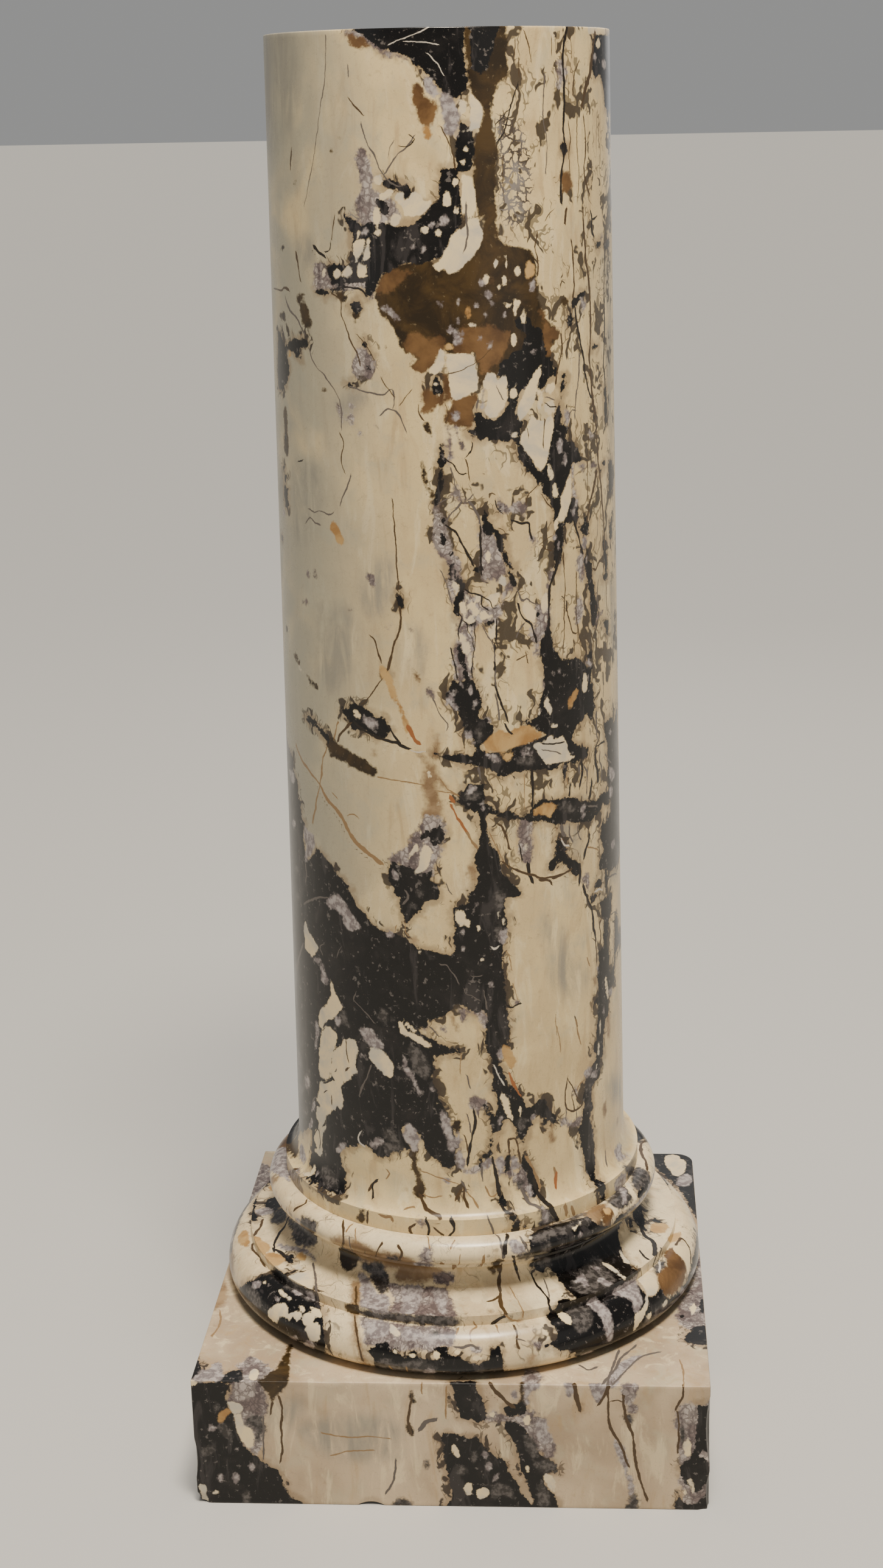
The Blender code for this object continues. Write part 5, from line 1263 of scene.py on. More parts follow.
def lower_torus_marks():
    """The lower torus and the scotia: breccia at left, lilac in the middle, black and rust at right."""
    return [
        patch(INK, (-56, 88), (-57, 80), (-60, 64), (-64.4, 43), (-70, 25), (-74.8, 12.5), (-78, -10),
            (-34, -10), (-32.4, 18), (-30, 32), (-29.8, 46), (-30.4, 59), (-32, 71), (-34, 82), (-36.4, 91),
            (-36.8, 101), (-39, 103), (-48, 101), (-48.4, 118), (-49.6, 120), (-50, 106), (-52, 105),
            (-55.4, 102)),
        block(BONE, (-47.2, 62.3), (-44.8, 70.3), (-42.8, 67.6), (-41.6, 57), (-44.4, 53.4), (-45.2, 41),
            (-48, 42.7), (-48.8, 49.8)),
        pebble(BONE, -35.7, 66.2, 3.3, 15),
        block(BONE, (-35.2, 62), (-33, 66), (-31.4, 62), (-31.2, 50), (-32, 43), (-34, 43), (-35.6, 53)),
        patch(BONE, (-41.2, 64), (-39, 69), (-37.8, 66), (-38.6, 59), (-40, 62), (-41.2, 54.5),
            (-41.8, 60)),
        patch(BONE, (-48.8, 81), (-46, 80.5), (-45.6, 75.5), (-48, 76.5)),
        patch(BONE, (-45, 80), (-42.8, 79), (-43.4, 75), (-45, 76)),
        patch(BONE, (-39.8, 77.5), (-37.8, 75), (-38, 70.5), (-39.8, 73)),
        patch(BONE, (-37, 80), (-34, 80), (-32.6, 74), (-34, 72), (-36.4, 76.5)),
        patch(LILAC, (-58.6, 67), (-56, 73), (-55, 66), (-58, 62)),
        pebble(BONE, -54.8, 76, 1.8, 4),
        pebble(LILAC, -47.4, 70, 1.4, 4),
        patch(SMOKE, (-59, 60), (-55, 62), (-51, 50), (-55, 45), (-60, 49)),
        patch(SMOKE, (-64, 36), (-55, 42), (-48, 30), (-54, 15), (-66, 10), (-70, 20)),
        patch(SMOKE, (-48, 100), (-42, 101.5), (-37.6, 101), (-37, 90), (-42, 86), (-48, 88)),
        patch(LILAC, (-46, 92), (-43, 92), (-42, 86), (-44, 84.6)),
        patch(LILAC, (-41, 98), (-38.4, 99), (-37.8, 92), (-40, 91)),
        patch(LILAC, (-69, 16), (-64, 20), (-62, 14), (-66, 6), (-72, 0)),
        patch(BONE, (-59, -2), (-57, 8), (-51, 12), (-51.6, 8), (-56, 0)),
        patch(LILAC, (-39.4, 38), (-38, 38), (-41, 20), (-45, 4), (-47, 2), (-43, 22)),
        patch(LILAC, (-34.6, 40), (-33, 38), (-35, 24), (-38, 13), (-39.6, 15), (-37, 28)),
        block(BONE, (-48, 118), (-46, 125), (-44, 125), (-42, 121), (-40, 112), (-38.4, 104), (-42, 102.4),
            (-48.6, 102)),
        block(BONE, (-52.6, 120), (-51, 127), (-48.4, 126), (-49.4, 119)),
        patch(BONE, (-54.8, 113), (-53.4, 116), (-52, 110), (-52.6, 104), (-54.4, 107)),
        patch(INK, (-58.2, 128), (-56, 132.6), (-53.4, 128), (-52.6, 122.5), (-54, 120.6), (-57, 121)),
        vein(3.8, BLACK, (-64.4, 118), (-60, 123), (-57, 122.4)),
        vein(4.0, BLACK, (-71.4, 138), (-66.6, 125), (-62, 117)),
        vein(3.0, BLACK, (-76, 152), (-73, 146), (-70, 134)),
        vein(3.0, GREY, (-47.4, 139), (-43, 127), (-40, 116.5), (-37, 103), (-36.6, 91)),
        patch(HONEY, (-55.6, 140), (-53, 142.4), (-51, 139), (-51.6, 131.6), (-54.6, 132)),
        patch(HONEY, (-72.6, 108), (-68, 115), (-65, 116.5), (-63, 109), (-62, 103), (-67, 98), (-72, 100)),
        patch(HONEY, (-62.4, 113), (-60, 120), (-56.6, 121), (-55, 112), (-55.4, 103), (-59, 98),
            (-61.4, 102)),
        patch(LILAC, (-66, 128), (-63, 134), (-58, 142), (-52.5, 149), (-47.4, 143), (-52, 143), (-57, 137),
            (-59.6, 131), (-63.6, 124)),
        patch(LILAC, (-88, 106), (-85, 112), (-84, 128), (-86, 132), (-88.6, 120)),
        patch(INK, (-94, 136), (-86.5, 139), (-84.8, 131), (-88.6, 121), (-94, 118)),
        patch(SMOKE, (-84, 148), (-75.6, 150), (-76, 134), (-80, 128), (-84.6, 134)),
        patch(INK, (-94, 104), (-86, 108), (-81.6, 112), (-82, 104), (-88, 94), (-94, 90)),
        vein(3.4, UMBER, (-82, 118), (-78, 115), (-75, 108), (-73, 104)),
        patch(SMOKE, (-77, 150), (-69, 162), (-61, 178), (-54, 180), (-52, 162), (-55, 151), (-61, 144),
            (-69, 149)),
        patch(OLIVE, (-40.4, 172), (-33, 174), (-31.6, 160), (-34.6, 148), (-38.6, 155)),
        vein(3.0, UMBER, (-74, 90), (-71, 88), (-66, 91), (-60, 90)),
        patch(HONEY, (-82, 84), (-77, 88), (-73, 84), (-75.6, 75), (-80.6, 71)),
        patch(FAWN, (-84, 44), (-78, 60), (-72, 56), (-70, 44), (-76, 32), (-84, 30)),
        patch(LILAC, (-94, 62), (-86, 62), (-82, 60), (-86, 48), (-94, 40)),
        patch(FAWN, (-27.9, 142), (-25.8, 126), (-23.7, 107), (-23.2, 92.6), (-22.7, 82), (-21.7, 71),
            (-20.4, 55), (-18.8, 41), (-18.4, 30), (-19.6, 18), (-21.3, 7), (-23, -8), (-25.4, -8),
            (-22.7, 12.5), (-20.9, 28.5), (-21, 42.7), (-22, 57), (-23, 67.6), (-25.2, 83.7), (-27, 92.6),
            (-27.3, 100), (-26.4, 104), (-27.9, 117.5), (-29.9, 130), (-31.4, 140)),
        patch(OLIVE, (-27.2, 101.5), (-24.4, 104), (-23.4, 98), (-23.6, 91), (-26, 90.6), (-27.2, 95)),
        vein(3.0, UMBER, (-28.6, 133), (-26.4, 118), (-24.8, 106)),
        vein(2.2, UMBER, (-24.6, 88), (-22.2, 70), (-20.8, 52), (-19.8, 36)),
        patch(SMOKE, (-32, 170), (-28, 166), (-24, 172), (-20.6, 156), (-18.8, 140), (-20.4, 132),
            (-23.4, 140), (-26, 150), (-30, 158)),
        patch(LILAC, (-31, 152), (-28, 152), (-25.8, 148), (-23.4, 138), (-21, 131), (-19, 133),
            (-17.2, 126), (-16.4, 112), (-16, 99), (-22.6, 102), (-24.6, 118), (-27, 134)),
        patch(DOVE, (-24, 150), (-18, 150), (-12, 150), (-6, 150), (-1.4, 150), (-0.4, 136), (1.2, 118),
            (1.8, 100), (-6, 103), (-12, 103), (-15.6, 102), (-15.4, 122), (-18, 138), (-22, 142)),
        patch(LILAC, (-14.4, 146), (-9, 148), (-8.4, 128), (-9.6, 108), (-12.4, 104), (-13, 124)),
        patch(LILAC, (-5.4, 148), (-1.8, 148), (-1.4, 128), (-0.6, 112), (-2.4, 110), (-4.4, 130)),
        patch(SMOKE, (-23, 101.6), (-16, 102), (-6.6, 102.6), (1.8, 102), (1.6, 91), (-6, 91), (-16, 91),
            (-22.8, 90.5)),
        patch(INK, (-6.6, 102.6), (-1.6, 102.4), (-1.8, 93), (-6.4, 93.6)),
        patch(DOVE, (-22.4, 89), (-10, 90), (0.8, 90), (1.6, 78), (0.8, 66), (-4, 58), (-10, 56), (-16, 54),
            (-19.4, 60), (-21.4, 76)),
        patch(LILAC, (-20, 87), (-15.6, 88), (-14.6, 74), (-16.4, 66), (-18.6, 66), (-20.2, 76)),
        patch(BONE, (-14.6, 85), (-13.4, 84), (-11.4, 76), (-12.2, 70.6), (-14, 76)),
        patch(LILAC, (-11, 86), (-7.4, 84), (-6, 72), (-9.4, 68), (-11, 72)),
        patch(LILAC, (-6.4, 74), (-1, 74), (0.6, 68), (-3, 64), (-6.4, 66)),
        patch(SMOKE, (-4.4, 82), (-2.6, 84), (-2, 76), (-4, 75)),
        patch(INK, (-19, 50), (-17.4, 57), (-16, 61), (-14, 61.6), (-13.6, 54), (-12, 59), (-11.2, 52),
            (-9.6, 49), (-9, 57), (-7.4, 58), (-6.6, 50), (-3, 50), (-3.2, 60), (-1.4, 66), (-0.2, 62),
            (0.6, 54), (2.6, 52), (4, 46), (8, 45), (9.2, 52), (9.6, 60.5), (11.4, 60.5), (12, 45),
            (12, 30), (12.8, -10), (-20.6, -10), (-18.2, 12), (-17.2, 36), (-17.8, 44)),
        patch(BONE, (-3.2, 58), (-2.2, 58), (-2.2, 50), (-3.4, 50.4)),
        patch(SMOKE, (-15.4, 42), (-11, 40), (-8, 45), (-5, 46), (-3, 38), (-4, 12), (-10, 2), (-15.6, 4)),
        patch(LILAC, (-5.4, 34), (-3.4, 34), (-3.6, 14), (-5.4, 14)),
        vein(2.0, TAN, (-13.4, 34), (-13, 18), (-13.2, 4)),
        vein(2.2, TAN, (-9.4, 36), (-9.6, 20), (-10, 6)),
        pebble(BONE, -12.2, 54, 1.0, 5),
        pebble(BONE, -8.2, 52, 1.8, 5),
        pebble(BONE, 2.0, 57, 1.4, 6),
        pebble(BONE, 6.4, 50, 2.4, 7),
        pebble(LILAC, 0.2, 68, 1.0, 6),
        vein(3.0, GREY, (1.3, 63), (3.2, 62.6), (5.0, 65), (6.6, 60.4)),
        patch(DOVE, (5.2, 62), (7, 62), (6.8, 56.6), (5.6, 57)),
        vein(2.2, TAN, (6, 96), (6.6, 89), (5.2, 82), (5, 70)),
        vein(1.6, TAN, (2.2, 88), (1.8, 78)),
        vein(4.0, UMBER, (14.2, 140), (13.7, 130), (13.6, 119), (14, 108), (13.8, 100)),
        vein(2.6, UMBER, (13.8, 137), (12, 131), (10.1, 129)),
        vein(3.4, BLACK, (13.8, 101), (11.9, 96), (10.4, 92)),
        vein(2.2, TAN, (13.9, 101), (15.4, 94.4), (17, 91.4)),
        pebble(FAWN, 17.2, 90.6, 1.6, 6),
        pebble(FAWN, 10.3, 112, 0.9, 4),
        vein(2.4, UMBER, (15.6, 85.4), (15.9, 75), (15.6, 64), (16, 57)),
        vein(2.0, TAN, (11.4, 89), (11.7, 77)),
        vein(1.4, TAN, (17.4, 146), (18.4, 124), (18.4, 96)),
        patch(DOVE, (18.8, 62), (21, 63), (21.6, 55), (19.6, 53)),
        vein(1.8, GREY, (15.6, 68), (17.4, 64)),
        pebble(FAWN, 18.5, 43, 1.8, 10),
        vein(4.6, UMBER, (15.2, 186), (15.2, 168), (14.4, 152), (14.3, 142)),
        patch(OLIVE, (11.4, 173), (13.4, 176), (14, 166), (12.4, 165)),
        vein(2.4, UMBER, (19.4, 186), (20.4, 166), (21, 152)),
        patch(DOVE, (-5, 156), (-1, 154), (0, 166), (-6, 166)),
        patch(FAWN, (-16, 178), (-6, 178), (-3, 166), (-8, 156), (-18, 154)),
        patch(INK, (25.4, 94), (27, 97), (28.4, 108), (30.6, 109), (32.6, 104), (33, 120), (32.6, 142),
            (32, 165), (32.2, 188), (64, 188), (65.6, 170), (61, 148), (58.6, 136), (56.4, 122), (55, 112),
            (54.6, 98), (53.4, 90), (52.4, 74), (53.2, 65), (55.4, 62), (57.6, 67), (57.8, 56), (59, 50),
            (61, 46), (68, 45), (73, 50), (76, 55), (84, 57), (92, 55), (100, 50), (100, 24), (90, 22),
            (80, 20), (76, 20), (70, 14), (66, -10), (33.4, -10), (31.6, 12), (29, 34), (27.5, 42),
            (25.4, 44.5), (23.5, 53), (22.2, 53), (22, 56), (24.6, 60.5), (25.2, 71), (24.4, 80)),
        patch(INK, (25.6, 186), (28.2, 186), (29.4, 166), (29, 157), (27.4, 160), (26, 168)),
        vein(3.4, BLACK, (25.2, 158), (25.4, 146), (26.2, 133.5), (26.6, 119), (26, 112), (25.4, 103),
            (26.4, 93)),
        vein(1.8, GREY, (28.4, 148), (28, 132), (27, 119)),
        patch(BONE, (27.6, 90), (29.2, 89), (29.8, 78), (28.8, 72), (27.6, 78)),
        patch(SMOKE, (30, 92), (34.6, 93), (35.6, 76), (34.6, 64), (31, 62), (29.8, 74)),
        patch(SMOKE, (35, 128), (38, 138), (44, 148), (50, 148), (48.6, 128), (47, 108), (40, 104),
            (35.6, 108)),
        patch(LILAC, (36, 94), (39.4, 95), (39.8, 70), (39.6, 45), (37.8, 38), (37.2, 60), (36.6, 80)),
        patch(BONE, (49.2, 141), (50.6, 136), (50.6, 120), (49.6, 103), (48.8, 104), (49.3, 120)),
        patch(LILAC, (36.6, 130), (38, 136.6), (40.6, 138.6), (40.4, 132), (39.6, 121), (38, 119),
            (38.2, 128)),
        patch(LILAC, (44.6, 145), (47.4, 138), (47, 134), (45.4, 134)),
        patch(LILAC, (43, 122), (44.8, 122), (45, 106), (43.4, 104)),
        patch(LILAC, (45, 95), (52, 97), (54.4, 98), (53.6, 89), (51, 74), (49.4, 60), (47, 58), (47.4, 72),
            (45.4, 82)),
        patch(BONE, (48, 75), (49.8, 79), (49.2, 66), (47.8, 65)),
        patch(BONE, (46.6, 54), (50, 58), (52.6, 70), (51.4, 58), (49.6, 49), (47, 39), (45.8, 38)),
        patch(SMOKE, (49, 42), (56, 46), (61, 40), (65, 24), (62, 2), (52, 2), (50, 20)),
        patch(LILAC, (51, 14), (54, 10), (60, -4), (56, -4), (50.6, 10)),
        patch(BONE, (50.4, 47), (52, 47), (51.6, 41), (50.6, 41)),
        patch(BONE, (57, 47), (58.6, 49), (58.4, 43), (57, 42)),
        patch(RUST, (51.6, 142), (55, 146), (57.2, 141), (55, 132), (53.4, 123), (51.8, 128)),
        patch(LILAC, (30.6, 32), (33, 32), (36, 20), (34.4, 14), (31.8, 22)),
        vein(2.4, UMBER, (55.4, 112), (54.6, 103)),
        patch(BONE, (55.4, 124), (57.4, 138), (58.6, 140), (57.2, 128), (56, 119)),
        patch(BONE, (53.4, 80), (54.2, 91), (56.4, 90.6), (58.6, 86), (58.4, 74), (57, 66), (54.4, 63.4),
            (52.8, 68)),
        patch(RUST, (57.8, 70), (59, 78), (62, 82.6), (66, 80), (68, 88), (71, 90.6), (74, 84), (72.4, 72),
            (71.6, 62), (70, 52), (66, 46.5), (62, 47.5), (58.6, 54), (57.6, 62)),
        patch(BONE, (72.4, 76), (73.4, 84), (75.4, 84.4), (77, 76), (78.6, 69), (76, 60), (72.6, 51),
            (71, 50), (72.4, 62)),
        vein(3.0, UMBER, (75.6, 84.4), (80, 81.4), (79, 70), (76.8, 60.5), (71.6, 50)),
        patch(SMOKE, (60, 81), (62.6, 90), (66, 92), (66.4, 84), (63, 80)),
        vein(2.0, WHITE, (61.4, 80), (64, 86), (66.6, 93)),
        vein(3.0, BLACK, (62.4, 92), (64, 101), (66, 107.6)),
        vein(3.0, BLACK, (65.6, 92), (67.4, 101), (68, 104)),
        patch(HONEY, (73, 103), (76, 102.6), (81, 91), (83, 84), (79, 83), (76.4, 90)),
        patch(HONEY, (75, 126), (77.6, 130.6), (80, 128), (81, 118), (80.6, 110), (76.6, 110), (75.4, 118)),
        vein(3.6, BLACK, (63.4, 124), (62, 116), (60.8, 106)),
        vein(5.5, BLACK, (75, 141), (71.4, 131.6), (70.4, 120), (67, 110.6), (63.4, 104)),
        patch(INK, (75.4, 150), (78, 157), (84, 156), (87, 149), (81, 142), (76.6, 136), (74, 132)),
        patch(INK, (70.6, 151), (73, 158), (75, 158), (72.6, 151.6)),
        patch(INK, (80.6, 127), (83, 130), (82, 122), (81, 120)),
        patch(LILAC, (74, 47), (79, 40), (83, 27), (80, 26), (76, 38), (73.4, 44)),
        patch(SMOKE, (80, 54), (90, 54), (98, 46), (96, 32), (88, 30), (84, 44)),
        patch(LILAC, (66, 44), (69, 36), (74, 22), (71, 24), (67, 34), (64.6, 43)),
        patch(RUST, (66, 8), (72, 17), (80, 17), (88, 11), (93, 0), (93, -10), (66, -10)),
    ]


def upper_torus_marks():
    """The upper torus and its fillet: smoky bands at left, cream with fine veins, black at right."""
    return [
        patch(LILAC, (-92, 250), (-72, 250), (-68, 246), (-74, 238), (-82, 224), (-92, 206)),
        pebble(INK, -85, 243, 4, 7),
        patch(FAWN, (-73, 237), (-72, 228), (-76, 216), (-82, 206), (-86, 201), (-86, 208), (-80, 218),
            (-76, 230)),
        vein(3.0, UMBER, (-54.2, 226), (-53, 234), (-52.4, 241), (-54, 248)),
        patch(SMOKE, (-49.6, 226), (-46, 230), (-42.8, 229), (-42.6, 219), (-45, 207), (-48, 196),
            (-49, 188), (-52, 178), (-53, 166), (-65, 166), (-60, 182), (-55, 198), (-51, 214)),
        patch(LILAC, (-66, 166), (-69, 174), (-62, 188), (-56, 204), (-51.6, 222), (-50.4, 214), (-55, 196),
            (-60, 181), (-63, 170)),
        vein(4.0, UMBER, (-68, 181), (-73, 174), (-77, 167)),
        vein(2.2, TAN, (-62, 218), (-64, 208), (-68, 200)),
        vein(2.2, TAN, (-58, 222), (-60, 210), (-66, 199)),
        patch(FAWN, (-36, 220), (-28, 224), (-20, 219), (-12, 218), (-9, 200), (-9, 178), (-16, 166),
            (-38, 166), (-37, 186)),
        patch(OLIVE, (-36.6, 188), (-32, 187), (-33, 172), (-35, 166), (-39.6, 168), (-38, 178)),
        vein(2.8, UMBER, (-35.6, 246), (-34, 238), (-32.4, 229), (-32, 218), (-33.4, 206), (-35, 194)),
        vein(2.2, TAN, (-31.6, 244), (-31.8, 232)),
        vein(1.8, TAN, (-29.4, 239), (-28.4, 230), (-27.2, 222)),
        vein(2.4, GREY, (-30, 226), (-29.6, 212), (-30, 200)),
        vein(2.4, UMBER, (-19.6, 229), (-20.8, 219), (-22, 204), (-23, 190)),
        vein(2.0, UMBER, (-24.8, 214), (-26, 200)),
        vein(2.6, UMBER, (-14.8, 229), (-13.4, 221), (-14.8, 206), (-16.4, 190)),
        patch(SMOKE, (-17.6, 214), (-14.6, 212), (-15.8, 196), (-17.6, 188), (-19.6, 196)),
        patch(DOVE, (-8, 224), (-7.4, 231), (-5, 231), (-4.8, 220), (-5.2, 200), (-5, 186), (-11, 186),
            (-11, 200), (-8.4, 212)),
        vein(1.8, TAN, (-7, 248), (-6.2, 238), (-5.6, 230)),
        vein(1.8, TAN, (1.3, 241), (0.3, 230)),
        vein(2.0, TAN, (2.9, 222), (2.6, 210), (2.2, 190)),
        vein(5.0, TAN, (-2.4, 210), (-2.8, 196)),
        vein(3.4, TAN, (9.4, 220), (9.2, 206), (9, 188)),
        vein(4.6, TAN, (1, 190), (0.4, 174)),
        patch(OLIVE, (12, 209), (14.6, 211), (14.8, 200), (15.3, 186), (15.9, 168), (14.4, 166),
            (12.6, 178), (12.2, 198)),
        vein(3.4, GREY, (13.8, 250), (14.4, 240), (14.6, 229), (14.9, 214)),
        vein(5.0, BLACK, (17, 250), (16.8, 241), (15.7, 231), (15.2, 220)),
        patch(LILAC, (17, 234), (19, 235), (20.6, 229), (21, 219), (18, 218), (16.9, 227)),
        vein(2.0, GREY, (20.4, 238), (21.3, 228), (21.9, 219)),
        vein(4.2, BLACK, (17.6, 215), (18.4, 202), (19.3, 184), (20.6, 166)),
        patch(SMOKE, (18.4, 216), (22.4, 218), (23.6, 206), (25, 192), (20, 190), (19.2, 204)),
        patch(INK, (22.5, 233), (26, 242), (34, 246), (42, 240), (44.6, 230), (46, 222), (51, 216),
            (52.6, 220), (56.4, 222), (60, 206), (64, 197), (67, 188), (71, 174), (73, 164), (28.6, 164),
            (27, 178), (25, 194), (23.8, 206), (23, 216)),
        patch(SMOKE, (26.2, 190), (28, 190), (28.8, 179), (32, 173), (32, 164), (29.4, 164), (27.4, 176)),
        patch(SMOKE, (24, 234), (34, 240), (42, 237), (43, 230), (34, 230), (25, 229)),
        patch(SMOKE, (25.4, 212), (27.6, 222), (29, 224), (28.4, 208), (27.4, 196)),
        patch(SMOKE, (28, 250), (44, 250), (43, 242), (34, 244)),
        patch(BONE, (36.6, 229), (37.2, 234), (38, 233), (38.8, 237), (39.4, 233), (38, 230), (37.6, 225)),
        pebble(BONE, 40.2, 236, 0.8, 3),
        patch(LILAC, (37.8, 226), (39.2, 225), (39.2, 219), (37.9, 217)),
        pebble(BONE, 23.2, 234, 1.4, 4),
        patch(FAWN, (43, 250), (52, 250), (53, 240), (50, 231), (46, 226), (44, 232)),
        patch(RUST, (47.4, 219), (47.4, 228), (49.4, 238), (52.2, 239), (53.2, 230), (51, 221), (49, 214)),
        patch(HONEY, (49.6, 232), (50.4, 238), (52.2, 238), (52.4, 232), (51, 229)),
        pebble(BONE, 53.4, 227, 1.3, 13, 4),
        patch(SMOKE, (54.4, 231), (55, 250), (68, 250), (64, 238), (63.4, 228), (58, 226)),
        patch(LILAC, (57.8, 232), (61, 240), (64, 250), (66, 250), (63, 239), (60, 231)),
        patch(INK, (65.8, 222), (67, 230), (74, 232), (79, 231), (76, 222)),
        patch(SMOKE, (67, 230), (69, 244), (73, 250), (80, 250), (80, 238), (78, 229)),
        patch(BONE, (64, 222), (63.4, 230), (65, 240), (66, 246), (69.6, 251), (71, 250), (67.4, 242),
            (66, 233), (65.4, 224)),
        patch(LILAC, (57, 222), (58.4, 216), (62, 205), (65, 197), (63.6, 197), (60, 206), (56.8, 217)),
        patch(SMOKE, (58, 222), (64, 221), (70, 221), (72, 206), (75, 200), (66, 198), (62, 208)),
        patch(LILAC, (62.4, 221), (70, 221), (80, 222), (88, 220), (86, 212), (78, 206), (71, 199),
            (67, 205)),
        patch(SMOKE, (75, 203), (86, 207), (94, 202), (98, 194), (102, 184), (98, 176), (90, 168),
            (76, 166), (74, 184), (70, 196)),
        vein(5.5, WHITE, (71, 200), (76, 192), (80, 184), (86, 177), (92, 168)),
        vein(4.0, UMBER, (80, 234), (85, 238), (90, 245), (97, 243), (102, 230), (108, 214)),
        patch(OLIVE, (57, 200), (61, 198), (66, 184), (69, 170), (62, 174), (58, 188)),
        pebble(RUST, 54, 194, 2.4, 7),
    ]


def shaft_ankle_marks():
    """The apophyge and the cincture, from 362 down to 309 mm."""
    return [
        patch(INK, (-58.8, 362), (-57.4, 348), (-55.2, 340), (-56, 335), (-59, 332.4), (-50, 330.4),
            (-42, 331.8), (-39.4, 333.4), (-38.2, 338), (-38.6, 345), (-39.4, 354), (-40.2, 362)),
        patch(BONE, (-57, 346), (-56, 347.4), (-54.8, 341), (-56, 335), (-59, 331.6), (-61, 331.6),
            (-57.6, 336)),
        pebble(LILAC, -53.3, 340, 1.4, 8, 6),
        patch(SMOKE, (-52, 348), (-47, 352), (-43, 346), (-42, 337), (-48, 335), (-52, 340)),
        patch(LILAC, (-73, 346), (-70, 352), (-66, 350), (-63, 342), (-66, 337), (-71, 341)),
        patch(OLIVE, (-82, 347), (-75, 345), (-71, 340), (-72, 335), (-77, 330), (-84, 330)),
        vein(3.0, BLACK, (-25.6, 362), (-27, 357), (-27.6, 352), (-27, 346), (-26.8, 340)),
        patch(OLIVE, (-12.2, 362), (-12.2, 354), (-10.4, 350), (-8.8, 354), (-8.8, 362)),
        vein(3.6, UMBER, (-10.2, 352), (-9.2, 345), (-8, 338), (-5.8, 334), (-3, 330.6)),
        vein(2.4, TAN, (-15, 335), (-13.4, 337.6), (-12, 338)),
        vein(1.6, TAN, (-9, 352), (-6, 350), (-3, 352)),
        pebble(INK, 3, 357.4, 1.2, 5, -14),
        vein(2.8, UMBER, (4.3, 363), (4.4, 352), (5, 346), (5.6, 340)),
        vein(1.8, TAN, (5.4, 357), (7, 350), (8, 344), (8.8, 339)),
        vein(1.8, TAN, (11.6, 362), (12.6, 352), (14, 349), (15, 352)),
        patch(INK, (15.2, 362), (16.8, 362), (17.2, 352), (18.1, 346), (17.8, 338), (16.8, 335),
            (15.7, 341), (15.6, 350)),
        vein(3.2, BLACK, (16.4, 338), (17.4, 333), (19.4, 329.6)),
        patch(SMOKE, (22, 362), (25, 362), (24.4, 355), (25.4, 348), (23.6, 348), (22.2, 353)),
        vein(3.4, GREY, (23.6, 353), (25, 343), (26, 336), (28.6, 331)),
        patch(LILAC, (25.4, 358), (27.2, 357), (27.4, 348), (26.4, 343), (25.6, 348)),
        vein(4.4, BLACK, (28.4, 362), (28.8, 352), (29.8, 342), (31.2, 334), (32.4, 329.6)),
        vein(4.0, RUSTY, (37.2, 362), (36.6, 352), (36.2, 345)),
        patch(INK, (50.8, 362), (55.2, 362), (54.8, 352), (54, 342), (54.8, 333), (55.2, 330), (51.2, 330),
            (52, 335), (50.8, 342), (51, 350)),
        patch(LILAC, (69, 348), (72, 352), (76, 345), (74, 337), (77, 331), (70, 333), (68.6, 341)),
        vein(2.4, GREY, (62.6, 358), (61.6, 341)),
        patch(OLIVE, (-29.8, 330), (-27.6, 330), (-28, 322), (-27.6, 316), (-29, 311.6), (-30.8, 315),
            (-29.8, 322)),
        vein(2.4, UMBER, (-26.6, 328), (-27, 320), (-27.2, 312)),
        vein(2.6, TAN, (-22.6, 327), (-20, 326.4), (-18.6, 328), (-18.2, 322)),
        vein(3.0, UMBER, (-11, 322), (-12.6, 315), (-12, 309)),
        patch(DOVE, (-10.6, 328), (-7.4, 328), (-7.2, 322), (-9.4, 321)),
        vein(3.4, BLACK, (-7.6, 329), (-6.6, 320), (-7, 309)),
        vein(2.4, UMBER, (-5, 319), (-3.6, 314), (-2.4, 310)),
        vein(3.4, BLACK, (0.2, 330), (1, 322), (0.8, 314), (-0.6, 308)),
        vein(2.4, GREY, (11.4, 330), (12.6, 318), (13.2, 309)),
        patch(INK, (18.4, 330), (20, 330), (20.8, 322), (21.8, 316), (21.8, 309), (19, 309), (18.8, 320)),
        pebble(INK, 22.6, 312.6, 1.6, 5),
        patch(SMOKE, (27.8, 330), (31, 330), (33, 318), (34, 308), (27.4, 308), (28.4, 320)),
        patch(LILAC, (29, 328), (30.4, 328), (31, 316), (29.4, 311)),
        vein(4.6, BLACK, (31.9, 330), (32.7, 322), (34.4, 310)),
        vein(4.2, TAN, (37.2, 327), (37.7, 314)),
        vein(3.6, TAN, (39.6, 322), (40.7, 310)),
        patch(INK, (51, 330), (55.2, 330), (54.8, 320), (54.6, 308), (52.4, 308), (52.2, 320)),
        patch(LILAC, (60, 322), (66, 326), (70, 316), (68, 308), (62, 308)),
        patch(SMOKE, (67, 329), (73, 330), (80, 322), (84, 308), (70, 308), (69, 320)),
        patch(DOVE, (-70, 320), (-66, 329), (-60, 330), (-59, 320), (-58, 308), (-74, 308)),
        vein(4.4, UMBER, (-65, 330), (-67.4, 321)),
        vein(4.0, UMBER, (-61, 327), (-62.6, 317)),
        patch(OLIVE, (-86, 332), (-76, 330), (-80, 321), (-86, 316)),
    ]


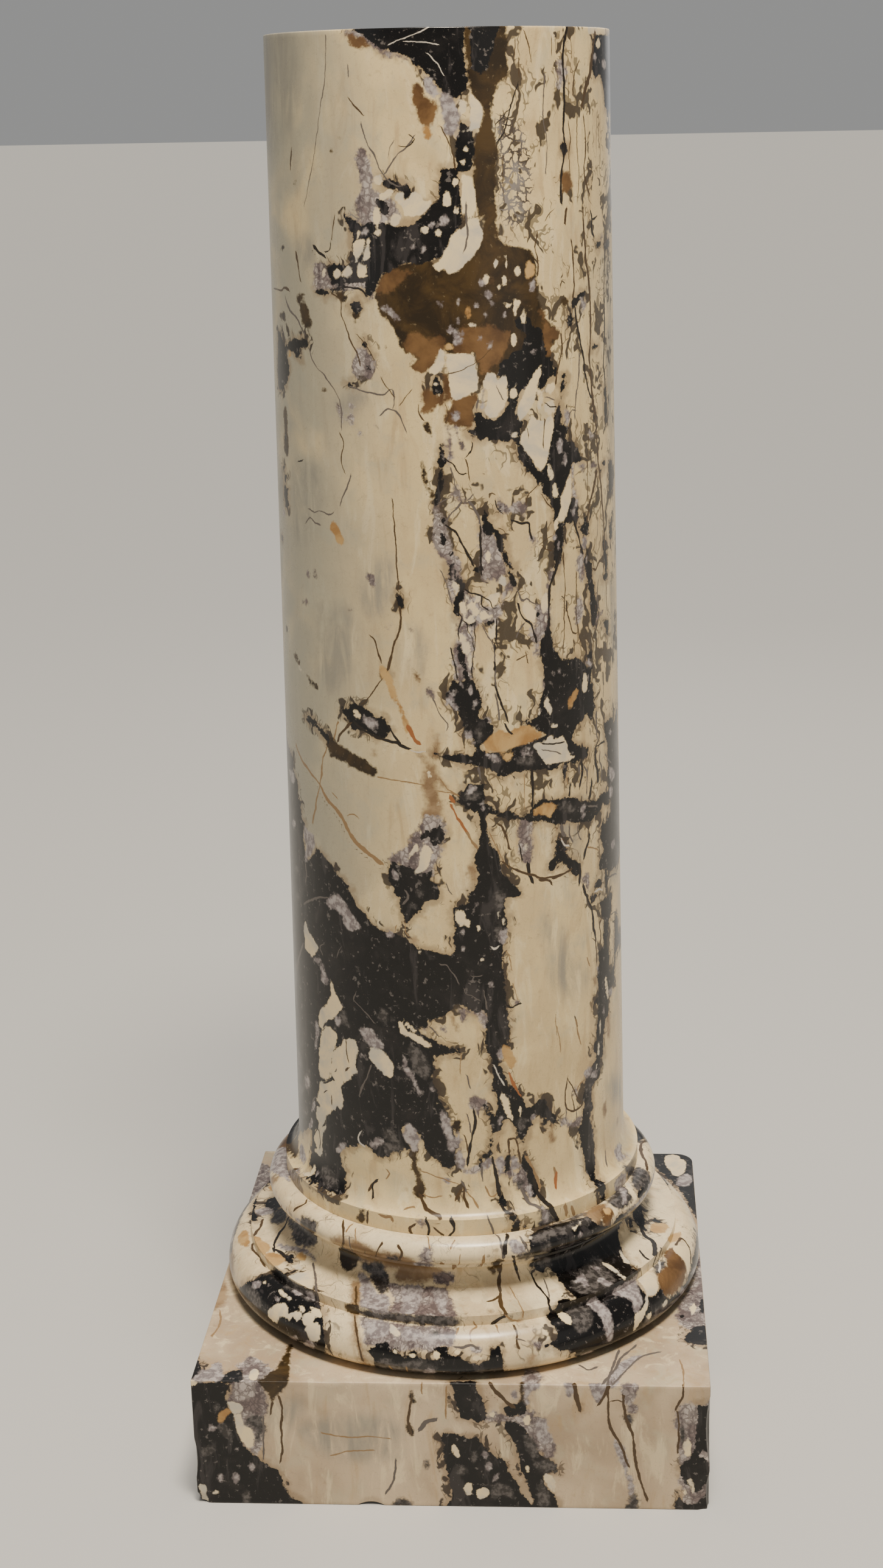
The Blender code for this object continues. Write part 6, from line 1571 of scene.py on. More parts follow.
def plinth_left_marks():
    """The plinth's black left corner with its pale chips, its grey shards and the brown fork."""
    return [
        patch(INK, (-306, 158), (-284, 160), (-258, 161), (-254, 152), (-258, 145), (-259, 134),
            (-257, 127), (-251, 118), (-249, 100), (-245, 86), (-241, 77), (-234, 69), (-226, 63),
            (-219, 56), (-212, 51), (-205, 47), (-201, 40), (-199, 32), (-195, 22), (-190, 12), (-182, -4),
            (-308, -6)),
        patch(HONEY, (-269, 121), (-262, 125), (-258, 127), (-254, 122), (-260, 118), (-263, 112),
            (-265, 108), (-270, 110)),
        patch(BONE, (-297, 26), (-290, 24), (-289, 16), (-290, 10), (-289, 1), (-298, 1), (-296, 14)),
        pebble(LILAC, -279, 100, 8, 8),
        pebble(LILAC, -272, 33, 7, 13),
        pebble(LILAC, -253, 34, 8, 15, -16),
        pebble(BONE, -278, 14, 9, 6),
        pebble(LILAC, -250, 73, 4, 6),
        pebble(LILAC, -234, 50, 7, 15, 10),
        pebble(SMOKE, -271, 128, 6, 12),
        pebble(SMOKE, -284, 70, 16, 12, 20),
        pebble(SMOKE, -262, 96, 9, 30, 24),
        pebble(SMOKE, -242, 8, 8, 18),
        pebble(BONE, -297, 161, 8, 7),
        patch(DOVE, (-252, 165), (-220, 166), (-213, 152), (-209, 138), (-213, 124), (-217, 112),
            (-219, 98), (-220, 84), (-222, 70), (-228, 65), (-237, 73), (-244, 82), (-249, 98), (-252, 119),
            (-257, 130), (-259, 141), (-254, 152)),
        block(BONE, (-252, 120), (-243, 119), (-241, 106), (-238, 103), (-232, 100), (-229, 92), (-230, 79),
            (-236, 73), (-244, 84), (-249, 98)),
        patch(SMOKE, (-235, 117), (-219, 118), (-217, 105), (-220, 92), (-225, 80), (-228, 90), (-228, 101),
            (-238, 106)),
        patch(BONE, (-257, 136), (-244, 133), (-240, 126), (-246, 121), (-254, 122)),
        patch(OLIVE, (-220, 168), (-216, 154), (-211, 146), (-208, 136), (-205, 133), (-201, 141),
            (-196, 148), (-189, 156), (-188, 168)),
        patch(FAWN, (-210, 166), (-206, 152), (-200, 148), (-193, 158), (-193, 166)),
        vein(3.0, UMBER, (-206, 136), (-209, 120)),
        vein(2.6, UMBER, (-198, 144), (-195, 128), (-196, 112), (-197, 92), (-197, 72), (-200, 56)),
        vein(2.2, GREY, (-217, 116), (-218, 96), (-219, 76), (-220, 60)),
        patch(MIST_AND_SHADE, (-178, 100), (-150, 116), (-90, 120), (-60, 108), (-60, 88), (-64, 66), (-100, 60),
            (-140, 66), (-160, 80)),
        patch(MIST_AND_SHADE, (-210, 120), (-180, 140), (-170, 134), (-180, 110), (-200, 96)),
        patch(OLIVE, (-43, 153), (-40, 143), (-38, 136), (-43, 137), (-45, 143)),
        vein(3.2, UMBER, (-43, 148), (-46, 130), (-48, 112), (-45, 96)),
        patch(OLIVE, (-51, 104), (-48, 111), (-45, 104), (-42, 98), (-46, 94)),
        vein(1.8, TAN, (-31, 165), (-32, 150)),
        vein(2.0, TAN, (-3, 160), (-4, 142), (-5, 118)),
        vein(5.0, GREY, (-36, 101), (-28, 112), (-16, 117)),
        patch(SMOKE, (-32, 48), (-31, 60), (-29, 62), (-27, 60), (-27, 50), (-29, 49)),
        patch(SMOKE, (-70, -2), (-66, 9), (-58, 12), (-50, 6), (-48, -2)),
        vein(2.4, GREY, (-64, 62), (-66, 44), (-70, 28), (-78, 16)),
        vein(1.6, TAN, (-150, 96), (-122, 91), (-96, 92), (-70, 90)),
        vein(1.6, TAN, (-140, 66), (-120, 72), (-90, 74)),
        patch(INK, (-306, 206), (-297, 202), (-292, 184), (-294, 166), (-306, 160)),
        patch(LILAC, (-291, 186), (-284, 188), (-278, 204), (-270, 201), (-266, 184), (-264, 171),
            (-268, 164), (-295, 164)),
        patch(INK, (-264, 172), (-258, 182), (-246, 187), (-242, 180), (-242, 162), (-266, 162)),
        patch(DOVE, (-253, 196), (-246, 206), (-240, 219), (-228, 211), (-218, 202), (-210, 190),
            (-206, 182), (-212, 172), (-217, 162), (-240, 162), (-243, 184)),
        pebble(BONE, -228, 178, 10, 26, 4),
        patch(OLIVE, (-197, 242), (-191, 240), (-190, 212), (-188, 190), (-188, 162), (-216, 162),
            (-212, 180), (-204, 189), (-201, 210)),
        patch(FAWN, (-206, 180), (-196, 190), (-191, 180), (-191, 162), (-208, 162)),
    ]


def plinth_right_marks():
    """The plinth's black shards right of the middle, its fine veins and the broken right corner."""
    return [
        patch(INK, (3, 168), (6, 154), (8, 140), (10, 128), (13, 118), (22, 117), (28, 114), (33, 112),
            (38, 114), (41, 122), (40, 132), (38, 140), (34, 150), (31, 156), (28, 168)),
        vein(5.0, UMBER, (47, 166), (53, 154), (60, 147), (66, 140), (74, 133)),
        patch(INK, (64, 134), (74, 136), (80, 138), (87, 140), (88, 128), (80, 123), (68, 121), (65, 126)),
        patch(OLIVE, (82, 166), (87, 166), (88, 152), (90, 142), (86, 134), (81, 136), (82, 148)),
        patch(LILAC, (88, 166), (105, 166), (104, 157), (95, 154), (90, 148), (91, 138), (87, 140)),
        pebble(LILAC, 76, 149, 8, 13, 14),
        patch(DOVE, (41, 116), (44, 121), (52, 128), (58, 123), (66, 121), (80, 123), (88, 130), (96, 128),
            (104, 122), (111, 118), (115, 106), (118, 92), (123, 78), (119, 68), (112, 68), (104, 74),
            (96, 88), (88, 98), (76, 108), (64, 112), (46, 112)),
        patch(LILAC, (100, 118), (110, 117), (114, 104), (117, 92), (108, 84), (100, 96)),
        block(BONE, (84, 116), (86, 122), (92, 124), (94, 117), (90, 109), (86, 110)),
        pebble(BONE, 49, 123, 7, 6),
        patch(INK, (62, 115), (70, 116), (80, 113), (88, 104), (92, 96), (98, 82), (104, 72), (112, 64),
            (121, 60), (123, 48), (114, 46), (107, 42), (108, 34), (114, 25), (119, 18), (122, 8),
            (123, -5), (97, -5), (94, 12), (90, 24), (86, 38), (82, 52), (79, 66), (77, 78), (72, 90),
            (66, 102)),
        patch(SMOKE, (82, 100), (94, 95), (102, 78), (97, 64), (90, 76), (84, 84)),
        patch(SMOKE, (98, 58), (110, 64), (122, 58), (120, 48), (108, 48)),
        patch(BONE, (107, 42), (112, 46), (118, 42), (121, 32), (119, 20), (114, 26)),
        patch(SMOKE, (100, 30), (106, 34), (114, 16), (112, 4), (102, 6)),
        pebble(BONE, 89, 51, 4, 7),
        patch(INK, (-10, 95), (4, 97), (14, 95), (22, 92), (30, 94), (36, 88), (40, 79), (48, 72), (56, 66),
            (63, 61), (66, 52), (71, 44), (76, 34), (80, 24), (84, 16), (90, 8), (93, -5), (1, -5), (0, 12),
            (-2, 26), (-2, 40), (-6, 54), (-8, 68), (-9, 82)),
        patch(BONE, (1, 80), (4, 83), (8, 78), (10, 68), (7, 65), (3, 72)),
        patch(BONE, (16, 30), (24, 33), (24, 22), (21, 16), (15, 22)),
        patch(BONE, (29, 19), (33, 25), (40, 26), (44, 20), (41, 14), (33, 11)),
        pebble(LILAC, 44, 54, 6, 9, -20),
        pebble(LILAC, 52, 40, 5, 14, -32),
        pebble(LILAC, 40, 70, 5, 9),
        pebble(SMOKE, 27, 66, 6, 14),
        pebble(FAWN, 60, 8, 13, 16),
        patch(SMOKE, (46, 24), (54, 32), (68, 24), (72, 12), (60, 18), (50, 12)),
        pebble(RUST, 62, 54, 6, 12, -30),
        pebble(SMOKE, 12, 48, 9, 14),
        patch(LILAC, (133, 166), (144, 166), (144, 152), (138, 146), (134, 152)),
        vein(4.4, UMBER, (144, 166), (146, 152), (148, 142), (151, 130)),
        patch(FAWN, (147, 140), (155, 138), (154, 127), (148, 130)),
        patch(LILAC, (159, 166), (180, 166), (178, 152), (172, 141), (167, 147)),
        vein(3.2, UMBER, (184, 162), (178, 148), (171, 137)),
        vein(3.0, UMBER, (182, 160), (183, 140), (183, 122), (186, 107), (192, 94), (199, 82), (203, 66),
            (207, 57)),
        patch(DOVE, (200, 166), (216, 166), (215, 148), (209, 140), (200, 143)),
        vein(2.0, UMBER, (186, 142), (193, 144), (200, 142)),
        vein(3.4, UMBER, (200, 150), (202, 128), (206, 112), (211, 98), (213, 82), (214, 66), (217, 50),
            (221, 34), (228, 12)),
        patch(SMOKE, (201, 124), (207, 126), (212, 122), (212, 112), (207, 108), (203, 114)),
        pebble(DOVE, 211, 134, 11, 13),
        patch(LILAC, (190, 90), (200, 84), (204, 70), (206, 56), (204, 40), (200, 54), (194, 68)),
        patch(LILAC, (204, 44), (210, 44), (214, 30), (212, 20), (206, 18), (205, 30)),
        patch(SMOKE, (206, 18), (213, 26), (218, 12), (218, 2), (205, -2)),
        vein(2.6, UMBER, (269, 168), (268, 150), (263, 140), (260, 132)),
        patch(DOVE, (262, 134), (270, 140), (282, 141), (290, 138), (306, 136), (306, -5), (264, -5),
            (268, 20), (265, 40), (265, 58), (264, 72), (262, 86), (264, 100), (260, 112), (259, 124)),
        patch(INK, (284, 142), (292, 138), (304, 134), (306, 80), (292, 78), (284, 66), (278, 70),
            (284, 84), (285, 100), (287, 114), (286, 130)),
        patch(INK, (265, 60), (276, 66), (284, 72), (296, 66), (302, 44), (296, 28), (286, 20), (281, 24),
            (275, 30), (269, 42), (264, 52)),
        patch(INK, (264, 18), (270, 14), (276, 8), (290, 10), (300, 20), (306, 12), (306, -5), (264, -5)),
        patch(BONE, (270, 90), (276, 95), (278, 84), (277, 72), (271, 76)),
        patch(BONE, (275, 40), (279, 42), (283, 30), (281, 20), (277, 28)),
        pebble(BONE, 272, 24, 6, 9),
        pebble(SMOKE, 268, 100, 5, 26),
        vein(2.4, UMBER, (262, 130), (264, 112), (264, 92), (263, 76)),
    ]


def plinth_top_marks():
    """Marks on the plinth's top, beyond the front arris, as millimetres over the fold."""
    return [
        patch(DOVE, (84, 163), (105, 163), (104, 190), (88, 192)),
        vein(3.4, GREY, (150, 206), (160, 196), (170, 203)),
        vein(3.4, GREY, (176, 166), (190, 196), (198, 222), (216, 252)),
        vein(2.6, GREY, (188, 164), (204, 196), (222, 226), (244, 238)),
        vein(3.0, GREY, (182, 164), (186, 192), (196, 240)),
        patch(LILAC, (180, 163), (192, 163), (206, 200), (224, 228), (210, 226), (196, 210), (184, 186)),
        vein(2.0, TAN, (269, 163), (270, 196), (266, 220)),
        patch(INK, (277, 260), (300, 256), (306, 300), (292, 297), (283, 285), (276, 276)),
        patch(DOVE, (270, 300), (304, 300), (304, 480), (296, 462), (287, 402), (276, 368), (266, 328)),
        pebble(INK, 273, 318, 6, 16),
        pebble(INK, 290, 312, 12, 18, 20),
        pebble(INK, 298, 346, 8, 34),
        pebble(BONE, 286, 336, 8, 30, -10),
        patch(INK, (226, 770), (238, 740), (252, 712), (268, 680), (282, 648), (306, 560), (306, 770)),
        patch(BONE, (262, 752), (280, 758), (291, 734), (288, 706), (276, 694), (266, 716)),
        patch(LILAC, (280, 690), (292, 700), (298, 680), (290, 664), (276, 668)),
        patch(FAWN, (-300, 400), (-292, 380), (-288, 340), (-304, 320)),
        vein(2.4, TAN, (-292, 320), (-286, 290), (-292, 262)),
        patch(DOVE, (-306, 560), (-290, 580), (-276, 640), (-282, 700), (-306, 720)),
        vein(3.0, UMBER, (-270, 770), (-262, 730), (-268, 690), (-284, 650)),
        vein(2.6, GREY, (-200, 770), (-212, 735), (-206, 712)),
    ]


def plinth_front_marks():
    """Marks on the plinth's front and top, in millimetres right of the middle and up from the floor."""
    return plinth_left_marks() + plinth_right_marks() + plinth_top_marks()


def plinth_side_marks():
    """The other three sides: plainer echoes of the front, so that its corners carry on round."""
    marks = []
    for mark in plinth_left_marks() + plinth_right_marks():
        points = mark.get("points", ())
        if len(points) > 7 and max(height for _, height in points) < 170:
            for middle, way in ((-600, -1), (600, 1), (1200, 1)):
                marks.append({**mark, "points": [(middle + way * x, height) for x, height in points]})
    return marks


def base_marks():
    """The moulded base's marks, in degrees by millimetres up its outline, with echoes on its back."""
    front = lower_torus_marks() + upper_torus_marks()
    echo = [mark for mark in front if len(mark.get("points", ())) > 6]
    return front + turned_to_back(echo, -10, 250)


def shaft_marks():
    """All the shaft's marks, with a plainer echo of the front's on the back."""
    front = (shaft_head_marks() + shaft_shoulder_marks() + shaft_upper_marks() + shaft_middle_marks()
             + shaft_waist_marks() + shaft_knee_marks() + shaft_foot_marks() + shaft_ankle_marks())
    echo = [mark for mark in front if len(mark.get("points", ())) > 5]
    return front + turned_to_back(echo, 308, 1647)


def smooth_ring(points):
    """A closed outline through the points, rounded between them."""
    ring = np.array(points, float)
    before, after, later = np.roll(ring, 1, 0), np.roll(ring, -1, 0), np.roll(ring, -2, 0)
    steps = []
    for step in range(CURVE_STEPS):
        t = step / CURVE_STEPS
        steps.append(0.5 * (2 * ring + (after - before) * t
                            + (2 * before - 5 * ring + 4 * after - later) * t * t
                            + (3 * ring - before - 3 * after + later) * t ** 3))
    return np.stack(steps, 1).reshape(-1, 2)


def smooth_line(points):
    """An open line through the points, rounded between them."""
    line = np.array(points, float)
    ends = np.vstack([2 * line[0] - line[1], line, 2 * line[-1] - line[-2]])
    curve = []
    for index in range(len(line) - 1):
        before, start, end, after = ends[index:index + 4]
        for step in range(CURVE_STEPS):
            t = step / CURVE_STEPS
            curve.append(0.5 * (2 * start + (end - before) * t
                                + (2 * before - 5 * start + 4 * end - after) * t * t
                                + (3 * start - before - 3 * end + after) * t ** 3))
    curve.append(line[-1])
    return np.array(curve)


def nearest(spots, starts, ends):
    """Distance from each spot to the nearest segment, with its side and how far past the ends it lies."""
    along = ends - starts
    length = np.maximum(np.hypot(along[:, 0], along[:, 1]), 1e-9)
    away = spots[:, None, :] - starts[None]
    share = np.einsum("ijk,jk->ij", away, along) / length ** 2
    held = np.clip(share, 0, 1)
    gap = away - held[..., None] * along
    distance = np.hypot(gap[..., 0], gap[..., 1])
    side = np.sign(along[:, 0] * away[..., 1] - along[:, 1] * away[..., 0])
    best = distance.argmin(1)
    rows = np.arange(len(spots))
    past = np.maximum(-share[:, 0] * length[0], (share[:, -1] - 1) * length[-1])
    return distance[rows, best], side[rows, best], past


def inside(spots, ring):
    """Whether each spot lies within a closed outline."""
    ends = np.roll(ring, -1, 0)
    x, y = spots[:, 0:1], spots[:, 1:2]
    crosses = (ring[:, 1] > y) != (ends[:, 1] > y)
    rise = ends[:, 1] - ring[:, 1]
    reach = ring[:, 0] + (y - ring[:, 1]) * (ends[:, 0] - ring[:, 0]) / np.where(rise == 0, 1e-12, rise)
    return (crosses & (x < reach)).sum(1) % 2 == 1


class Sheet:
    """A surface laid flat, on which marks are drawn and from which its vertices take their values."""

    def __init__(self, spots, unit):
        self.spots = spots
        self.unit = np.array(unit)
        count = len(spots)
        self.fields = {kind: np.full(count, FAR_OUTSIDE) for kind in KINDS}
        self.across = [np.full(count, VEIN_REACH) for _ in range(VEIN_LAYERS)]
        self.half = [np.full(count, -MILLI) for _ in range(VEIN_LAYERS)]
        self.tint = [np.zeros(count) for _ in range(VEIN_LAYERS)]
        self.drawn = [[] for _ in range(VEIN_LAYERS)]

    def near(self, corners, margin):
        """Which spots lie in the box round some points."""
        low, high = corners.min(0) - margin, corners.max(0) + margin
        return np.nonzero(((self.spots > low) & (self.spots < high)).all(1))[0]

    def draw(self, marks, shift=0.0):
        """Draw each mark, moved sideways by shift metres."""
        for mark in marks:
            if "width" in mark:
                self.draw_vein(mark, shift)
            elif "oval" in mark:
                self.draw_oval(mark, shift)
            else:
                self.draw_shape(mark, shift)

    def raise_field(self, kind, rows, values):
        self.fields[kind][rows] = np.maximum(self.fields[kind][rows], values)

    def draw_shape(self, mark, shift):
        ring = smooth_ring(mark["points"]) if mark["smooth"] else np.array(mark["points"], float)
        ring = ring * self.unit + (shift, 0)
        rows = self.near(ring, REACH.get(mark["kind"], USUAL_REACH))
        if len(rows) == 0:
            return
        spots = self.spots[rows]
        distance = nearest(spots, ring, np.roll(ring, -1, 0))[0]
        self.raise_field(mark["kind"], rows, np.where(inside(spots, ring), distance, -distance))

    def draw_oval(self, mark, shift):
        x, y, wide, high, lean = mark["oval"]
        centre = np.array((x, y)) * self.unit + (shift, 0)
        size = np.array((wide, high)) * self.unit
        rows = self.near(np.array([centre]), max(size) + USUAL_REACH)
        if len(rows) == 0:
            return
        away = self.spots[rows] - centre
        turned = np.stack([away[:, 0] * math.cos(lean) + away[:, 1] * math.sin(lean),
                           away[:, 1] * math.cos(lean) - away[:, 0] * math.sin(lean)], 1)
        share = np.hypot(turned[:, 0] / size[0], turned[:, 1] / size[1])
        far = np.hypot(turned[:, 0], turned[:, 1])
        radius = far / np.maximum(share, 1e-6)
        self.raise_field(mark["kind"], rows, np.where(far > 1e-6, radius - far, min(size)))

    def draw_vein(self, mark, shift):
        line = smooth_line(mark["points"]) * self.unit + (shift, 0)
        layer = self.free_layer(line)
        self.drawn[layer].append(line)
        rows = self.near(line, VEIN_REACH)
        if len(rows) == 0:
            return
        distance, side, past = nearest(self.spots[rows], line[:-1], line[1:])
        close = distance < np.minimum(VEIN_REACH, np.abs(self.across[layer][rows]) + 1e-9)
        rows, distance, side, past = rows[close], distance[close], side[close], past[close]
        width = mark["width"] * MILLI / 2
        edge = np.clip((distance - VEIN_FULL) / (VEIN_REACH - VEIN_FULL), 0, 1)
        tip = np.clip(past / VEIN_FULL, 0, 1)
        self.across[layer][rows] = distance * side
        self.half[layer][rows] = width - (width + MILLI) * np.maximum(edge, tip)
        self.tint[layer][rows] = mark["tint"]

    def free_layer(self, line):
        """The vein layer in which the line keeps farthest from what is drawn there."""
        room = []
        for layer, lines in enumerate(self.drawn):
            gap = VEIN_CLEARANCE * 2
            for other in lines:
                if (other.min(0) > line.max(0) + VEIN_CLEARANCE).any():
                    continue
                if (other.max(0) < line.min(0) - VEIN_CLEARANCE).any():
                    continue
                away = line[:, None, :] - other[None]
                gap = min(gap, np.hypot(away[..., 0], away[..., 1]).min())
            if gap >= VEIN_CLEARANCE:
                return layer
            room.append(gap)
        return int(np.argmax(room))

    def give_to(self, mesh):
        """Write the values on the mesh's vertices."""
        values = dict(self.fields)
        for layer in range(VEIN_LAYERS):
            values[f"vein across {layer}"] = self.across[layer]
            values[f"vein half {layer}"] = self.half[layer]
            values[f"vein tint {layer}"] = self.tint[layer]
        for name, numbers in values.items():
            attribute = mesh.attributes.new(name, 'FLOAT', 'POINT')
            attribute.data.foreach_set("value", numbers.astype(np.float32))


def quarter(centre, radii, start, steps):
    """Points of a quarter turn of an ellipse in the radius-height plane, turning clockwise."""
    angles = [start - math.pi / 2 * step / steps for step in range(steps + 1)]
    return [(centre[0] + radii[0] * math.cos(a), centre[1] + radii[1] * math.sin(a)) for a in angles]


def torus(seat_radius, bulge, bed, height, belly_height, steps):
    """A torus's half round from its top to its bed, widest at the belly."""
    centre = (seat_radius, bed + belly_height)
    upper = quarter(centre, (bulge, height - belly_height), math.pi / 2, steps)
    return upper + quarter(centre, (bulge, belly_height), 0.0, steps)[1:]


def hollow(outer, throat, steps):
    """A quarter hollow from a throat out to a lip, both (radius, height), level at the lip."""
    radii = (outer[0] - throat[0], throat[1] - outer[1])
    angles = [math.pi / 2 * step / steps for step in range(steps + 1)]
    return [(outer[0] - radii[0] * math.cos(a), throat[1] - radii[1] * math.sin(a)) for a in angles]


def base_outline(bed, top):
    """The moulded base's outline as (radius, height), from its top centre to its bed centre."""
    upper_torus_bed = top - UPPER_TORUS_HEIGHT
    upper_fillet_bed = upper_torus_bed - UPPER_FILLET_HEIGHT
    throat_height = upper_fillet_bed - SCOTIA_UNDERCUT
    scotia_bed = upper_fillet_bed - SCOTIA_HEIGHT
    lower_fillet_bed = scotia_bed - LOWER_FILLET_HEIGHT
    upper_seat = CINCTURE_RADIUS + CINCTURE_LEDGE
    throat = (upper_seat - SCOTIA_UNDERCUT, throat_height)
    lower_seat = PLINTH_SIDE / 2 - PLINTH_MARGIN - LOWER_TORUS_BULGE

    points = [(0.0, top)]
    points += torus(upper_seat, UPPER_TORUS_BULGE, upper_torus_bed, UPPER_TORUS_HEIGHT,
                    UPPER_TORUS_HEIGHT / 2, UPPER_TORUS_STEPS)
    points += hollow((upper_seat, upper_fillet_bed), throat, THROAT_STEPS)[::-1]
    points += hollow((lower_seat, scotia_bed), throat, SCOTIA_STEPS)[1:]
    points.append((lower_seat, lower_fillet_bed))
    points += torus(lower_seat, LOWER_TORUS_BULGE, bed, LOWER_TORUS_HEIGHT, LOWER_TORUS_BELLY_HEIGHT,
                    LOWER_TORUS_STEPS)[1:]
    points.append((0.0, bed))
    return points


def shaft_outline(bed, top):
    """The shaft's outline as (radius, height), from its top centre to its bed centre."""
    cincture_top = bed + CINCTURE_HEIGHT
    flare_top = cincture_top + APOPHYGE_HEIGHT
    points = [(0.0, top)]
    points += quarter((SHAFT_TOP_RADIUS - SHAFT_ARRIS, top - SHAFT_ARRIS), (SHAFT_ARRIS, SHAFT_ARRIS),
                      math.pi / 2, ARRIS_STEPS)
    points += hollow((CINCTURE_RADIUS, cincture_top), (SHAFT_FOOT_RADIUS, flare_top), FLARE_STEPS)
    points += [(CINCTURE_RADIUS, bed), (0.0, bed)]
    return points


def stations(outline, cell):
    """The outline from its bed up, cut into steps no longer than a cell, or a cap's cell on the beds."""
    points = outline[::-1]
    fine = [points[0]]
    for number, (start, end) in enumerate(zip(points, points[1:])):
        on_bed = number in (0, len(points) - 2)
        length = math.dist(start, end)
        count = max(1, math.ceil(length / (CAP_CELL if on_bed else cell) - 1e-6))
        for step in range(1, count + 1):
            share = step / count
            fine.append((start[0] + (end[0] - start[0]) * share, start[1] + (end[1] - start[1]) * share))
    return fine


def outline_object(name, fine, skip_bed):
    """The outline as a chain of edges in the plane y = 0, with the run along it from the bed's rim."""
    mesh = bpy.data.meshes.new(name)
    mesh.from_pydata([(radius, 0.0, height) for radius, height in fine],
                     [(index, index + 1) for index in range(len(fine) - 1)], [])
    lengths = [0.0]
    for start, end in zip(fine, fine[1:]):
        lengths.append(lengths[-1] + math.dist(start, end))
    run = mesh.attributes.new("run", 'FLOAT', 'POINT')
    run.data.foreach_set("value", [length - skip_bed for length in lengths])
    outline = bpy.data.objects.new(name, mesh)
    bpy.context.scene.collection.objects.link(outline)
    return outline


class Bench:
    """A node tree with short ways to place and join its nodes."""

    def __init__(self, tree):
        self.tree = tree

    def put(self, socket, value):
        if isinstance(value, bpy.types.NodeSocket):
            self.tree.links.new(value, socket)
        elif value is not None:
            socket.default_value = value

    def node(self, kind, inputs=None, **settings):
        node = self.tree.nodes.new(kind)
        for name, value in settings.items():
            setattr(node, name, value)
        for name, value in (inputs or {}).items():
            self.put(node.inputs[name], value)
        return node

    def sum(self, operation, a, b=None, c=None):
        inputs = {index: value for index, value in enumerate((a, b, c)) if value is not None}
        return self.node("ShaderNodeMath", inputs, operation=operation).outputs[0]

    def vector(self, operation, a, b):
        return self.node("ShaderNodeVectorMath", {0: a, 1: b}, operation=operation).outputs[0]

    def cell_edges(self, where, scale):
        """Distance to the nearest seam between random cells."""
        return self.node("ShaderNodeTexVoronoi", {"Vector": where, "Scale": scale, "Randomness": 1.0},
                         feature='DISTANCE_TO_EDGE').outputs["Distance"]

    def noise(self, where, scale, detail=3.0, roughness=0.55, distortion=0.0):
        return self.node("ShaderNodeTexNoise", {"Vector": where, "Scale": scale, "Detail": detail,
                                                "Roughness": roughness, "Distortion": distortion}).outputs

    def rise(self, value, low, high):
        """0 below low, 1 above high."""
        return self.node("ShaderNodeMapRange", {"Value": value, "From Min": low, "From Max": high},
                         interpolation_type='SMOOTHSTEP').outputs[0]

    def blend(self, mask, below, above):
        mix = self.node("ShaderNodeMix", data_type='RGBA')
        for index, value in ((0, mask), (6, below), (7, above)):
            self.put(mix.inputs[index], value)
        return mix.outputs[2]

    def group(self, tree, inputs):
        node = self.node("ShaderNodeGroup", node_tree=tree)
        for name, value in inputs.items():
            self.put(node.inputs[name], value)
        return node.outputs


def sheet_tree(name, kind, inputs, outputs):
    """A node group with named sockets, and its bench, entry and exit."""
    tree = bpy.data.node_groups.new(name, kind)
    for direction, sockets in (('INPUT', inputs), ('OUTPUT', outputs)):
        for label, socket_type in sockets:
            tree.interface.new_socket(label, in_out=direction, socket_type=socket_type)
    bench = Bench(tree)
    return tree, bench, bench.node("NodeGroupInput").outputs, bench.node("NodeGroupOutput").inputs


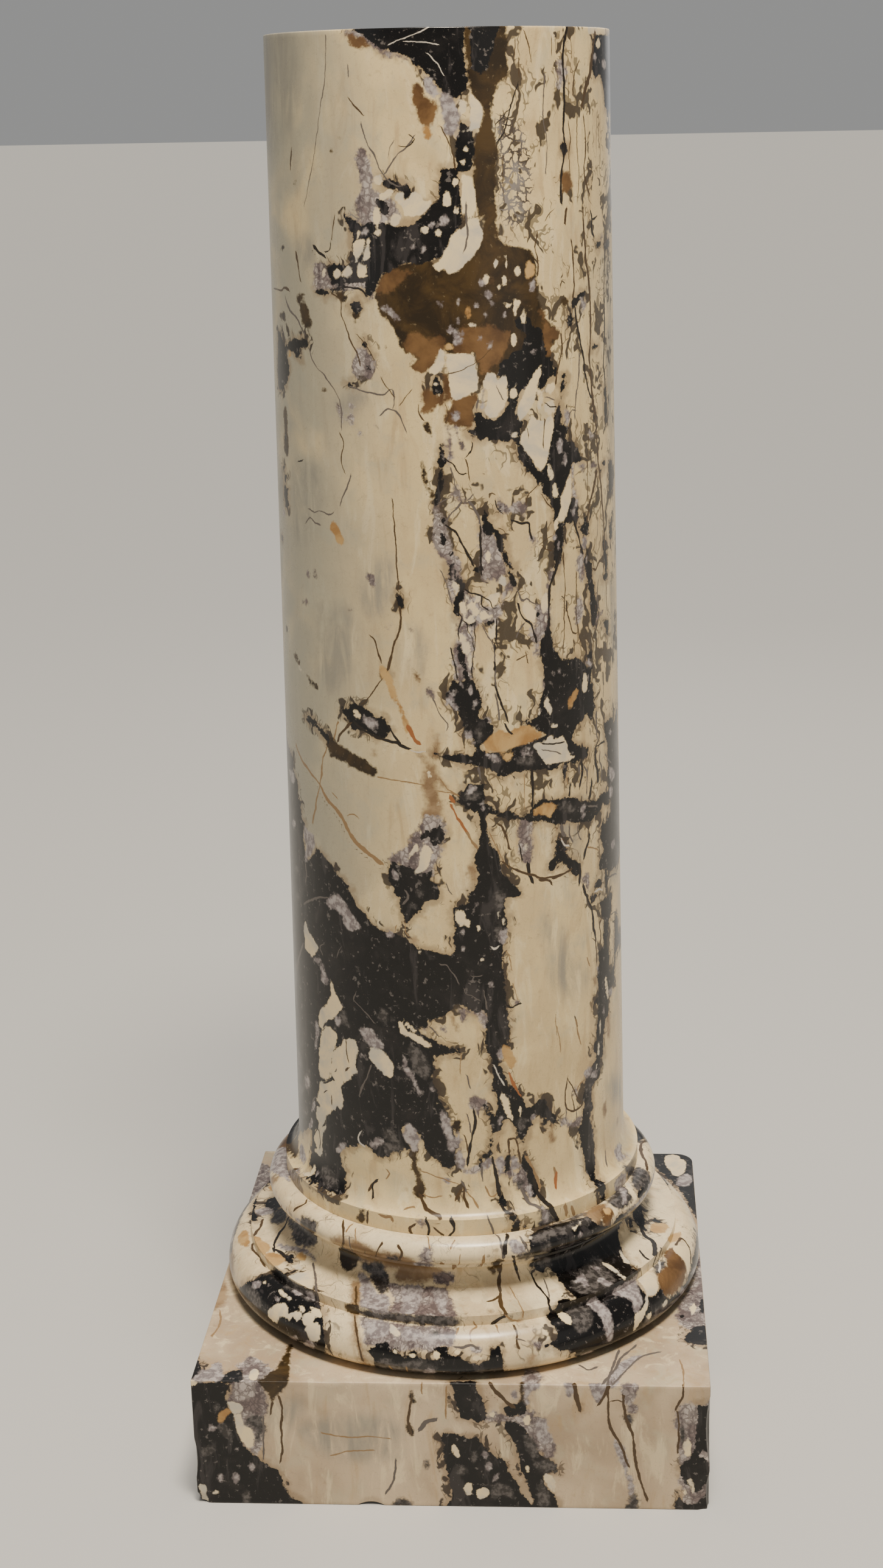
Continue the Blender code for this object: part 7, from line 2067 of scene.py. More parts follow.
def turning_tree():
    """Geometry nodes that turn an outline about the upright axis, finest at the front."""
    inputs = [("Outline", 'NodeSocketGeometry'), ("Columns", 'NodeSocketInt'),
              ("Front Fineness", 'NodeSocketFloat'), ("Marble", 'NodeSocketMaterial')]
    tree, bench, given, made = sheet_tree("turned work", 'GeometryNodeTree', inputs,
                                          [("Turned", 'NodeSocketGeometry')])
    size = bench.node("GeometryNodeAttributeDomainSize", {"Geometry": given["Outline"]}, component='MESH')
    rows = size.outputs["Point Count"]
    grid = bench.node("GeometryNodeMeshGrid", {"Vertices X": bench.sum('ADD', given["Columns"], 1.0),
                                               "Vertices Y": rows})
    index = bench.node("GeometryNodeInputIndex").outputs[0]
    column = bench.sum('FLOOR', bench.sum('DIVIDE', index, rows))
    row = bench.sum('SUBTRACT', index, bench.sum('MULTIPLY', column, rows))

    place = bench.node("GeometryNodeInputPosition").outputs[0]
    point = bench.node("GeometryNodeSampleIndex", {"Geometry": given["Outline"], "Value": None,
                                                   "Index": row}, data_type='FLOAT_VECTOR')
    bench.put(point.inputs["Value"], place)
    run_name = bench.node("GeometryNodeInputNamedAttribute", {"Name": "run"}, data_type='FLOAT')
    run = bench.node("GeometryNodeSampleIndex", {"Geometry": given["Outline"], "Index": row},
                     data_type='FLOAT')
    bench.put(run.inputs["Value"], run_name.outputs[0])

    share = bench.sum('SUBTRACT', bench.sum('DIVIDE', bench.sum('MULTIPLY', column, 2.0),
                                            given["Columns"]), 1.0)
    cube = bench.sum('POWER', bench.sum('ABSOLUTE', share), 3.0)
    signed_cube = bench.sum('MULTIPLY', cube, bench.sum('SIGN', share))
    coarse = bench.sum('MULTIPLY', bench.sum('SUBTRACT', 1.0, given["Front Fineness"]), signed_cube)
    turn = bench.sum('MULTIPLY', bench.sum('MULTIPLY_ADD', share, given["Front Fineness"], coarse), math.pi)
    parts = bench.node("ShaderNodeSeparateXYZ", {"Vector": point.outputs[0]}).outputs
    x = bench.sum('MULTIPLY', parts["X"], bench.sum('SINE', turn))
    y = bench.sum('MULTIPLY', bench.sum('MULTIPLY', parts["X"], bench.sum('COSINE', turn)), -1.0)
    position = bench.node("ShaderNodeCombineXYZ", {"X": x, "Y": y, "Z": parts["Z"]}).outputs[0]

    placed = bench.node("GeometryNodeSetPosition", {"Geometry": grid.outputs[0], "Position": position})
    named = bench.node("GeometryNodeStoreNamedAttribute", {"Geometry": placed.outputs[0], "Name": "run",
                                                           "Value": run.outputs[0]}, data_type='FLOAT')
    welded = bench.node("GeometryNodeMergeByDistance", {"Geometry": named.outputs[0], "Distance": 0.00001})
    real = bench.node("GeometryNodeRealizeInstances", {"Geometry": welded.outputs[0]})
    faced = bench.node("GeometryNodeSetMaterial", {"Geometry": real.outputs[0],
                                                   "Material": given["Marble"]})
    bench.put(made["Turned"], faced.outputs[0])
    return tree


def turn(name, outline, cell, columns, tree, material):
    """A turned piece of marble from its outline, as a plain mesh at the origin."""
    fine = stations(outline, cell)
    skip_bed = outline[-2][0]
    host = outline_object(name + " outline", fine, skip_bed)
    modifier = host.modifiers.new("turned work", 'NODES')
    modifier.node_group = tree
    sockets = {item.name: item.identifier for item in tree.interface.items_tree if item.in_out == 'INPUT'}
    modifier[sockets["Columns"]] = columns
    modifier[sockets["Front Fineness"]] = FRONT_FINENESS
    modifier[sockets["Marble"]] = material
    graph = bpy.context.evaluated_depsgraph_get()
    mesh = bpy.data.meshes.new_from_object(host.evaluated_get(graph))
    bpy.data.objects.remove(host)
    mesh.name = name
    mesh.shade_smooth()
    mesh.set_sharp_from_angle(angle=SHARP_ANGLE)
    piece = bpy.data.objects.new(name, mesh)
    bpy.context.scene.collection.objects.link(piece)
    return piece


def corners_of(mesh):
    """The mesh's vertices as an array."""
    points = np.zeros(len(mesh.vertices) * 3, np.float32)
    mesh.vertices.foreach_get("co", points)
    return points.reshape(-1, 3).astype(float)


def round_spots(mesh, radius, heights):
    """Each vertex on the sheet: distance round from the front, and the given height or run."""
    points = corners_of(mesh)
    return np.stack([np.arctan2(points[:, 0], -points[:, 1]) * radius, heights], 1)


def fold_over_top(spots, points, rim):
    """Lay the top face on the sheet as if the front's pattern were folded back over the rim."""
    top = points[:, 2].max()
    on_top = points[:, 2] > top - HAIR
    spots[on_top, 0] = points[on_top, 0]
    spots[on_top, 1] = top - (points[on_top, 1] + rim)


def draw_round(mesh, radius, heights, marks, rim=None):
    """Draw marks on a turned piece, again past the seam at the back, and over its top within a rim."""
    spots = round_spots(mesh, radius, heights)
    if rim:
        fold_over_top(spots, corners_of(mesh), rim)
    sheet = Sheet(spots, (math.radians(1) * radius, MILLI))
    girth = math.tau * radius
    sheet.draw(marks)
    seam = [mark for mark in marks if beyond_back(mark)]
    for shift in (-girth, girth):
        sheet.draw(seam, shift)
    sheet.give_to(mesh)


def beyond_back(mark):
    """Whether a mark comes near the seam at the back."""
    across = [mark["oval"][0]] if "oval" in mark else [point[0] for point in mark["points"]]
    return max(map(abs, across)) > SEAM_ZONE


def turned_to_back(marks, bottom, top):
    """Marks laid on the back: half a turn round, and upside down between two heights."""
    turned = []
    for mark in marks:
        copy = dict(mark)
        if "oval" in mark:
            x, y, wide, high, lean = mark["oval"]
            copy["oval"] = (x - HALF_TURN, bottom + top - y, wide, high, -lean)
        else:
            copy["points"] = tuple((x - HALF_TURN, bottom + top - y) for x, y in mark["points"])
        turned.append(copy)
    return turned


def ragged_patch_group():
    """A patch's mask from its signed distance, with its edge made ragged by a noise."""
    inputs = [("Distance", 'NodeSocketFloat'), ("Grain", 'NodeSocketFloat'),
              ("Raggedness", 'NodeSocketFloat'),
              ("Softness", 'NodeSocketFloat')]
    tree, bench, given, made = sheet_tree("ragged patch", 'ShaderNodeTree', inputs,
                                          [("Mask", 'NodeSocketFloat')])
    wander = bench.sum('MULTIPLY', bench.sum('SUBTRACT', given["Grain"], 0.5), given["Raggedness"])
    edge = bench.sum('ADD', given["Distance"], wander)
    low = bench.sum('MULTIPLY', given["Softness"], -1.0)
    bench.put(made["Mask"], bench.rise(edge, low, given["Softness"]))
    return tree


def thin_vein_group():
    """A vein's mask from the signed distance across it and its half width."""
    inputs = [("Across", 'NodeSocketFloat'), ("Half Width", 'NodeSocketFloat'),
              ("Wander", 'NodeSocketFloat'),
              ("Swelling", 'NodeSocketFloat')]
    tree, bench, given, made = sheet_tree("thin vein", 'ShaderNodeTree', inputs,
                                          [("Mask", 'NodeSocketFloat')])
    sway = bench.sum('MULTIPLY', bench.sum('SUBTRACT', given["Wander"], 0.5), VEIN_SWAY)
    off = bench.sum('ABSOLUTE', bench.sum('ADD', given["Across"], sway))
    width = bench.sum('MULTIPLY', given["Half Width"], bench.sum('MULTIPLY_ADD', given["Swelling"], 2.2,
                                                                 -0.1))
    within = bench.sum('SUBTRACT', width, off)
    bench.put(made["Mask"], bench.rise(within, -VEIN_SOFTNESS, VEIN_SOFTNESS))
    return tree


def shatter_group():
    """Seams between shards, as a mask that grows within a zone."""
    inputs = [("Position", 'NodeSocketVector'), ("Shards per Metre", 'NodeSocketFloat'),
              ("Seam", 'NodeSocketFloat'), ("Zone", 'NodeSocketFloat')]
    tree, bench, given, made = sheet_tree("shattered stone", 'ShaderNodeTree', inputs,
                                          [("Mask", 'NodeSocketFloat')])
    gap = bench.cell_edges(given["Position"], given["Shards per Metre"])
    width = bench.sum('MULTIPLY', given["Seam"], given["Zone"])
    bench.put(made["Mask"], bench.rise(bench.sum('SUBTRACT', width, gap), -0.02, 0.04))
    return tree


def hairline_group():
    """Thin upright lines of mineral where the stone was crushed, as a mask within a zone."""
    inputs = [("Position", 'NodeSocketVector'), ("Lines per Metre", 'NodeSocketFloat'),
              ("Width", 'NodeSocketFloat'), ("Zone", 'NodeSocketFloat')]
    tree, bench, given, made = sheet_tree("hairlines", 'ShaderNodeTree', inputs,
                                          [("Mask", 'NodeSocketFloat')])
    bend = bench.noise(given["Position"], 11.0, 4.0, 0.6)[1]
    bend = bench.vector('MULTIPLY', bench.vector('SUBTRACT', bend, (0.5, 0.5, 0.5)), HAIRLINE_BEND)
    drawn = bench.vector('MULTIPLY', bench.vector('ADD', given["Position"], bend),
                         (1.0, 1.0, HAIRLINE_SQUEEZE))
    gap = bench.cell_edges(drawn, given["Lines per Metre"])
    patchy = bench.rise(bench.noise(given["Position"], 24.0, 3.0, 0.6)[0], 0.44, 0.60)
    strength = bench.sum('MULTIPLY', patchy, given["Zone"])
    within = bench.sum('SUBTRACT', bench.sum('MULTIPLY', given["Width"], strength), gap)
    lines = bench.rise(within, -0.022, 0.012)
    bench.put(made["Mask"], bench.sum('MULTIPLY', lines, bench.rise(strength, 0.02, 0.25)))
    return tree


def stone(red, green, blue):
    """A colour given as the eye sees it, 0 to 255, in the shader's linear scale."""
    linear = [((value / 255 + 0.055) / 1.055) ** 2.4 if value > 10 else value / 255 / 12.92
              for value in (red, green, blue)]
    return (*linear, 1.0)


def stain(bench, colour, mask, share, shade):
    """Lay a shade over a colour where a mask is, at some share of its strength."""
    if share < 1:
        mask = bench.sum('MULTIPLY', mask, share)
    return bench.blend(mask, colour, stone(*shade))


def layered(bench, noises, colour, layers):
    """A stone's colour: shades laid one over another where a noise rises from low to high."""
    for noise, low, high, share, shade in layers:
        mask = noises[noise] if low is None else bench.rise(noises[noise], low, high)
        colour = stain(bench, colour, mask, share, shade)
    return colour


def cream_ground(bench, given, noises, where):
    """The cream between the clasts: clouds, upright streaks, a grey left side, halos and hairlines."""
    ground = bench.blend(bench.rise(noises["broad"], 0.36, 0.66), given["Cream"], given["Blush"])
    ground = layered(bench, noises, ground, CREAM_LAYERS)
    place = bench.node("ShaderNodeSeparateXYZ", {"Vector": where}).outputs
    left = bench.sum('MULTIPLY', bench.rise(place["X"], -0.01, -0.16),
                     bench.rise(noises["broad"], 0.24, 0.52))
    left = bench.sum('MULTIPLY', left, bench.rise(place["Z"], 0.36, 0.56))
    ground = stain(bench, ground, left, 0.80, (152, 150, 134))
    grey_cloud_and_shade_mask = bench.sum('MULTIPLY', given[MIST_AND_SHADE], bench.rise(noises["drawn"], 0.30, 0.62))
    ground = stain(bench, ground, grey_cloud_and_shade_mask, 0.85, (140, 134, 120))
    ground = stain(bench, ground, given["Halo"], 0.62, (134, 112, 84))
    ground = stain(bench, ground, given["Hairline"], 0.92, (40, 31, 26))
    seams = bench.blend(bench.rise(noises["cloud"], 0.42, 0.62), stone(70, 60, 50), stone(128, 120, 112))
    return bench.blend(given[CRACKLE], ground, seams)


def vein_shade(bench, tint):
    """The colour that belongs to a vein's tint."""
    tints = bench.node("ShaderNodeValToRGB", {"Fac": tint})
    ramp = tints.color_ramp
    ramp.interpolation = 'CONSTANT'
    while len(ramp.elements) < len(VEIN_SHADES):
        ramp.elements.new(0.5)
    for step, shade in enumerate(VEIN_SHADES):
        ramp.elements[step].position = max(0.0, step / 5 - 0.1)
        ramp.elements[step].color = stone(*shade)
    return tints.outputs[0]


def breccia_group():
    """The brecciated marble's colour, polish and relief from its masks and the place on the block."""
    masks = ["Halo", "Hairline", "Shards", *KINDS]
    for layer in range(VEIN_LAYERS):
        masks += [f"vein {layer}", f"tint {layer}"]
    inputs = [("Position", 'NodeSocketVector'), ("Cream", 'NodeSocketColor'), ("Blush", 'NodeSocketColor')]
    inputs += [(mask, 'NodeSocketFloat') for mask in masks]
    outputs = [("Color", 'NodeSocketColor'), ("Dull", 'NodeSocketFloat'), ("Relief", 'NodeSocketFloat')]
    tree, bench, given, made = sheet_tree("brecciated marble", 'ShaderNodeTree', inputs, outputs)
    where = given["Position"]
    noises = {"shards": given["Shards"]}
    for name, (scale, detail, roughness, distortion) in STONE_NOISES.items():
        noises[name] = bench.noise(where, scale, detail, roughness, distortion)[0]
    streaks = bench.vector('MULTIPLY', where, (1.0, 1.0, STREAK_SQUEEZE))
    noises["drawn"] = bench.noise(streaks, 46.0, 5.0, 0.62, 0.8)[0]

    colour = cream_ground(bench, given, noises, where)
    for kind, (shade, *layers) in CLASTS.items():
        colour = bench.blend(given[kind], colour, layered(bench, noises, stone(*shade), layers))
    for layer in range(VEIN_LAYERS):
        colour = bench.blend(given[f"vein {layer}"], colour, vein_shade(bench, given[f"tint {layer}"]))
    pits = bench.rise(noises["speck"], 0.66, 0.74)
    bench.put(made["Color"], stain(bench, colour, pits, 0.25, (96, 84, 68)))

    soft = bench.sum('MAXIMUM', given[INK], given[OLIVE])
    dull = bench.sum('MULTIPLY_ADD', noises["cloud"], 0.16, 0.10)
    bench.put(made["Dull"], bench.sum('SUBTRACT', dull, bench.sum('MULTIPLY', soft, 0.05)))
    relief = bench.sum('ADD', bench.sum('MULTIPLY', noises["cloud"], 0.6),
                       bench.sum('MULTIPLY', noises["grain"], 0.25))
    bench.put(made["Relief"], bench.sum('SUBTRACT', relief, bench.sum('MULTIPLY', pits, 0.2)))
    return tree


def field(bench, label):
    """One of the values that a sheet wrote on the mesh."""
    return bench.node("ShaderNodeAttribute", attribute_name=label, attribute_type='GEOMETRY').outputs["Fac"]


def patch_masks(bench, groups, where, sway):
    """Each kind of mark's mask, its shattered seams, and the stained halo round the black."""
    fine = bench.noise(where, 210.0, 4.0, 0.65)[0]
    coarse = bench.noise(where, 62.0, 3.0, 0.6)[0]
    grain = bench.sum('MULTIPLY_ADD', coarse, 0.55, bench.sum('MULTIPLY', fine, 0.45))
    masks = {}
    for kind in KINDS:
        raggedness, softness = EDGES[kind]
        masks[kind] = bench.group(groups["patch"], {"Distance": field(bench, kind), "Grain": grain,
                                                    "Raggedness": raggedness, "Softness": softness})[0]
    bend = bench.node("ShaderNodeVectorMath", {0: bench.noise(where, 40.0, 4.0, 0.65)[1],
                                               "Scale": SHARD_BEND},
                      operation='SCALE').outputs[0]
    bent = bench.vector('ADD', where, bend)
    masks["Shards"] = bench.group(groups["shatter"], {"Position": bent, "Shards per Metre": 130.0,
                                                      "Seam": 0.13,
                                                      "Zone": masks[DOVE]})[0]
    masks[CRACKLE] = bench.group(groups["shatter"], {"Position": bent, "Shards per Metre": 95.0,
                                                     "Seam": 0.11,
                                                     "Zone": masks[CRACKLE]})[0]
    beside = bench.sum('ADD', field(bench, INK), HALO_WIDTH)
    masks["Halo"] = bench.group(groups["patch"], {"Distance": beside, "Grain": sway, "Raggedness": 0.020,
                                                  "Softness": 0.0045})[0]
    return masks


def hairline_mask(bench, groups, where, crush):
    """Wide and close hairlines: a few all over, more up the right side, and beside the black."""
    place = bench.node("ShaderNodeSeparateXYZ", {"Vector": where}).outputs
    right_side = bench.sum('MULTIPLY', bench.rise(place["X"], -0.005, 0.085),
                           bench.rise(place["Z"], 0.72, 0.88))
    crushed = bench.sum('MULTIPLY_ADD', right_side, crush[1], crush[0])
    zone = bench.sum('MAXIMUM', crushed, bench.rise(field(bench, INK), -0.013, -0.004))
    wide = bench.group(groups["hairline"], {"Position": where, "Lines per Metre": 30.0, "Width": 0.085,
                                            "Zone": zone})[0]
    close = bench.group(groups["hairline"], {"Position": where, "Lines per Metre": 84.0, "Width": 0.070,
                                             "Zone": zone})[0]
    return bench.sum('MAXIMUM', wide, bench.sum('MULTIPLY', close, 0.7))


def marble_material(name, groups, tones, dullness, relief, crush):
    """A finished marble: the block's own tones, dullness and relief, and how crushed the stone is."""
    material = bpy.data.materials.new(name)
    material.use_nodes = True
    bench = Bench(material.node_tree)
    shader = material.node_tree.nodes["Principled BSDF"]
    where = bench.node("ShaderNodeTexCoord").outputs["Object"]
    sway = bench.noise(where, 95.0, 3.0, 0.55)[0]
    swell = bench.noise(where, 60.0, 2.0, 0.5)[0]
    masks = patch_masks(bench, groups, where, sway)
    masks["Hairline"] = hairline_mask(bench, groups, where, crush)
    for layer in range(VEIN_LAYERS):
        inputs = {"Across": field(bench, f"vein across {layer}"),
                  "Half Width": field(bench, f"vein half {layer}"),
                  "Wander": sway, "Swelling": swell}
        masks[f"vein {layer}"] = bench.group(groups["vein"], inputs)[0]
        masks[f"tint {layer}"] = field(bench, f"vein tint {layer}")
    cream, blush = tones
    made = bench.group(groups["breccia"], {"Position": where, "Cream": stone(*cream),
                                           "Blush": stone(*blush), **masks})
    bench.put(shader.inputs["Base Color"], made["Color"])
    bench.put(shader.inputs["Roughness"], bench.sum('ADD', made["Dull"], dullness))
    shader.inputs["Specular IOR Level"].default_value = SHEEN
    bump = bench.node("ShaderNodeBump", {"Height": made["Relief"], "Strength": relief,
                                         "Distance": RELIEF_DEPTH})
    bench.put(shader.inputs["Normal"], bump.outputs[0])
    return material


def plinth_lines(low, high, shown_low, shown_high, cell):
    """Where the plinth's grid lines cross one side: close at the arrises and where the stone shows."""
    ends = [0.0, PLINTH_ARRIS * 0.35, PLINTH_ARRIS]
    lines = [low + end for end in ends] + [high - end for end in ends]
    for start, end, step in ((low + PLINTH_ARRIS, shown_low, cell),
                             (shown_low, shown_high, PLINTH_HIDDEN_CELL),
                             (shown_high, high - PLINTH_ARRIS, cell)):
        if end - start > step / 2:
            lines += list(np.linspace(start, end, max(2, math.ceil((end - start) / step) + 1)))
    return np.unique(np.round(lines, 7))


def block_faces(xs, ys, zs):
    """Six gridded faces of a block, as corner points and quads that face outwards."""
    points, quads = [], []

    def face(rows, columns, place, flip):
        first = len(points)
        for row in rows:
            for column in columns:
                points.append(place(row, column))
        width = len(columns)
        for row in range(len(rows) - 1):
            for column in range(width - 1):
                start = first + row * width + column
                quad = (start, start + 1, start + width + 1, start + width)
                quads.append(quad[::-1] if flip else quad)

    face(zs, xs, lambda z, x: (x, ys[0], z), False)
    face(zs, xs, lambda z, x: (x, ys[-1], z), True)
    face(zs, ys, lambda z, y: (xs[0], y, z), True)
    face(zs, ys, lambda z, y: (xs[-1], y, z), False)
    face(ys, xs, lambda y, x: (x, y, zs[0]), True)
    face(ys, xs, lambda y, x: (x, y, zs[-1]), False)
    return points, quads


def soft_corner(points, low, high):
    """Round the block's arrises."""
    held = np.clip(points, low + PLINTH_ARRIS, high - PLINTH_ARRIS)
    away = points - held
    length = np.maximum(np.linalg.norm(away, axis=1, keepdims=True), 1e-12)
    return held + away / length * np.minimum(length, PLINTH_ARRIS)


def wear_corner(points, high):
    """The back right corner worn to a round that fades out below the top."""
    drop = np.clip(1 - (high[2] - points[:, 2]) / WORN_CORNER_DROP, 0, 1)
    radius = np.maximum(WORN_CORNER_RADIUS * drop, 1e-6)
    centre = high[:2] - radius[:, None]
    away = points[:, :2] - centre
    in_corner = (away > 0).all(1) & (drop > 0)
    reach = np.maximum(np.hypot(away[:, 0], away[:, 1]), 1e-9)
    scale = np.where(in_corner, np.maximum(away[:, 0], away[:, 1]) / reach, 1.0)
    worn = points.copy()
    worn[:, :2] = np.where(in_corner[:, None], centre + away * scale[:, None], points[:, :2])
    return worn


def chip(points, place, reach, depth, inward):
    """A small loss at a place, pressed inwards and fading out at its reach."""
    away = np.linalg.norm((points - np.array(place)) / np.array(reach), axis=1)
    share = np.clip(1 - away, 0, 1)
    return points + np.array(inward) * (depth * share * (2 - share))[:, None]


def plinth_chips(half, height):
    """Where the plinth has lost stone: place, reach and depth in metres, and the way inwards."""
    return [
        ((-0.095, -half, 0.0), (0.016, 0.012, 0.010), 0.004, (0.0, 0.4, 0.9)),
        ((half, -half, 0.105), (0.020, 0.020, 0.045), 0.006, (-0.7, 0.7, 0.0)),
        ((half, -half, 0.020), (0.016, 0.016, 0.030), 0.005, (-0.7, 0.7, 0.2)),
        ((-half, -half, 0.060), (0.010, 0.010, 0.026), 0.003, (0.7, 0.7, 0.0)),
        ((-half, -half, 0.0), (0.014, 0.014, 0.014), 0.005, (0.6, 0.6, 0.5)),
        ((0.21, -half, height), (0.012, 0.006, 0.006), 0.002, (0.0, 0.5, -0.8)),
        ((-0.14, -half, height), (0.018, 0.005, 0.005), 0.0015, (0.0, 0.5, -0.8)),
        ((half, 0.05, height), (0.010, 0.020, 0.010), 0.003, (-0.6, 0.0, -0.8)),
        ((half, -0.11, 0.0), (0.012, 0.030, 0.012), 0.004, (-0.6, 0.0, 0.8)),
        ((-half, 0.12, 0.0), (0.012, 0.026, 0.012), 0.004, (0.6, 0.0, 0.8)),
    ]


def welded_block(name, low, high):
    """The plinth's plain block as one closed gridded mesh."""
    xs = plinth_lines(low[0], high[0], 0.0, 0.0, PLINTH_CELL)
    ys = plinth_lines(low[1], high[1], low[1] + PLINTH_SHOWN_CORNER, high[1] - PLINTH_SHOWN_CORNER,
                      PLINTH_CELL)
    middle = (low[2] + high[2]) / 2
    zs = plinth_lines(low[2], high[2], middle, middle, PLINTH_CELL)
    points, quads = block_faces(xs, ys, zs)
    mesh = bpy.data.meshes.new(name)
    mesh.from_pydata(points, [], quads)
    shaper = bmesh.new()
    shaper.from_mesh(mesh)
    bmesh.ops.remove_doubles(shaper, verts=shaper.verts, dist=1e-6)
    shaper.to_mesh(mesh)
    shaper.free()
    return mesh


def plinth_piece(low, high, material):
    """The plinth as a fine mesh with rubbed arrises, a worn corner and chips."""
    low, high = np.array(low), np.array(high)
    mesh = welded_block("plinth_marble", low, high)
    flat = corners_of(mesh)
    shaped = wear_corner(soft_corner(flat, low, high), high)
    for place, reach, depth, inward in plinth_chips((high[0] - low[0]) / 2, high[2]):
        shaped = chip(shaped, place, reach, depth, inward)
    shaped = np.clip(shaped, low, high)
    mesh.vertices.foreach_set("co", shaped.astype(np.float32).ravel())
    mesh.update()
    mesh.materials.append(material)
    mesh.shade_smooth()
    mesh.set_sharp_from_angle(angle=SHARP_ANGLE)
    draw_plinth(mesh, flat, low, high)
    piece = bpy.data.objects.new("plinth_marble", mesh)
    bpy.context.scene.collection.objects.link(piece)
    return piece


def draw_plinth(mesh, flat, low, high):
    """Draw the plinth's marks: front and top as one folded sheet, the other sides as a strip round it."""
    on_top = flat[:, 2] > high[2] - 1e-5
    front_or_top = (flat[:, 1] < low[1] + 1e-5) | on_top
    folded = np.where(on_top, high[2] + flat[:, 1] - low[1], flat[:, 2])
    left = flat[:, 0] < low[0] + 1e-5
    right = flat[:, 0] > high[0] - 1e-5
    depth = flat[:, 1] - low[1]
    strip = high[0] + (high[1] - low[1]) + (high[0] - flat[:, 0])
    strip = np.where(right, high[0] + depth, strip)
    strip = np.where(left, low[0] - depth, strip)
    spots = np.stack([np.where(front_or_top, flat[:, 0], strip),
                      np.where(front_or_top, folded, flat[:, 2])], 1)
    sides = Sheet(spots, (MILLI, MILLI))
    front = Sheet(spots, (MILLI, MILLI))
    front.draw(plinth_front_marks())
    sides.draw(plinth_side_marks())
    for kind in KINDS:
        sides.fields[kind] = np.where(front_or_top, front.fields[kind], sides.fields[kind])
    for layer in range(VEIN_LAYERS):
        for mine, theirs in ((sides.across, front.across), (sides.half, front.half),
                             (sides.tint, front.tint)):
            mine[layer] = np.where(front_or_top, theirs[layer], mine[layer])
    sides.give_to(mesh)


def place_light(name, data, place, target):
    """Link a light, put it in place and turn it to a point."""
    light = bpy.data.objects.new(name, data)
    bpy.context.scene.collection.objects.link(light)
    light.location = place
    light.rotation_euler = (Vector(target) - Vector(place)).to_track_quat('-Z', 'Y').to_euler()


def lamp(name, size, watts, colour, place, target):
    """A soft square studio light."""
    data = bpy.data.lights.new(name, 'AREA')
    data.shape = 'SQUARE'
    data.size = size
    data.energy = watts
    data.color = colour
    place_light(name, data, place, target)


def ceiling():
    """A wide soft light from high overhead, which brightens the ledges and the floor."""
    data = bpy.data.lights.new("ceiling", 'SUN')
    data.energy = CEILING_STRENGTH
    data.angle = CEILING_SPREAD
    data.color = (1.0, 0.94, 0.85)
    place_light("ceiling", data, (0.25, -0.8, 5.0), (0.0, 0.0, 0.5))


def pale_floor():
    """A plain pale floor."""
    mesh = bpy.data.meshes.new("floor")
    reach = FLOOR_REACH
    mesh.from_pydata([(-reach, -reach, 0), (reach, -reach, 0), (reach, reach, 0), (-reach, reach, 0)], [],
                     [(0, 1, 2, 3)])
    paint = bpy.data.materials.new("pale floor")
    paint.use_nodes = True
    shader = paint.node_tree.nodes["Principled BSDF"]
    shader.inputs["Base Color"].default_value = stone(190, 187, 181)
    shader.inputs["Roughness"].default_value = 0.75
    mesh.materials.append(paint)
    floor = bpy.data.objects.new("floor", mesh)
    bpy.context.scene.collection.objects.link(floor)


def studio():
    """The floor, a high key light in front, soft fill on three sides, and a pale world."""
    pale_floor()
    lamp("key", 0.55, KEY_WATTS, (1.0, 0.90, 0.76), (0.40, -1.25, 3.7), (0.0, -0.1, 0.5))
    ceiling()
    lamp("left fill", 2.2, LEFT_FILL_WATTS, (0.93, 0.96, 1.0), (-2.6, -2.0, 2.0), (0.0, 0.0, 0.8))
    lamp("right fill", 2.2, RIGHT_FILL_WATTS, (1.0, 0.95, 0.88), (2.4, -2.6, 1.8), (0.0, 0.0, 0.8))
    lamp("back fill", 2.5, BACK_FILL_WATTS, (0.98, 0.97, 0.95), (0.5, 3.2, 2.4), (0.0, 0.0, 0.7))
    world = bpy.data.worlds.new("pale studio")
    world.use_nodes = True
    sky = world.node_tree.nodes["Background"]
    sky.inputs["Color"].default_value = (0.83, 0.83, 0.82, 1.0)
    sky.inputs["Strength"].default_value = WORLD_STRENGTH
    bpy.context.scene.world = world


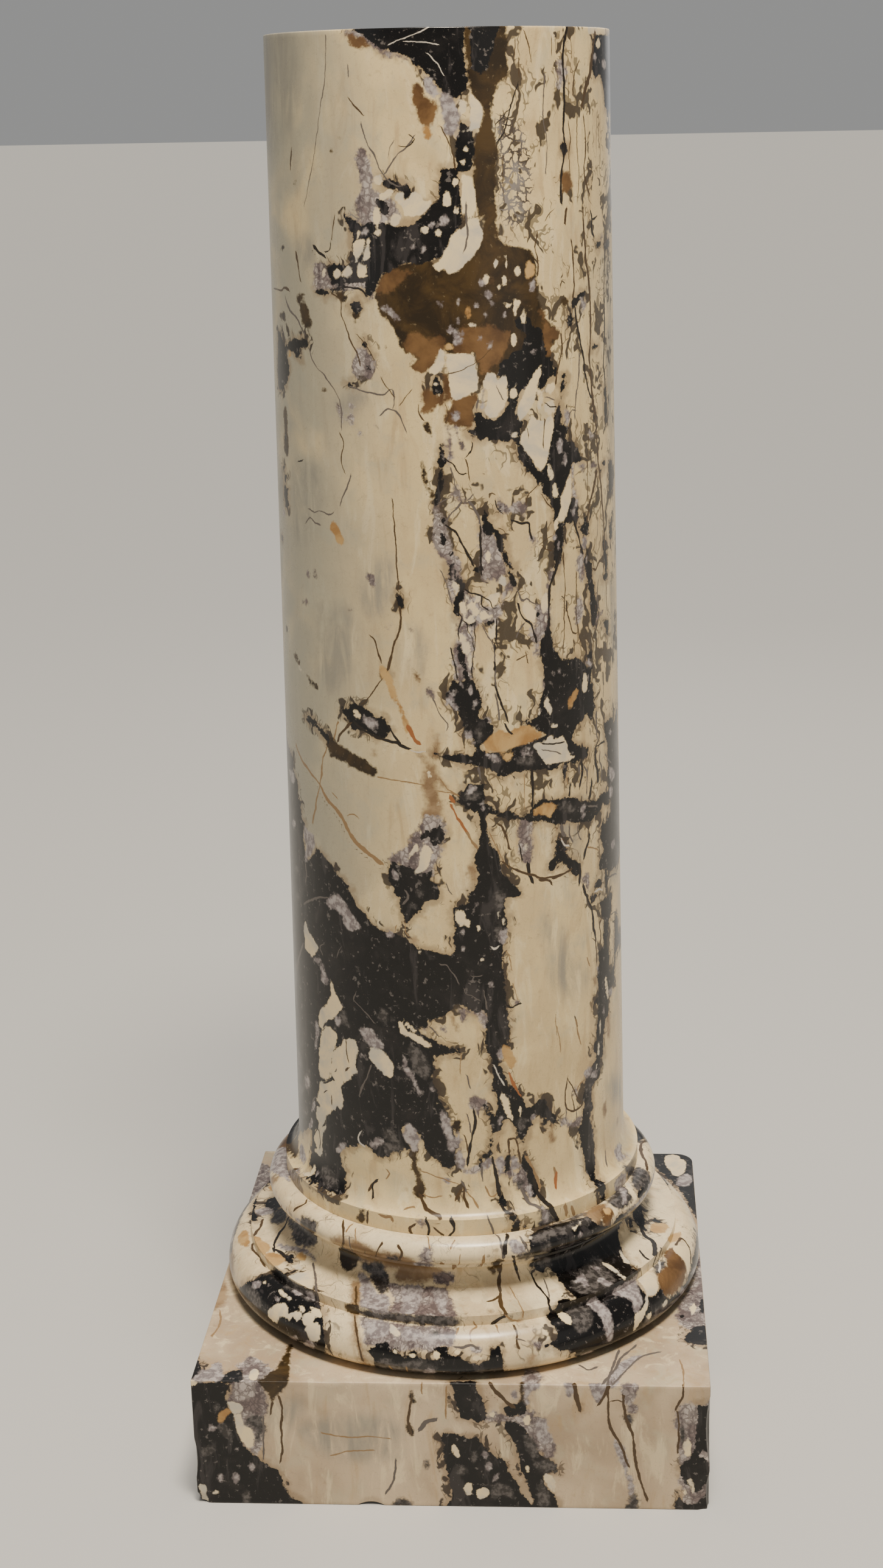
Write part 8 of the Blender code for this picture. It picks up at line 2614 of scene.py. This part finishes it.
def photo_camera():
    """The camera at the photograph's own angle, with the lens centre's small shift."""
    ahead = Vector((math.sin(CAMERA_HEADING) * math.cos(CAMERA_DOWN),
                    math.cos(CAMERA_HEADING) * math.cos(CAMERA_DOWN), -math.sin(CAMERA_DOWN)))
    right = Vector((math.cos(CAMERA_HEADING), -math.sin(CAMERA_HEADING), 0.0))
    down = ahead.cross(right)
    rolled_right = right * math.cos(CAMERA_ROLL) + down * math.sin(CAMERA_ROLL)
    rolled_down = down * math.cos(CAMERA_ROLL) - right * math.sin(CAMERA_ROLL)
    data = bpy.data.cameras.new("camera")
    data.sensor_width = SENSOR
    data.lens = LENS_IN_PIXELS * SENSOR / PHOTO_HEIGHT
    data.shift_x = -LENS_CENTRE_RIGHT / PHOTO_HEIGHT
    data.clip_start = 0.05
    data.clip_end = 200.0
    camera = bpy.data.objects.new("camera", data)
    bpy.context.scene.collection.objects.link(camera)
    turn_to = Matrix((rolled_right, -rolled_down, -ahead)).transposed()
    camera.matrix_world = Matrix.Translation(CAMERA_PLACE) @ turn_to.to_4x4()
    bpy.context.scene.camera = camera


shaft_low, shaft_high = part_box("shaft")
base_low, base_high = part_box("moulded_base")
plinth_low, plinth_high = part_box("plinth")
PLINTH_SIDE = plinth_high.x - plinth_low.x

groups = {"patch": ragged_patch_group(), "vein": thin_vein_group(), "shatter": shatter_group(),
          "hairline": hairline_group(), "breccia": breccia_group()}
shaft_marble = marble_material("shaft marble", groups, SHAFT_TONES, SHAFT_DULLNESS, SHAFT_RELIEF, SHAFT_CRUSH)
base_marble = marble_material("base marble", groups, BASE_TONES, BASE_DULLNESS, BASE_RELIEF, BASE_CRUSH)
plinth_marble = marble_material("plinth marble", groups, PLINTH_TONES, PLINTH_DULLNESS, PLINTH_RELIEF,
                                PLINTH_CRUSH)

turning = turning_tree()
shaft = turn("shaft_marble", shaft_outline(shaft_low.z, shaft_high.z - HAIR), SHAFT_CELL, SHAFT_COLUMNS,
             turning,
             shaft_marble)
draw_round(shaft.data, SHAFT_SHEET_RADIUS, corners_of(shaft.data)[:, 2], shaft_marks(), SHAFT_TOP_RADIUS)

base = turn("base_marble", base_outline(base_low.z, base_high.z), BASE_CELL, BASE_COLUMNS, turning,
            base_marble)
run = np.zeros(len(base.data.vertices), np.float32)
base.data.attributes["run"].data.foreach_get("value", run)
draw_round(base.data, BASE_SHEET_RADIUS, run, base_marks())

plinth = plinth_piece(plinth_low, plinth_high, plinth_marble)

for piece, node, slot in ((shaft, "shaft", "shaft_marble"), (base, "moulded_base", "base_marble"),
                          (plinth, "plinth", "plinth_marble")):
    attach(piece, "root")
    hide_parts(node)

studio()
photo_camera()
